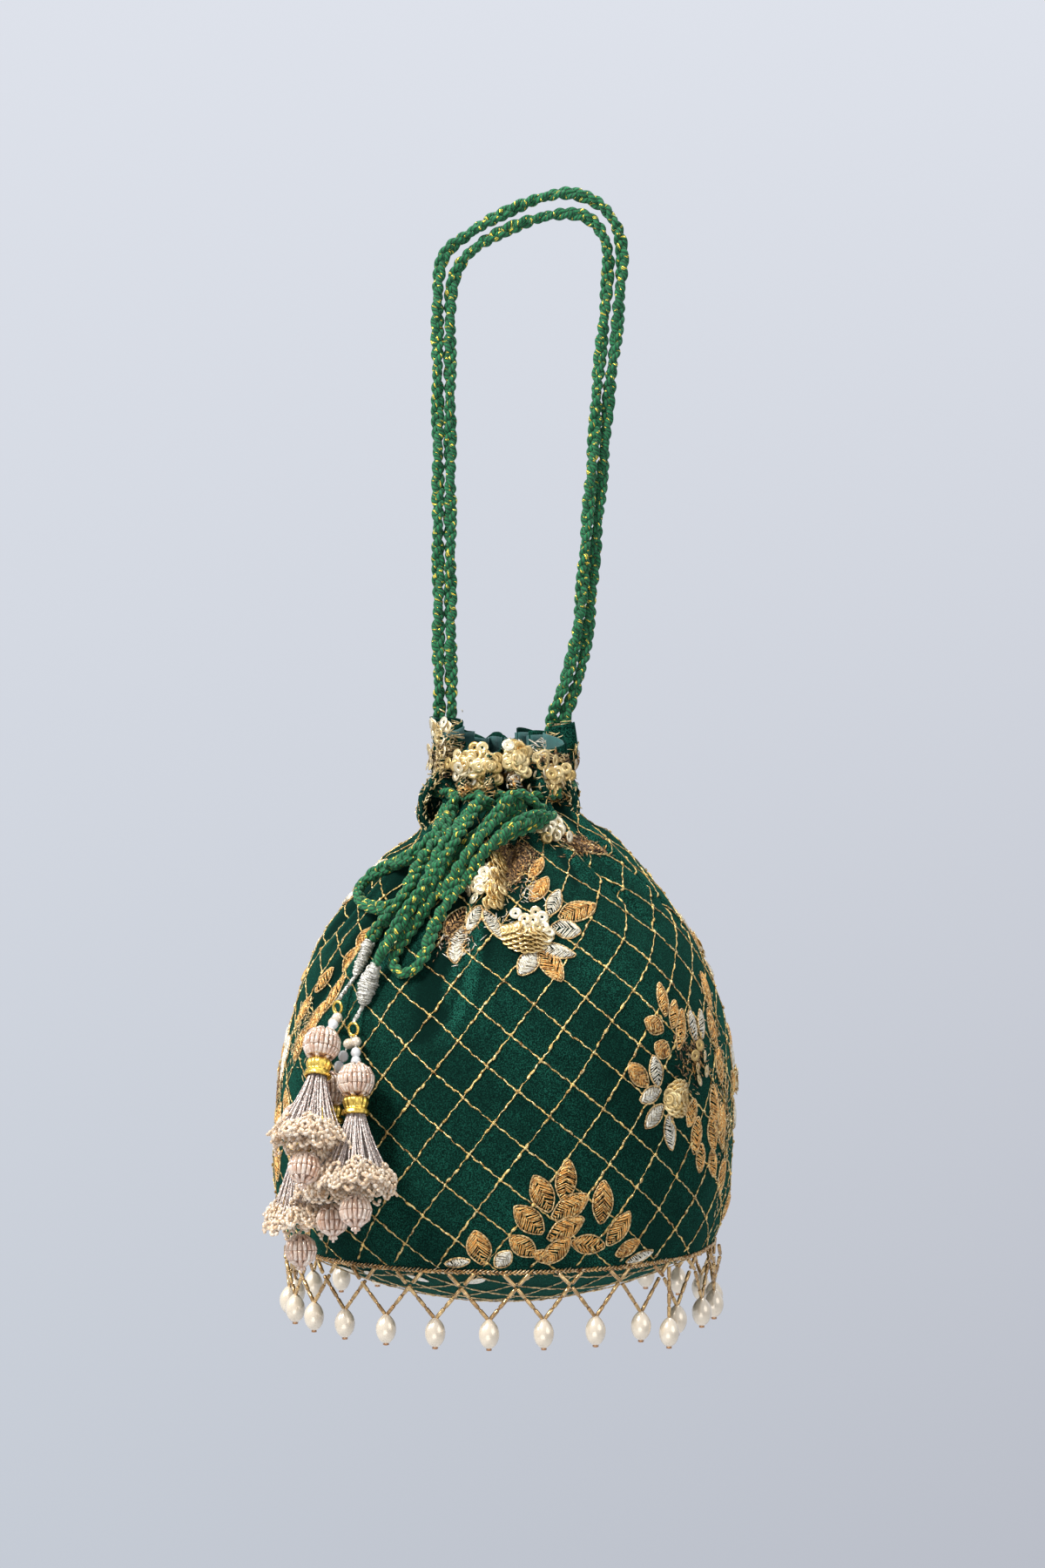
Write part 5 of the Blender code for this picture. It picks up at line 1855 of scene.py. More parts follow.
@dataclass
class Binding:
    """The silver thread bound round each cord's end, down to the ring that two tassels hang from."""

    cord: Drawcord
    thread: float = 0.00085
    end_radius: float = 0.0005
    lump_run: float = 0.0011
    step: float = 0.00022
    # Each layer of thread: its share of the binding's radius and how far it runs in one turn
    winds: tuple[tuple[float, float], ...] = ((0.93, 0.0011), (1.02, -0.0036))
    ring_radius: float = 0.0024
    ring_wire: float = 0.0010
    clear: float = 0.0003

    def build(self) -> None:
        """Makes both bindings and both rings."""
        for name, tail in (("short", SHORT_TAIL), ("long", LONG_TAIL)):
            path = self.cord.over_cloth(tail)
            run = unit(path[-1] - path[-2])
            half = self.cord.diameter / 2
            straight = [path[-1] + run * self.clear, path[-1] + run * half]
            bound = [FORM.on_plain(angle, below, off * MM) for angle, below, off, _ in WRAPS[name]]
            centre = FORM.off_side(*RINGS[name])
            top = centre + np.array([0, 0, self.ring_radius])
            points = np.array([*straight, *bound, top])
            radii = np.array([half * 0.85, half, *[wide * MM for *_, wide in WRAPS[name]], self.end_radius])
            route = smooth_route(points, self.step)
            along = np.linspace(0, distances(points)[-1], len(route))
            lumps = 1 + 0.05 * np.sin(along / self.lump_run)
            radius = np.interp(along, distances(points), radii) * lumps
            self.bind(name, route, radius, along)
            turn = math.radians(RINGS[name][0])
            size = 2 * self.ring_radius
            thick = self.ring_wire / 0.24
            placed = stands(centre, (math.cos(turn), math.sin(turn), 0), (0, 0, 1), (size, thick, size))
            ring = PATTERNS.get("ring").copied(f"jump_ring_{name}", placed, np.zeros(1))
            painted(ring, GILT, "bag", [f"tail_wrap_{name}"])

    def bind(self, name: str, route: Array, radius: Array, along: Array) -> None:
        """Makes one binding: a core and the threads wound over it.

        Args:
            name: Its cord's name.
            route: Its centre line.
            radius: The binding's radius at each point.
            along: The distance of each point from the start.
        """
        _, side, up = carried_frames(route, (1, 0, 0))
        rings = route[:, None] + spokes(side, up, circle(12)) * (radius * 0.9)[:, None, None]
        shapes = [tube_sheet(rings, None, f"tail_core_{name}")]
        step = np.arange(len(route))
        fine = np.linspace(0, len(route) - 1, len(route) * 3)

        def finer(rows: Array) -> Array:
            """Points or directions of the route read at three times as many places."""
            return np.stack([np.interp(fine, step, rows[:, k]) for k in range(3)], 1)

        for layer, (lift, pitch) in enumerate(self.winds):
            rate = np.gradient(along) / pitch * math.tau
            spin = np.interp(fine, step, np.cumsum(rate) + layer)[:, None]
            reach = np.interp(fine, step, radius)[:, None] * lift
            wound = finer(route) + finer(side) * (reach * np.cos(spin))
            wound = wound + finer(up) * (reach * np.sin(spin))
            _, across, out = carried_frames(wound, (0, 0, 1))
            thread = spokes(across, out, circle(5)) * self.thread / 2
            shapes.append(tube_sheet(wound[:, None] + thread, None, f"wound_{name}_{layer}"))
        binding = BENCH.join(shapes)
        binding.name = f"tail_binding_{name}"
        painted(binding, WRAP_SILVER, "bag", [f"tail_wrap_{name}"])


@dataclass
class Tassel:
    """One tassel: a pearl and crystals, a beaded ball, a fluted cap, a beaded skirt and an end ball."""

    name: str
    ring_radius: float = 0.0024
    ring_wire: float = 0.0010
    clear: float = 0.0003
    ball_radius: float = 0.0072
    cap_radius: float = 0.0054
    cap_height: float = 0.0057
    cap_wall: float = 0.0006
    skirt_length: float = 0.0330
    skirt_start: float = 0.0030
    skirt_end: float = 0.0114
    end_ball_radius: float = 0.0055
    ball_to_end: float = 0.0490
    threads: int = 84
    thread: float = 0.0003
    tube: float = 0.0017
    loop_beads: int = 8
    top_pearl: tuple[float, float, float] = (0.0044, 0.0044, 0.0045)
    crystal: tuple[float, float, float] = (0.0040, 0.0036, 0.0050)
    crystal_pitch: float = 0.0042
    # How far the pearl and the nearest crystal are from the ring, and the last one from the ball
    pearl_drop: float = 0.0027
    crystal_drop: float = 0.0062
    crystal_gap: float = 0.0018
    froth_bead: tuple[float, float, float] = (0.0022, 0.0014, 0.0014)
    froth_tall: tuple[float, float] = (0.0020, 0.0042)
    froth_lift: tuple[float, float] = (-0.001, 0.0034)
    froth_wide: float = 0.0019
    froth_out: float = 0.0016
    froth_wander: float = 0.00018
    stem: float = 0.00035
    cap_sheet: float = 0.00035
    thread_step: float = 0.0011
    least_spread: float = 0.0004
    tip: tuple[float, float, float] = (0.0029, 0.0012, 0.0012)
    # Shares of the height and radius, and how deep the flutes are
    cap_profile: tuple[tuple[float, float, float], ...] = (
        (-0.12, 0.06, 0.0), (-0.2, 0.5, 0.0), (-0.2, 0.80, 0.05), (0.0, 0.88, 0.1), (0.2, 0.86, 0.14),
        (0.4, 0.78, 0.14), (0.55, 0.72, 0.1), (0.62, 0.86, 0.0), (0.7, 0.94, 0.0), (0.78, 0.92, 0.0),
        (0.84, 0.97, 0.05), (0.95, 0.95, 0.05), (1.0, 0.8, 0.0),
    )

    def __post_init__(self) -> None:
        """Finds the tassel's points from those of its ring, ball and aim."""
        ring_name, *points = TASSELS[self.name]
        angle, below, _ = RINGS[ring_name]
        ring, ball, target = (FORM.off_side(*point) for point in (RINGS[ring_name], *points))
        out = unit(ring - FORM.off_side(angle, below, 0))
        along = (ball - ring) - out * out.dot(ball - ring)
        seat = ring + unit(along) * self.ring_radius
        self.body = f"tassels_{ring_name}_tail"
        self.start = seat + unit(ball - seat) * (self.ring_wire / 2 + self.clear)
        self.ball = ball
        self.hang = unit(target - ball)
        self.end = ball + self.hang * self.ball_to_end
        self.side = unit(np.cross(self.hang, (0.0, -1.0, 0.0)))
        self.front = np.cross(self.side, self.hang)

    def at(self, along: Array, turn: Array, radius: Array) -> Array:
        """Points by their distance below the ball's centre, angle and distance from the axis."""
        along, turn, radius = np.broadcast_arrays(along, turn, radius)
        around = self.side * np.cos(turn)[..., None] + self.front * np.sin(turn)[..., None]
        return self.ball + self.hang * along[..., None] + around * radius[..., None]

    def radial(self, turn: float) -> Array:
        """The direction out of the axis at an angle round it."""
        return self.side * math.cos(turn) + self.front * math.sin(turn)

    def dressed(self, pattern: str, part: str, placed: Array, finish: Finish, node: str) -> None:
        """Copies a pattern into one piece of this tassel.

        Args:
            pattern: The pattern's name.
            part: The piece's own word.
            placed: The copies' matrices.
            finish: Its finish.
            node: The CAD node's own word.
        """
        tones = BENCH.chance.random(len(placed))
        piece = PATTERNS.get(pattern).copied(f"tassel_{self.name}_{part}", placed, tones)
        painted(piece, finish, self.body, [f"tassel_{self.name}_{node}"])

    def beaded_ball(self, part: str, centre: Array, radius: float, columns: int, rows: int) -> None:
        """Covers a ball with columns of short cut tubes over a dark core.

        Args:
            part: The CAD node's own word.
            centre: The ball's centre.
            radius: Its radius over the beads.
            columns: How many columns go round it.
            rows: How many tubes the longest columns have.
        """
        origins, along, out = [], [], []
        for column in range(columns):
            radial = self.radial(math.tau * (column + 0.5) / columns)
            short = column % 2 or (column % 4 == 2 and columns > 18)
            for row in range(1, rows - 1) if short else range(rows):
                rise = math.pi * (0.07 + 0.86 * ((row + 0.5) / rows))
                normal = radial * math.sin(rise) - self.hang * math.cos(rise)
                tangent = radial * math.cos(rise) + self.hang * math.sin(rise)
                origins.append(centre + normal * (radius - self.tube / 2))
                along.append(tangent + BENCH.chance.standard_normal(3) * 0.05)
                out.append(normal)
        sizes = (math.pi * radius * 0.86 / rows * 0.92, self.tube, self.tube)
        placed = stands(np.array(origins), np.array(along), np.array(out), sizes)
        self.dressed("bugle", f"{part}_bugles", placed, ROSE, part)
        placed = stands(centre, self.side, -self.hang, ((radius - self.tube * 0.62) * 2,) * 3)
        core = PATTERNS.get("bead").copied(f"tassel_{self.name}_{part}_core", placed, np.zeros(1))
        painted(core, ROSE_CORE, self.body, [f"tassel_{self.name}_{part}"])

    def top_beads(self) -> None:
        """Threads the pearl and its crystals between the ring and the ball."""
        link = self.ball - unit(self.ball - self.start) * (self.ball_radius + self.clear) - self.start
        length = float(np.linalg.norm(link))
        run = link / length
        pearl = self.start + run * min(self.pearl_drop, length * 0.3)
        placed = stands(pearl, self.side, -run, self.top_pearl)
        self.dressed("bead", "top_pearl", placed, PEARL, "top_beads")
        reach = np.arange(length - self.crystal_gap, self.crystal_drop, -self.crystal_pitch)
        if len(reach):
            placed = stands(self.start + run * reach[:, None], self.side, -run, self.crystal)
            self.dressed("bead", "crystals", placed, CRYSTAL, "top_beads")
        line = evenly(np.array([self.start - run * 0.0008, self.start + link + run * 0.001]), 0.001)
        _, side, up = carried_frames(line, THREAD_SIDE)
        rings = line[:, None] + spokes(side, up, circle(6)) * self.stem
        wire = tube_sheet(rings, None, f"tassel_{self.name}_stem")
        painted(wire, WRAP_SILVER, self.body, [f"tassel_{self.name}_top_beads"])

    def cap(self) -> None:
        """Makes the fluted cap in its two tiers."""
        top = self.ball_radius + self.clear
        turn = circle(72)
        rings = []
        for along, radius, flute in self.cap_profile:
            wave = 1 + flute * (np.abs(np.cos(6 * turn)) - 0.6)
            rings.append(self.at(top + along * self.cap_height, turn, radius * self.cap_radius * wave))
        cap = tube_sheet(np.array(rings), None, f"tassel_{self.name}_gilt_cap", (True, False))
        BENCH.apply(cap, "SOLIDIFY", thickness=self.cap_sheet, offset=1.0)
        painted(cap, GILT, self.body, [f"tassel_{self.name}_cap"])

    def skirt(self) -> None:
        """Hangs the twisted threads and their loops of clear beads."""
        top = self.ball_radius + self.clear + self.cap_wall
        chance = BENCH.chance
        turns = math.tau * (np.arange(self.threads) + 0.3 * chance.random(self.threads)) / self.threads
        inner = chance.random(self.threads)
        tubes, tips = [], []
        steps = np.linspace(0, 1, 15)
        for i, turn in enumerate(turns):
            share = 0.5 + 0.5 * math.sqrt(inner[i])
            length = self.skirt_length * (0.72 + 0.16 * chance.random())
            spread = np.clip((steps - 0.1) / 0.9, 0, 1) ** (1.05 + 0.3 * inner[i])
            full = blend(self.skirt_start, self.skirt_end, spread)
            radius = full * share * np.clip(0.7 + steps * 3, 0, 1)
            sway = turn + 0.1 * np.sin(steps * 3 + i) * (1 - 0.4 * inner[i])
            route = self.at(top + length * steps, sway, np.maximum(radius, self.least_spread))
            tubes.append(twisted_rings(evenly(route, self.thread_step), self.thread, i))
            tips.append((route[-1], unit(route[-1] - route[-2]), self.radial(turn), share))
        joined = many_tubes(tubes, f"tassel_{self.name}_threads", chance.random(len(tubes)))
        painted(joined, MAUVE, self.body, [f"tassel_{self.name}_skirt"])
        self.froth(tips)

    def froth(self, tips: Sequence[tuple[Array, Array, Array, float]]) -> None:
        """Ends every thread in a loop of clear beads.

        Args:
            tips: Each thread's end, the way it runs, the way out and how far out it is.
        """
        chance = BENCH.chance
        spots, along, out = [], [], []
        for place, run, radial, share in tips:
            across = np.cross(run, radial)
            tall, lifted = chance.uniform(*self.froth_tall), chance.uniform(*self.froth_lift)
            for k in range(self.loop_beads):
                swing = math.tau * k / self.loop_beads
                spot = place + run * (tall * (1 - math.cos(swing)) - lifted)
                spot = spot + across * (self.froth_wide * math.sin(swing))
                spot = spot + radial * (self.froth_out * math.sin(swing / 2) * (0.2 + share))
                spots.append(spot + chance.standard_normal(3) * self.froth_wander)
                along.append(across * math.cos(swing) + run * math.sin(swing))
                out.append(radial)
        placed = stands(np.array(spots), np.array(along), np.array(out), self.froth_bead)
        self.dressed("bead", "froth", placed, FROTH, "skirt")

    def build(self) -> None:
        """Makes the tassel from its top down."""
        self.top_beads()
        self.beaded_ball("ball", self.ball, self.ball_radius, 22, 5)
        self.cap()
        self.skirt()
        self.beaded_ball("end_ball", self.end, self.end_ball_radius + 0.0007, 18, 4)
        tips, half = [], 0.0016
        for k in range(5):
            radial = self.radial(math.tau * k / 5 + 0.4)
            run = unit(self.hang + radial * 0.55)
            tips.append((self.end + self.hang * self.end_ball_radius * 0.86 + run * half, run, radial))
        tips.append((self.end + self.hang * (self.end_ball_radius + half), self.hang, self.side))
        origins, along, out = (np.array(values) for values in zip(*tips))
        self.dressed("bugle", "tips", stands(origins, along, out, self.tip), ROSE, "end_ball")


# A direction that no thread of a tassel runs along, for its frames to start near
THREAD_SIDE = (0.3, 0.2, 0.93)


def twisted_rings(route: Array, radius: float, seed: int) -> Array:
    """Rings of a thread that swells and thins as its plies turn.

    Args:
        route: The thread's line.
        radius: Its least radius.
        seed: Where its twist starts.

    Returns:
        The rings, as (rings, 4, 3).
    """
    _, side, up = carried_frames(route, THREAD_SIDE)
    step = np.arange(len(route))
    turn = circle(4)[None, :] + (step * 0.9 + seed)[:, None]
    return route[:, None] + spokes(side, up, turn) * (radius * (1 + 0.25 * (step % 2)))[:, None, None]


def many_tubes(tubes: Sequence[Array], name: str, tones: Array) -> bpy.types.Object:
    """One piece of many closed tubes.

    Args:
        tubes: Each tube's rings, as (rings, sides, 3).
        name: The piece's name.
        tones: Each tube's tone.

    Returns:
        The piece.
    """
    shapes = []
    for i, rings in enumerate(tubes):
        shape = tube_sheet(rings, None, f"{name}_{i}")
        values = np.full(len(shape.data.vertices), tones[i], np.float32)
        shape.data.attributes["tone"].data.foreach_set("value", values)
        shapes.append(shape)
    piece = BENCH.join(shapes)
    piece.name = name
    return piece


# Each leaf: degrees from the front, millimetres below the neck, the way its tip points, where 0 is
# up and 90 to the right, its length and its width in millimetres
COPPER_LEAVES = (
    (11.3, 39.5, 35, 12.5, 5.9), (11.6, 31.5, 35, 10.6, 4), (23.6, 47.9, 70, 15.5, 8),
    (12.1, 67.2, 150, 14.2, 8), (44.4, 81.4, 0, 12, 5), (47.7, 87.2, 20, 10.5, 5),
    (40.1, 90.9, -60, 8.5, 7), (49.7, 93.1, 20, 15, 5.4), (42, 100.1, -60, 7.4, 7),
    (34.1, 109.1, -45, 11, 7), (52.4, 125.4, 200, 10, 6), (54.4, 134.4, 190, 13, 6.4),
    (62.2, 134.3, 170, 13, 8), (56.3, 143.3, 185, 10, 5.6), (62.5, 146.2, 165, 10, 7),
    (71.5, 80.3, 0, 14, 7), (68.9, 94.5, -5, 14, 8), (70.1, 109, 0, 13, 9), (63.6, 123.2, 175, 13, 8),
    (68.5, 132.6, 0, 16, 9), (69.9, 152.6, 10, 12, 9), (83.9, 167.5, 0, 10, 9), (-53.4, 58.4, 25, 9, 5),
    (-55.7, 67, 20, 11, 6), (-54.3, 80.5, 30, 17, 5.4), (-59.4, 88.6, 35, 12, 6.5),
    (-61.1, 94.8, 35, 12, 6.5), (-65.1, 100.8, 20, 12, 7), (-69.2, 87.8, 30, 12, 6),
    (-63.4, 75.5, 30, 11, 5), (15.3, 147.3, 5, 14, 7.7), (9.6, 151.9, -25, 13.4, 8.4),
    (6.6, 161.7, -45, 13.4, 8.6), (5.3, 171.8, -50, 11, 7.4), (16.6, 157.2, 60, 14.4, 8.4),
    (15.8, 165.5, 60, 14, 8.2), (14.1, 173.9, 40, 12.4, 7.4), (24.7, 156.1, 0, 14.7, 8),
    (29.7, 166.7, 30, 13.4, 7.6), (21.9, 172.1, -80, 12.6, 7.6), (33.3, 174.6, 60, 10, 6),
    (-5.4, 172.5, -10, 12.4, 9), (10.6, 176, -70, 8, 5), (-68.3, 125.1, 150, 13, 7.4),
    (-63.5, 141.3, 160, 13, 7), (-60.5, 154.3, 165, 13, 7), (-58.9, 167.7, 175, 11, 6.6),
    (-76, 132, 5, 13, 8), (-74, 148, -5, 13, 8), (-71, 163, 8, 12, 8),
)
SILVER_LEAVES = (
    (16, 44.5, 30, 12.2, 5.9), (18.4, 54.5, 100, 10.7, 8), (13.9, 62.3, 105, 14.8, 5.6),
    (5.7, 66.6, 215, 10.9, 7.5), (-11.3, 50.4, 200, 11.5, 5.6), (-5, 52.3, 150, 13.4, 4.2),
    (55.6, 92.5, -5, 11.6, 6), (61.1, 92.4, 20, 11, 5.4), (39.7, 108.1, -10, 11, 6.4),
    (37.7, 117, -110, 10, 6), (38.9, 125.1, -130, 11, 6.4), (44.2, 131.8, 170, 12.5, 6),
    (-15.7, 58.4, 190, 10, 6), (-15.8, 62.8, 170, 9, 6), (-76.8, 103.7, 10, 10, 9),
    (-79.9, 110.5, 5, 12, 9), (-82.2, 32.1, 40, 8, 5), (-82.4, 44.1, 40, 9, 5),
    (-84.8, 99.9, 20, 10, 7), (0.6, 176.9, 40, 7.7, 6), (-11, 178.6, 80, 9, 3.4),
    (38, 178.8, 75, 12, 4),
)
BROWN_LEAVES = (
    (1.3, 31, 10, 16.6, 9.1), (-5.1, 27, 20, 12, 6), (6.2, 27, -10, 10, 6), (-17.7, 51.5, 200, 12, 7),
    (38.3, 23.1, 115, 14.6, 5), (34.3, 20.1, 110, 10, 5), (47.1, 24.6, 120, 9, 4.5),
    (-83.6, 118.8, 5, 16, 10),
)
# Each sequin: degrees from the front, millimetres below the neck and above the cloth
PALE_DISCS = (
    (2.2, 49.4, 1.9), (8.6, 49, 2.2), (10.5, 50.8, 2.1), (4.9, 51.7, 2.6), (7.4, 52.2, 3),
    (3.6, 54.6, 2.3), (6.7, 54.9, 2.4), (10.5, 54.5, 2.2), (12.4, 55.9, 1.6), (11.4, 58.1, 1.4),
    (-13, 33.1, 2.4), (-9.1, 33.5, 2.2), (-13.4, 36.3, 2.4), (-9.4, 37.1, 3), (-13.9, 39.1, 2),
    (-9.1, 39.9, 2.6), (-10.8, 43.5, 1.8), (37.2, -5.8, 2.6), (52.8, -5.5, 2.2), (33.6, -1.4, 2.2),
    (41.5, -2, 2.6), (48.1, -1, 2), (52.8, -2.9, 2.6), (45.2, 2.1, 1.6), (-31.9, -6.4, 2.4),
    (-40.2, -4.4, 2.4), (4.7, -16.3, 2), (-52.7, -25.4, 1.2), (-48.1, -23.6, 1), (-56.8, -18.1, 0.8),
    (-54.5, -14, 0.8), (-33.9, -4.4, 2.6),
)
GOLD_DISCS = (
    (26, 13.4, 3, 46, 340), (21.2, 17.8, 2.4, 44, 350), (33.5, 15.8, 2.6, 46, 330),
    (22.6, 21.4, 2.2, 44, 350), (57, 100.1, 1), (53.9, 103.7, 1.2), (58.7, 104.6, 1.2),
    (54.6, 108.5, 1.2), (58.9, 110.3, 1.2), (55.1, 113.2, 1.2), (46.8, 119.2, 2), (-22.1, -15.3, 0.8),
    (-15.5, -15.3, 0.8), (-46.8, -9.3, 1.2), (-38.3, -8.3, 1.6), (-23.3, -5.6, 2.4), (-24.2, -9.8, 1.8),
    (-18, -8.9, 2), (-11.1, -7.9, 1.6), (-7.3, -9.3, 0.8), (-7.3, -5.8, 1.2), (-16.2, -6.5, 2.4),
    (-30.2, -2.4, 2), (-22.1, -2.2, 2), (-16.2, -2.9, 2), (-37.7, 0.3, 1.4), (-18, -0.4, 1.4),
    (-10, -3.4, 1.2), (-10, -1.4, 0.8), (-37.7, -12.5, 0.8), (11.1, -15.7, 1.4), (16.1, -13.3, 1.4),
    (8, -12.8, 1.6), (13.4, -11.3, 1.8), (6.3, -8.3, 1.2), (11.6, -8.3, 1.6), (20.1, -5.5, 1.4),
    (-28.5, -12, 1.2), (-12.8, -12, 1), (-19.7, -12.3, 1.2), (-32.3, -10.6, 1.4), (18.3, -10.3, 1),
    (30, 0.7, 1.2), (60.7, -7.9, 1.6), (43.3, -6.5, 1.4),
)
# Motifs of the unseen sides: degrees from the front, millimetres below the neck, heading and size
SPRAYS = (
    (92, 118, 10, 1), (122, 84, -20, 1), (118, 152, 160, 1), (150, 112, 5, 1.1), (178, 78, 20, 1),
    (176, 150, 185, 1), (-152, 110, -15, 1.1), (-128, 80, 25, 1), (-122, 148, 170, 1), (-98, 116, 0, 1),
    (96, 64, 20, 0.8), (150, 60, -15, 0.8), (-150, 60, 10, 0.8), (-100, 66, -20, 0.8),
)
# A motif's leaves: millimetres ahead of its middle and to the left, and how far each is turned
SPRAY_LEAVES = (
    (16, 0, 0), (8, 8, 45), (8, -8, -45), (-2, 9, 60), (-2, -9, -60), (-14, 5, 150), (-14, -5, -150),
)
# Patches of loose thread: degrees from the front, millimetres below the neck, half of what each
# covers both ways, and how many ends it has
BROWN_ENDS = (
    (1.3, 31, 8, 8, 380), (-6, 25, 7, 5, 120), (8, 26, 6, 5, 90), (12, -6, 12, 5, 120),
    (-17, 57, 6, 7, 160), (42, 23, 13, 3.5, 200), (54, 104, 7, 9, 110), (-50, -8, 14, 9, 90),
    (45, -11, 16, 3, 120), (180, -9, 110, 8, 420),
)
GOLD_ENDS = (
    (-55, -14, 9, 9, 180), (-76, -16, 10, 11, 260), (72, -14, 9, 9, 120), (-20, -6, 19, 8, 150),
    (12, -11, 10, 6, 70), (45, -3, 16, 5, 110), (45, -11, 16, 3, 90), (-38, 1, 14, 4, 60),
    (26, 18, 10, 5, 70), (180, -9, 110, 8, 460), (-2, 38, 3, 10, 50), (47, 119, 6, 6, 50),
    (-83, 38, 5, 7, 20), (-66, 95, 8, 14, 110), (71, 126, 8, 38, 240), (54, 95, 8, 8, 50),
    (-80, 118, 6, 12, 60),
)
COPPER_ENDS = (
    (1.3, 31, 7, 7, 60), (-6, 25, 6, 4, 16), (42, 23, 12, 3, 40), (54, 104, 6, 8, 30),
    (-17, 57, 5, 6, 24), (70, 122, 7, 36, 130), (12, -3, 10, 4, 50), (-25, 2, 14, 3, 60),
    (45, 5, 12, 3, 40),
)
SILVER_ENDS = (
    (12, -5, 11, 5, 90), (-3, 52, 6, 6, 26), (-15.7, 60, 6, 6, 44), (8, 40, 5, 6, 26),
    (30, -15, 14, 3, 40), (-83, 36, 5, 6, 14), (180, -10, 110, 7, 160),
)


Row = tuple[float, ...]


@dataclass(frozen=True)
class Pile:
    """Sequins that lie together about a place, given in degrees and millimetres below the neck."""

    angle: float
    below: float

    def discs(self) -> list[Row]:
        """The sequins, each as Embroidery.discs takes them."""
        raise NotImplementedError


@dataclass(frozen=True)
class Rings(Pile):
    """Overlapping rows of sequins, inmost first and highest, round a place.

    Each row runs from one of the span's angles to the other, in degrees from the top to the right.
    """

    radii: tuple[float, ...]
    span: tuple[float, float]
    rise: float
    pitch: float = 2.3

    def discs(self) -> list[Row]:
        """The rows' sequins, which lean outwards."""
        rows = []
        for k, radius in enumerate(self.radii):
            lift = 0.8 + self.rise * (len(self.radii) - 1 - k)
            step = math.degrees(self.pitch / radius)
            for turn in np.arange(self.span[0] + 9 * (k % 2), self.span[1], step):
                way = math.radians(turn)
                spot = FORM.beside(self.angle, self.below, radius * math.sin(way), radius * math.cos(way))
                rows.append((*spot, lift, 24, turn))
        return rows


@dataclass(frozen=True)
class Strip(Pile):
    """Sequins strewn down the side of a fold, standing up from it."""

    count: int
    step: float

    def discs(self) -> list[Row]:
        """The sequins, whose lean and lift wander."""
        rows = []
        for k, (across, lean, turn) in enumerate(BENCH.chance.uniform(-1, 1, (self.count, 3))):
            lift, way = 2.4 + 0.9 * turn - 0.6 * across, 80 + 24 * turn
            rows.append((self.angle + 2.6 * across, self.below + self.step * k, lift, 34 + 9 * lean, way))
        return rows


@dataclass(frozen=True)
class Heap(Pile):
    """Sequins strewn over a puffed patch, given by its half spans in degrees and millimetres."""

    wide: float
    tall: float
    count: int
    puff: float

    def discs(self) -> list[Row]:
        """The sequins, highest in the middle, which lean outwards."""
        rows = []
        for x, y in BENCH.chance.uniform(-1, 1, (self.count, 2)):
            lift = 0.6 + self.puff * max(1 - (x**2 + y**2) / 2, 0)
            way = 90 - math.degrees(math.atan2(-y, x))
            rows.append((self.angle + self.wide * x, self.below + self.tall * y, lift, 13, way))
        return rows


@dataclass(frozen=True)
class Cluster(Pile):
    """Sequins heaped on a fold within a radius in millimetres, which all lean one way."""

    radius: float
    count: int
    lift: float
    tilt: float
    way: float

    def discs(self) -> list[Row]:
        """The sequins, spread like seeds in a flower head."""
        rows = []
        for k in range(self.count):
            turn, far = 2.4 * k, self.radius * math.sqrt((k + 0.3) / self.count)
            spot = FORM.beside(self.angle, self.below, far * math.sin(turn), far * math.cos(turn))
            tilt, way = self.tilt + 9 * math.sin(1.7 * k), self.way + 14 * math.cos(2.3 * k)
            rows.append((*spot, self.lift + 0.45 * (k % 4), tilt, way))
        return rows


GOLD_PILES = (
    Rings(46.8, 119.2, (2.4, 3.9, 5.4), (0, 360), 0.5),
    Rings(5.6, 52.4, (4.2, 5.6, 7.0, 8.4, 9.6), (118, 262), 0.45),
    Strip(-5.2, 28.5, 48, 0.38),
    Heap(-20, -4.5, 17, 8, 34, 1.6),
    Heap(13, -10, 9, 7, 17, 1.4),
    Heap(38, -9.5, 10, 3.0, 8, 0.8),
    Cluster(50, -2.8, 5.8, 13, 4.0, 40, 270),
    Heap(-68, -20, 10, 5, 8, 0.6),
)
# Piles of the paler sequins, which are painted as lit copies of the gold ones.
PALE_PILES = (
    Cluster(-11.2, 36.5, 5.6, 17, 2.0, 24, 10),
    Heap(36, -1.7, 6, 5, 9, 1.6),
    Heap(-33, -4.5, 8, 5, 11, 2.4),
    Cluster(28.5, 18, 4.8, 11, 2.6, 46, 335),
    Heap(-72, -24, 6, 2, 4, 1),
)


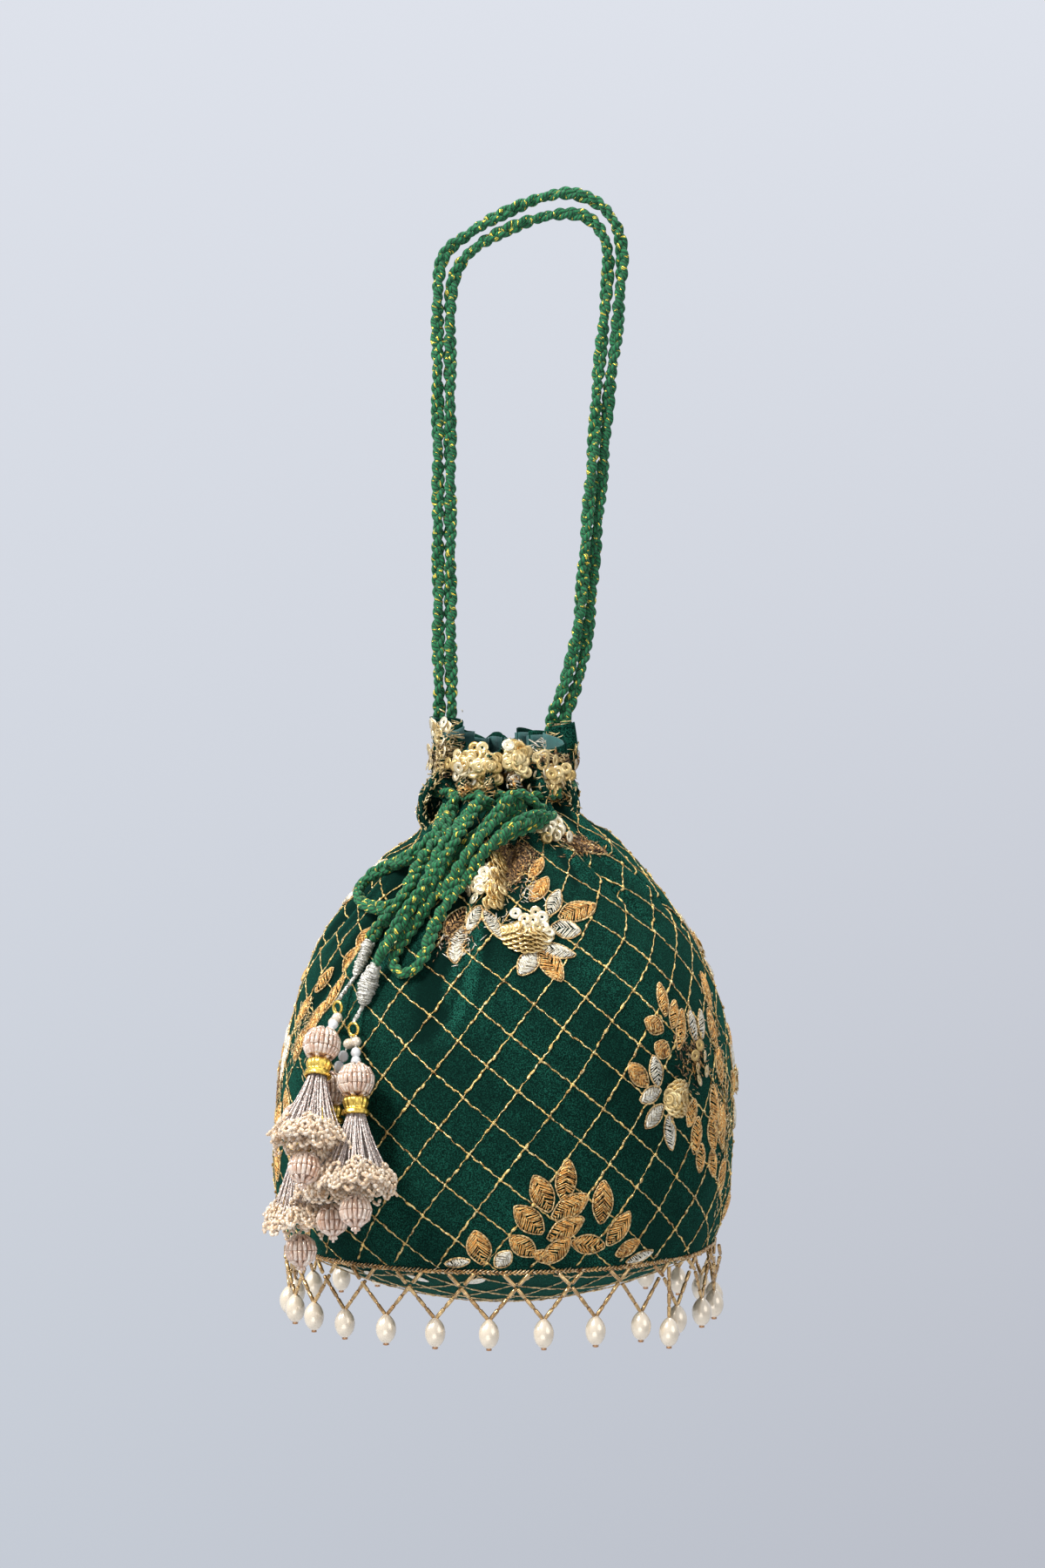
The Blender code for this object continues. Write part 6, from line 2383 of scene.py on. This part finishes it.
@dataclass
class Embroidery:
    """Everything that is sewn on the velvet: the grid, leaves, sequins and their threads."""

    grid_origin: tuple[float, float] = (49.15, 76.94)
    grid_first: tuple[float, float] = (12.18, 9.36)
    grid_second: tuple[float, float] = (-8.782, 11.70)
    stitch_run: float = 2.3
    stitch_width: float = 0.68
    stitch_height: float = 0.5
    pad_height: float = 1.05
    leaf_fit: tuple[float, float] = (1.07, 0.98)
    satin_step: float = 0.74
    disc: float = 4.9
    loose_tilt: tuple[float, float] = (4, 18)
    # Sequins less than this many millimetres below the neck lie off the plain side, so far inside it
    neck_reach: float = 10.0
    neck_inset: float = 0.001
    net_pitch: float = 15.0
    net_turns: tuple[float, float] = (0.6, 2.3)
    tear: float = 0.009
    # Widths and heights of the threads
    satin_thread: tuple[float, float] = (0.52, 0.6)
    outline_thread: tuple[float, float] = (0.7, 0.85)
    end_thread: tuple[float, float] = (0.36, 0.42)
    knot_thread: tuple[float, float] = (1.2, 0.8)

    def on_flat(self, spots: Array) -> Array:
        """Points of the flat cloth and off it in millimetres, laid on the pouch.

        Args:
            spots: Places along the cloth, down it and off it.

        Returns:
            The points.
        """
        along = (spots[..., 0] + CLOTH.width / 2) % CLOTH.width - CLOTH.width / 2
        down = spots[..., 1]
        point, _, _, out = FORM.faced(CLOTH.angle(along, down), CLOTH.z(np.clip(down, 0, CLOTH.depth)))
        return point + out * (spots[..., 2] * MM)[..., None]

    def on_base(self, spots: Array) -> Array:
        """Points under the base, given across it and off it in millimetres."""
        x, y, off = (spots[..., k] * MM for k in range(3))
        share = np.minimum(np.hypot(x, y) / FORM.rim_radius, 1)
        return np.stack([FORM.axis_x + x, y, FORM.base_z(share) - FORM.fabric * 0.4 - off], axis=-1)

    def strokes(
        self, name: str, starts: Array, ends: Array, widths: Array | float, heights: Array | float
    ) -> Array:
        """A pattern's points along flat strokes.

        Args:
            name: The stitch's pattern.
            starts: Where each stroke starts: two flat measures and its height, in millimetres.
            ends: Where each ends.
            widths: How wide each is, or all are.
            heights: How high each is, or all are.

        Returns:
            The points, as (strokes, points, 3).
        """
        spots = PATTERNS.get(name).points
        share = (spots[:, 0] - spots[:, 0].min()) / np.ptp(spots[:, 0])
        widths, heights = (np.broadcast_to(value, len(starts))[:, None] for value in (widths, heights))
        run = ends - starts
        length = np.maximum(np.hypot(run[:, 0], run[:, 1]), 1e-6)
        left = np.stack([-run[:, 1], run[:, 0], 0 * length], axis=1) / length[:, None]
        made = starts[:, None] + run[:, None] * share[None, :, None]
        made = made + left[:, None] * (spots[None, :, 1] * widths)[..., None]
        made[..., 2] += (spots[None, :, 2] + 0.35) * heights
        return made

    def sewn(
        self, name: str, pattern: str, spots: Array, finish: Finish, tones: Array | None = None
    ) -> None:
        """Makes one piece of stitches, without those that a fold or the cloth's seam would tear.

        Args:
            name: The piece's name.
            pattern: The pattern that its stitches copy.
            spots: The stitches' points, as (stitches, points, 3).
            finish: Its finish.
            tones: The stitches' tones, or None for any.
        """
        if tones is None:
            tones = BENCH.chance.random(len(spots))
        whole = np.ptp(spots, axis=1).max(axis=1) < self.tear
        painted(PATTERNS.get(pattern).laid(name, spots[whole], tones[whole]), finish, "bag")

    def line(self, base: Array, direction: Array, length: float, plump: float) -> tuple[Array, ...]:
        """One couched line of thread on the flat.

        Args:
            base: Where it starts.
            direction: The way it runs.
            length: How long it is.
            plump: How much its stitches differ.

        Returns:
            The stitches' starts, ends, widths and heights.
        """
        chance = BENCH.chance
        count = int(length / self.stitch_run)
        run = np.arange(count) * self.stitch_run + chance.normal(0, 0.12, count)
        across = np.array([-direction[1], direction[0]])
        start = base + direction * run[:, None] + across * chance.normal(0, 0.13, count)[:, None]
        slant = across * (0.2 * (-1) ** np.arange(count))[:, None]
        reach = self.stitch_run * chance.uniform(1.0, 1.3, count)[:, None]
        starts, ends = start - slant, start + direction * reach + slant
        full = np.clip(1 + plump * chance.standard_normal(count), 0.4, 2.0)
        flat = [np.column_stack([spots, np.zeros(count)]) for spots in (starts, ends)]
        return flat[0], flat[1], self.stitch_width * full, self.stitch_height * full

    def grid(self) -> None:
        """Sews the slanting grid over the whole side, with a knot where two lines cross."""
        first, second = np.array(self.grid_first), np.array(self.grid_second)
        origin = np.array(self.grid_origin)
        for name, step, other, count, plump in (
            ("rising", first, second, 24, 0.22), ("falling", second, first, 30, 0.45),
        ):
            lines = []
            for line in range(count):
                base = origin + other * line
                base = base + step * ((2.0 - base[1]) / step[1])
                length = (CLOTH.depth - 3.0) / step[1] * np.linalg.norm(step)
                lines.append(self.line(base, unit(step), float(length), plump))
            rows = [np.concatenate(part) for part in zip(*lines)]
            self.sewn(f"grid_{name}", "stitch", self.on_flat(self.strokes("stitch", *rows)), GRID_THREAD)
        i, j = (v.ravel()[:, None] for v in np.meshgrid(np.arange(-44, 45), np.arange(-60, 61)))
        knots = origin + first * i + second * j
        level = (knots[:, 1] > 4) & (knots[:, 1] < CLOTH.depth - 4)
        knots = knots[level & (np.abs(knots[:, 0]) < CLOTH.width / 2)]
        flat = np.column_stack([knots, np.full(len(knots), 0.3)])
        turn = BENCH.chance.uniform(0, math.tau, len(flat))
        half = np.stack([np.cos(turn), np.sin(turn), 0 * turn], axis=1) * 0.8
        knotted = self.strokes("stitch", flat - half, flat + half, *self.knot_thread)
        self.sewn("grid_knots", "stitch", self.on_flat(knotted), GRID_THREAD)

    def net(self) -> None:
        """Sews the wide net and its small leaves under the base."""
        lines, reach = [], FORM.rim_radius / MM - 3
        for turn in self.net_turns:
            way = np.array([math.cos(turn), math.sin(turn)])
            across = np.array([-way[1], way[0]])
            for offset in np.arange(-reach + 5, reach, self.net_pitch):
                half = math.sqrt(reach**2 - offset**2)
                lines.append(self.line(across * offset - way * half, way, 2 * half, 0.2))
        rows = [np.concatenate(part) for part in zip(*lines)]
        self.sewn("net_base", "stitch", self.on_base(self.strokes("stitch", *rows)), EDGE_THREAD)
        turn = np.radians(np.arange(-178, 180, 9.0))
        ring = np.stack([np.sin(turn), -np.cos(turn), 0 * turn], axis=1)
        side = np.stack([np.cos(turn), np.sin(turn), 0 * turn], axis=1)
        leaf = PATTERNS.get("leaf").points
        size = BENCH.chance.uniform(0.7, 1.2, len(turn))[:, None, None]
        lean = BENCH.chance.uniform(-0.9, 0.9, len(turn))[:, None]
        run = side * np.cos(lean) - ring * np.sin(lean)
        left = side * np.sin(lean) + ring * np.cos(lean)
        local = ring[:, None] * 75 + run[:, None] * leaf[None, :, :1] * 11 * size
        local = local + left[:, None] * leaf[None, :, 1:2] * 5.5 * size
        local[..., 2] = leaf[:, 2] * 0.7
        self.sewn("leaf_base", "leaf", self.on_base(local), SILVERY)

    def centres(self, rows: Array) -> Array:
        """What ClothMap.laid takes, from degrees, millimetres below the neck and headings."""
        down = CLOTH.down(np.maximum(rows[:, 1], 0)) + np.minimum(rows[:, 1], 0)
        return np.stack([np.radians(rows[:, 0]), down, rows[:, 2]], axis=1)

    def leaves(self, name: str, leaves: Sequence[Sequence[float]], finish: Finish, edge: Finish) -> None:
        """Sews padded leaves: their filling, in low tones as painted shade between the threads, slanting
        satin threads and an outline.

        Args:
            name: What the pieces are named after.
            leaves: The leaves of one thread.
            finish: Its finish.
            edge: The outline's finish.
        """
        table = np.array(leaves, float)
        centres, sizes = self.centres(table), table[:, 3:5] * self.leaf_fit
        high = np.full(len(sizes), 0.9 * self.pad_height)
        local = PATTERNS.get("leaf").points * np.column_stack([sizes * (1, 0.94), high])[:, None]
        local[..., 2] -= 0.05
        tones = BENCH.chance.random(len(leaves)) * 0.4
        padding = CLOTH.laid(centres, local)
        # Painted shade: the padding takes low tones, so that it shows dark between the satin threads.
        self.sewn(f"leaf_padding_{name}", "leaf", padding, finish, tones * 0.3)
        starts, ends, which = self.drawn(sizes, self.satin)
        local = self.strokes("thread", starts, ends, *self.satin_thread)
        spots = PATTERNS.get("thread").points[:, 0]
        share = (spots - spots.min()) / np.ptp(spots)
        local[..., 2] += (ends - starts)[:, None, 2] * (np.sin(share * np.pi / 2) ** 0.8 - share)[None]
        tones = tones[which] * 0.6 + BENCH.chance.uniform(0, 1.0, len(which))
        self.sewn(f"leaf_satin_{name}", "thread", CLOTH.laid(centres[which], local), finish, tones)
        starts, ends, which = self.drawn(sizes, self.outline)
        local = self.strokes("stitch", starts, ends, *self.outline_thread)
        self.sewn(f"leaf_outline_{name}", "stitch", CLOTH.laid(centres[which], local), edge)

    def drawn(
        self, sizes: Array, draw: Callable[[float, float], tuple[Array, Array]]
    ) -> tuple[Array, Array, Array]:
        """Draws one kind of stitch on every leaf.

        Args:
            sizes: The leaves' lengths and widths.
            draw: What gives one leaf's stitches.

        Returns:
            Where the stitches start and end, and which leaf each is on.
        """
        made = [draw(*size) for size in sizes]
        which = np.repeat(np.arange(len(made)), [len(starts) for starts, _ in made])
        starts, ends = (np.concatenate(part) for part in zip(*made))
        return starts, ends, which

    def satin(self, length: float, width: float) -> tuple[Array, Array]:
        """Where one leaf's satin threads start, on its edge, and end, on its midrib.

        Args:
            length: The leaf's length in millimetres.
            width: Its width.

        Returns:
            The starts and the ends.
        """
        chance = BENCH.chance
        steps = np.arange(0.03, 0.93, self.satin_step / length)
        lean = chance.uniform(0.5, 1.0)
        half = np.interp(steps, np.linspace(0, 1, len(LEAF_WIDTHS)), LEAF_WIDTHS) * width / 2
        x = (steps - 0.5) * length
        starts, ends = [], []
        for side in (-1, 1):
            foot = x + chance.normal(0, 0.2, len(x))
            starts.append(np.stack([foot, side * half * 0.98, 0.08 + 0 * x], axis=1))
            tip = np.minimum(x + half * lean + 0.3 + chance.normal(0, 0.34, len(x)), length / 2 * 0.96)
            top = self.pad_height * (0.4 + 0.6 * half / (width / 2))
            ends.append(np.stack([tip, side * chance.uniform(-0.5, 0.1, len(x)), top], axis=1))
        return np.concatenate(starts), np.concatenate(ends)

    def outline(self, length: float, width: float) -> tuple[Array, Array]:
        """Where the stitches round one leaf start and end.

        Args:
            length: The leaf's length in millimetres.
            width: Its width.

        Returns:
            The starts and the ends.
        """
        half = np.array(LEAF_WIDTHS) * width / 2 + 0.25
        x = (np.linspace(0, 1, len(LEAF_WIDTHS)) - 0.5) * length * 1.06
        loop = np.concatenate([np.stack([x, half], 1), np.stack([x, -half], 1)[::-1], [[x[0], half[0]]]])
        points = evenly(np.column_stack([loop, np.zeros(len(loop))]), 1.75)
        points[:, 2] = 0.02
        return points[:-1], points[1:] + (points[1:] - points[:-1]) * 0.14

    def discs(self, name: str, rows: Sequence[Sequence[float]], finish: Finish) -> None:
        """Sews sequins.

        Args:
            name: The piece's name.
            rows: Each disc's angle, millimetres below the neck and above the cloth and, where it
                isn't nearly flat, its tilt and the way that it leans, in degrees, where 0 is down.
            finish: Their finish.
        """
        chance = BENCH.chance
        given = [(*row, chance.uniform(*self.loose_tilt), chance.uniform(0, 360))[:5] for row in rows]
        table = np.array(given, float)
        angle = np.radians(table[:, 0])
        z = CLOTH.z(CLOTH.down(np.maximum(table[:, 1], 0))) - np.minimum(table[:, 1], 0) * MM
        point, _, _, out = FORM.faced(angle, z)
        neck = (table[:, 1] < self.neck_reach)[:, None]
        radial = np.stack([np.sin(angle), -np.cos(angle), 0 * angle], axis=1)
        axis = np.stack([0 * z + FORM.axis_x, 0 * z, z], axis=1)
        puffed = radial * (FORM.side_radius(z) - self.neck_inset)[:, None] + axis
        point, out = np.where(neck, puffed, point), np.where(neck, radial, out)
        right = unit(np.cross([0.0, 0, 1], out))
        low = np.cross(out, right)
        way, tilt = np.radians(table[:, 4:5]), np.radians(table[:, 3:4])
        lean = right * np.sin(way) - low * np.cos(way)
        normal = unit(out * np.cos(tilt) + lean * np.sin(tilt))
        origins = point + out * (table[:, 2:3] * MM)
        placed = stands(origins, np.cross(normal, low), normal, (self.disc * MM,) * 3)
        painted(PATTERNS.get("sequin").copied(name, placed, chance.random(len(table))), finish, "bag")

    def ends(self, name: str, patches: Sequence[Sequence[float]], finish: Finish) -> None:
        """Sews short ends of thread, crossing all ways, over patches of the cloth.

        Args:
            name: The piece's name after ends_.
            patches: Each patch's angle, place below the neck, reaches and count.
            finish: Their finish.
        """
        chance = BENCH.chance
        table = np.array([patch[:4] for patch in patches for _ in range(patch[4])], float)
        count = len(table)
        rows = table[:, :2] + table[:, 2:] * np.clip(chance.normal(0, 0.52, (count, 2)), -1.3, 1.3)
        centres = self.centres(np.column_stack([rows, chance.uniform(0, 360, count)]))
        half, lift = chance.uniform(0.7, 1.7, count), chance.uniform(0, 0.9, count)
        starts = np.stack([-half, chance.normal(0, 0.3, count), lift], axis=1)
        ends = np.stack([half, chance.normal(0, 0.3, count), lift * chance.random(count)], axis=1)
        local = self.strokes("stitch", starts, ends, *self.end_thread)
        self.sewn(f"ends_{name}", "stitch", CLOTH.laid(centres, local), finish)

    def sprays(self) -> tuple[list[Row], list[Row], list[Row]]:
        """The leaves and discs of the motifs on the flanks and the back.

        Returns:
            The rows of copper leaves, of silver leaves and of discs.
        """
        copper, silver, discs = [], [], []
        for angle, below, heading, size in SPRAYS:
            turn = math.radians(heading)
            for k, (ahead, left, way) in enumerate(SPRAY_LEAVES):
                right = (ahead * math.sin(turn) - left * math.cos(turn)) * size
                up = (ahead * math.cos(turn) + left * math.sin(turn)) * size
                leaf = (*FORM.beside(angle, below, right, up), heading - way, 13 * size, 7 * size)
                (silver if k in (1, 4, 5) else copper).append(leaf)
            discs += Rings(angle, below, (2.6, 4.2), (0, 360), 0.6).discs()
            discs.append((angle, below, 2.0))
        return copper, silver, discs

    def build(self) -> None:
        """Sews the whole embroidery."""
        self.grid()
        self.net()
        copper, silver, discs = self.sprays()
        self.leaves("copper", [*COPPER_LEAVES, *copper], COPPER, EDGE_THREAD)
        self.leaves("silver", [*SILVER_LEAVES, *silver], SILVERY, EDGE_THREAD)
        self.leaves("brown", BROWN_LEAVES, BROWN, OLIVE)
        for name, patches, finish in (
            ("brown", BROWN_ENDS, BROWN), ("gold", GOLD_ENDS, OLIVE), ("copper", COPPER_ENDS, COPPER),
            ("silver", SILVER_ENDS, SILVERY),
        ):
            self.ends(name, patches, finish)
        gold = [disc for pile in GOLD_PILES for disc in pile.discs()]
        angles = np.arange(72, 290, 2.6)
        band = [(a, -2.5 - 3.1 * (k % 5), 0.9 + 0.5 * (k % 3)) for k, a in enumerate(angles)]
        self.discs("sequins_gold", [*GOLD_DISCS, *gold, *band[::2]], SEQUIN)
        # The paler sequins are painted light: lit copies of the gold ones.
        pale = [disc for pile in PALE_PILES for disc in pile.discs()]
        self.discs("sequins_pale", [*PALE_DISCS, *pale], PALE_SEQUIN)
        self.discs("sequins_back", [*discs, *band[1::2]], SEQUIN)


@dataclass
class NeckFold:
    """A fold of the cloth that stands out beside the drawn neck, with lace along its front edge."""

    name: str
    route: tuple[tuple[float, float], ...]
    front: float = -0.0135
    thick: float = 0.0014
    deep: float = 0.0048
    step: float = 0.0007
    lace_pitch: float = 0.00045
    least_stitch: tuple[float, float, float] = (0.0016, 0.0005, 0.0004)
    most_stitch: tuple[float, float, float] = (0.003, 0.0007, 0.0006)

    def build(self) -> None:
        """Makes the rolled fold and its lace."""
        points = [(x * MM + FORM.axis_x, self.front, z * MM + FORM.neck_z) for x, z in self.route]
        route = smooth_route(np.array(points), self.step)
        run = unit(np.gradient(route, axis=0))
        depth = np.array([0.0, 1.0, 0.0])
        turn, share = circle(20), np.linspace(0, 1, len(route))
        taper = (np.clip(np.minimum(share, 1 - share) / 0.2, 0.04, 1) ** 0.5)[:, None, None]
        swell = (1 + 0.14 * np.sin(np.arange(len(route)) * 0.45))[:, None, None] * taper
        around = np.cross(run, depth)[:, None] * (self.thick * np.cos(turn))[:, None] * swell
        rings = route[:, None] + around + depth * (self.deep * np.sin(turn))[:, None] * taper
        length = float(distances(route)[-1])
        fold = painted(tube_sheet(rings, None, f"neck_fold_{self.name}"), VELVET, "bag")
        self.lace(route, length)

    def lace(self, route: Array, length: float) -> None:
        """Sews loose stitches along the fold's front edge.

        Args:
            route: The fold's centre line.
            length: Its length.
        """
        chance = BENCH.chance
        count = int(length / self.lace_pitch)
        spots = evenly(route, length / (count - 1))[:count]
        run = unit(np.gradient(spots, axis=0))
        out = np.cross(run, [0.0, 1.0, 0.0])
        spots = spots + out * chance.uniform(-1, 1, (count, 1)) * self.thick
        spots[:, 1] -= self.deep * 0.9
        along = run + chance.normal(0, 0.7, spots.shape) * [1, 0.3, 1]
        sizes = chance.uniform(self.least_stitch, self.most_stitch, (count, 3))
        placed = stands(spots, along, (0.0, -1.0, 0.0), sizes)
        lace = PATTERNS.get("stitch").copied(f"neck_fold_lace_{self.name}", placed, chance.random(count))
        painted(lace, OLIVE, "bag")


NECK_FOLDS = (
    NeckFold(
        "left", ((-23, 7), (-27, 2.5), (-30.6, -3), (-32, -9), (-30.8, -14), (-27, -17.4), (-22, -18)),
        thick=0.0021,
    ),
    NeckFold(
        "left_inner", ((-25, 4), (-26.5, -2), (-27, -8), (-26, -14), (-23, -18)), -0.0065, 0.0042, 0.003
    ),
    NeckFold(
        "right", ((23, 3.5), (26.6, 0), (28.6, -5.5), (29, -11), (26.6, -15), (21.5, -17)), thick=0.0019
    ),
    NeckFold("right_inner", ((22, 3), (24, -3), (24.6, -9), (22, -15)), -0.0065, 0.004, 0.003),
)


# The background is painted light: lightest at the top and lighter on the left than on the right, as the
# light falls off across it.
class Background(Enum):
    """What the camera sees behind the bag, by place in the photograph."""

    UPPER = srgb(222, 226, 235)
    LOWER_LEFT = srgb(196, 202, 212)
    LOWER_RIGHT = srgb(184, 188, 198)


@dataclass(frozen=True)
class Lamp:
    """A soft area lamp, aimed at the bag's middle."""

    name: str
    place: tuple[float, float, float]
    size: float
    watts: float
    colour: Colour = (1.0, 1.0, 1.0)


@dataclass
class Studio:
    """The camera, lamps, floor and background."""

    camera_place: tuple[float, float, float] = (-0.0175, -1.28, -0.2265)
    lens: float = 73.14
    middle: tuple[float, float, float] = (-0.0256, 0.0, -0.3)
    floor_z: float = -1.0
    world_strength: float = 0.34
    lamps: tuple[Lamp, ...] = (
        Lamp("key_lamp", (-0.95, -0.85, 1.0), 0.5, 36.0, (1.0, 0.985, 0.96)),
        Lamp("side_lamp", (-1.5, -0.25, 0.45), 0.6, 8.0),
        Lamp("fill_lamp", (1.1, -1.0, 0.1), 1.1, 4.5),
        Lamp("top_lamp", (0.3, 0.3, 1.3), 0.8, 15.0),
        Lamp("low_lamp", (-0.2, -1.0, -0.9), 0.8, 2.5),
    )

    def camera(self) -> None:
        """Stands the camera where the photograph was taken from."""
        data = bpy.data.cameras.new("camera")
        data.lens = self.lens
        camera = bpy.data.objects.new("camera", data)
        camera.location = self.camera_place
        camera.rotation_euler = (math.pi / 2, 0, 0)
        bpy.context.scene.collection.objects.link(camera)
        bpy.context.scene.camera = camera

    def lights(self) -> None:
        """Hangs the lamps and colours the world."""
        for lamp in self.lamps:
            data = bpy.data.lights.new(lamp.name, "AREA")
            data.shape, data.size, data.energy, data.color = "DISK", lamp.size, lamp.watts, lamp.colour
            light = bpy.data.objects.new(lamp.name, data)
            light.location = lamp.place
            way = Vector(self.middle) - Vector(lamp.place)
            light.rotation_euler = way.to_track_quat("-Z", "Y").to_euler()
            bpy.context.scene.collection.objects.link(light)

    def world(self) -> None:
        """Gives the world its soft light, and its own colours where the camera or gloss sees it."""
        world = bpy.data.worlds.new("studio")
        graph = Graph(world)
        graph.tree.nodes.clear()
        bpy.context.scene.world = world
        seen_from = graph.node("ShaderNodeTexCoord").outputs["Generated"]
        split = graph.node("ShaderNodeSeparateXYZ", None, {0: seen_from})
        # Painted light on the background: lighter upwards and towards the left.
        across = Maths(graph, split.outputs[0]).between(-0.16, 0.16)
        upward = Maths(graph, split.outputs[2]).between(-0.26, 0.24)
        low = graph.mix(across, Background.LOWER_LEFT.value, Background.LOWER_RIGHT.value)
        whole = graph.mix(upward, low, Background.UPPER.value)
        seen = graph.node("ShaderNodeBackground", None, {0: whole})
        light = graph.node("ShaderNodeBackground", None, {0: (0.92, 0.95, 1.0), 1: self.world_strength})
        path = graph.node("ShaderNodeLightPath")
        shown = Maths(graph, path.outputs["Is Camera Ray"])
        for ray in ("Is Transmission Ray", "Is Glossy Ray"):
            shown = shown.apply("MAXIMUM", path.outputs[ray])
        inputs = {0: shown, 1: light.outputs[0], 2: seen.outputs[0]}
        final = graph.node("ShaderNodeMixShader", None, inputs)
        graph.node("ShaderNodeOutputWorld", None, {0: final.outputs[0]})

    def floor(self) -> None:
        """Lays the pale floor, well below the bag."""
        shape = BENCH.start(
            bpy.ops.mesh.primitive_circle_add, vertices=96, radius=1.35, fill_type="NGON",
            location=(self.middle[0], 0.0, self.floor_z),
        )
        bpy.ops.mesh.inset(thickness=0.06)
        BENCH.done(shape, None)
        shape.name = "floor"
        material = bpy.data.materials.new("floor_pale")
        graph = Graph(material)
        grain = graph.noise(40.0, 3.0)
        graph.dress(
            Base_Color=graph.mix(grain * 0.3, srgb(206, 210, 218), srgb(196, 200, 208)), Roughness=0.9,
            Normal=graph.bump(grain, 0.0004, 0.3),
        )
        shape.data.materials.append(material)


def main() -> None:
    logging.basicConfig(level=logging.INFO, format="%(name)s: %(message)s")
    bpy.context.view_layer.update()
    scene = bpy.context.scene
    scene.view_settings.view_transform = "Standard"
    BENCH.deselect()
    studio = Studio()
    studio.camera()
    cord = Drawcord()
    cord.build()
    Pouch().build()
    trim = RimTrim()
    trim.build()
    Fringe(trim).build()
    Binding(cord).build()
    for name in TASSELS:
        Tassel(name).build()
    Embroidery().build()
    for fold in NECK_FOLDS:
        fold.build()
    studio.lights()
    studio.world()
    studio.floor()
    BENCH.deselect()


if __name__ == "__main__":
    main()
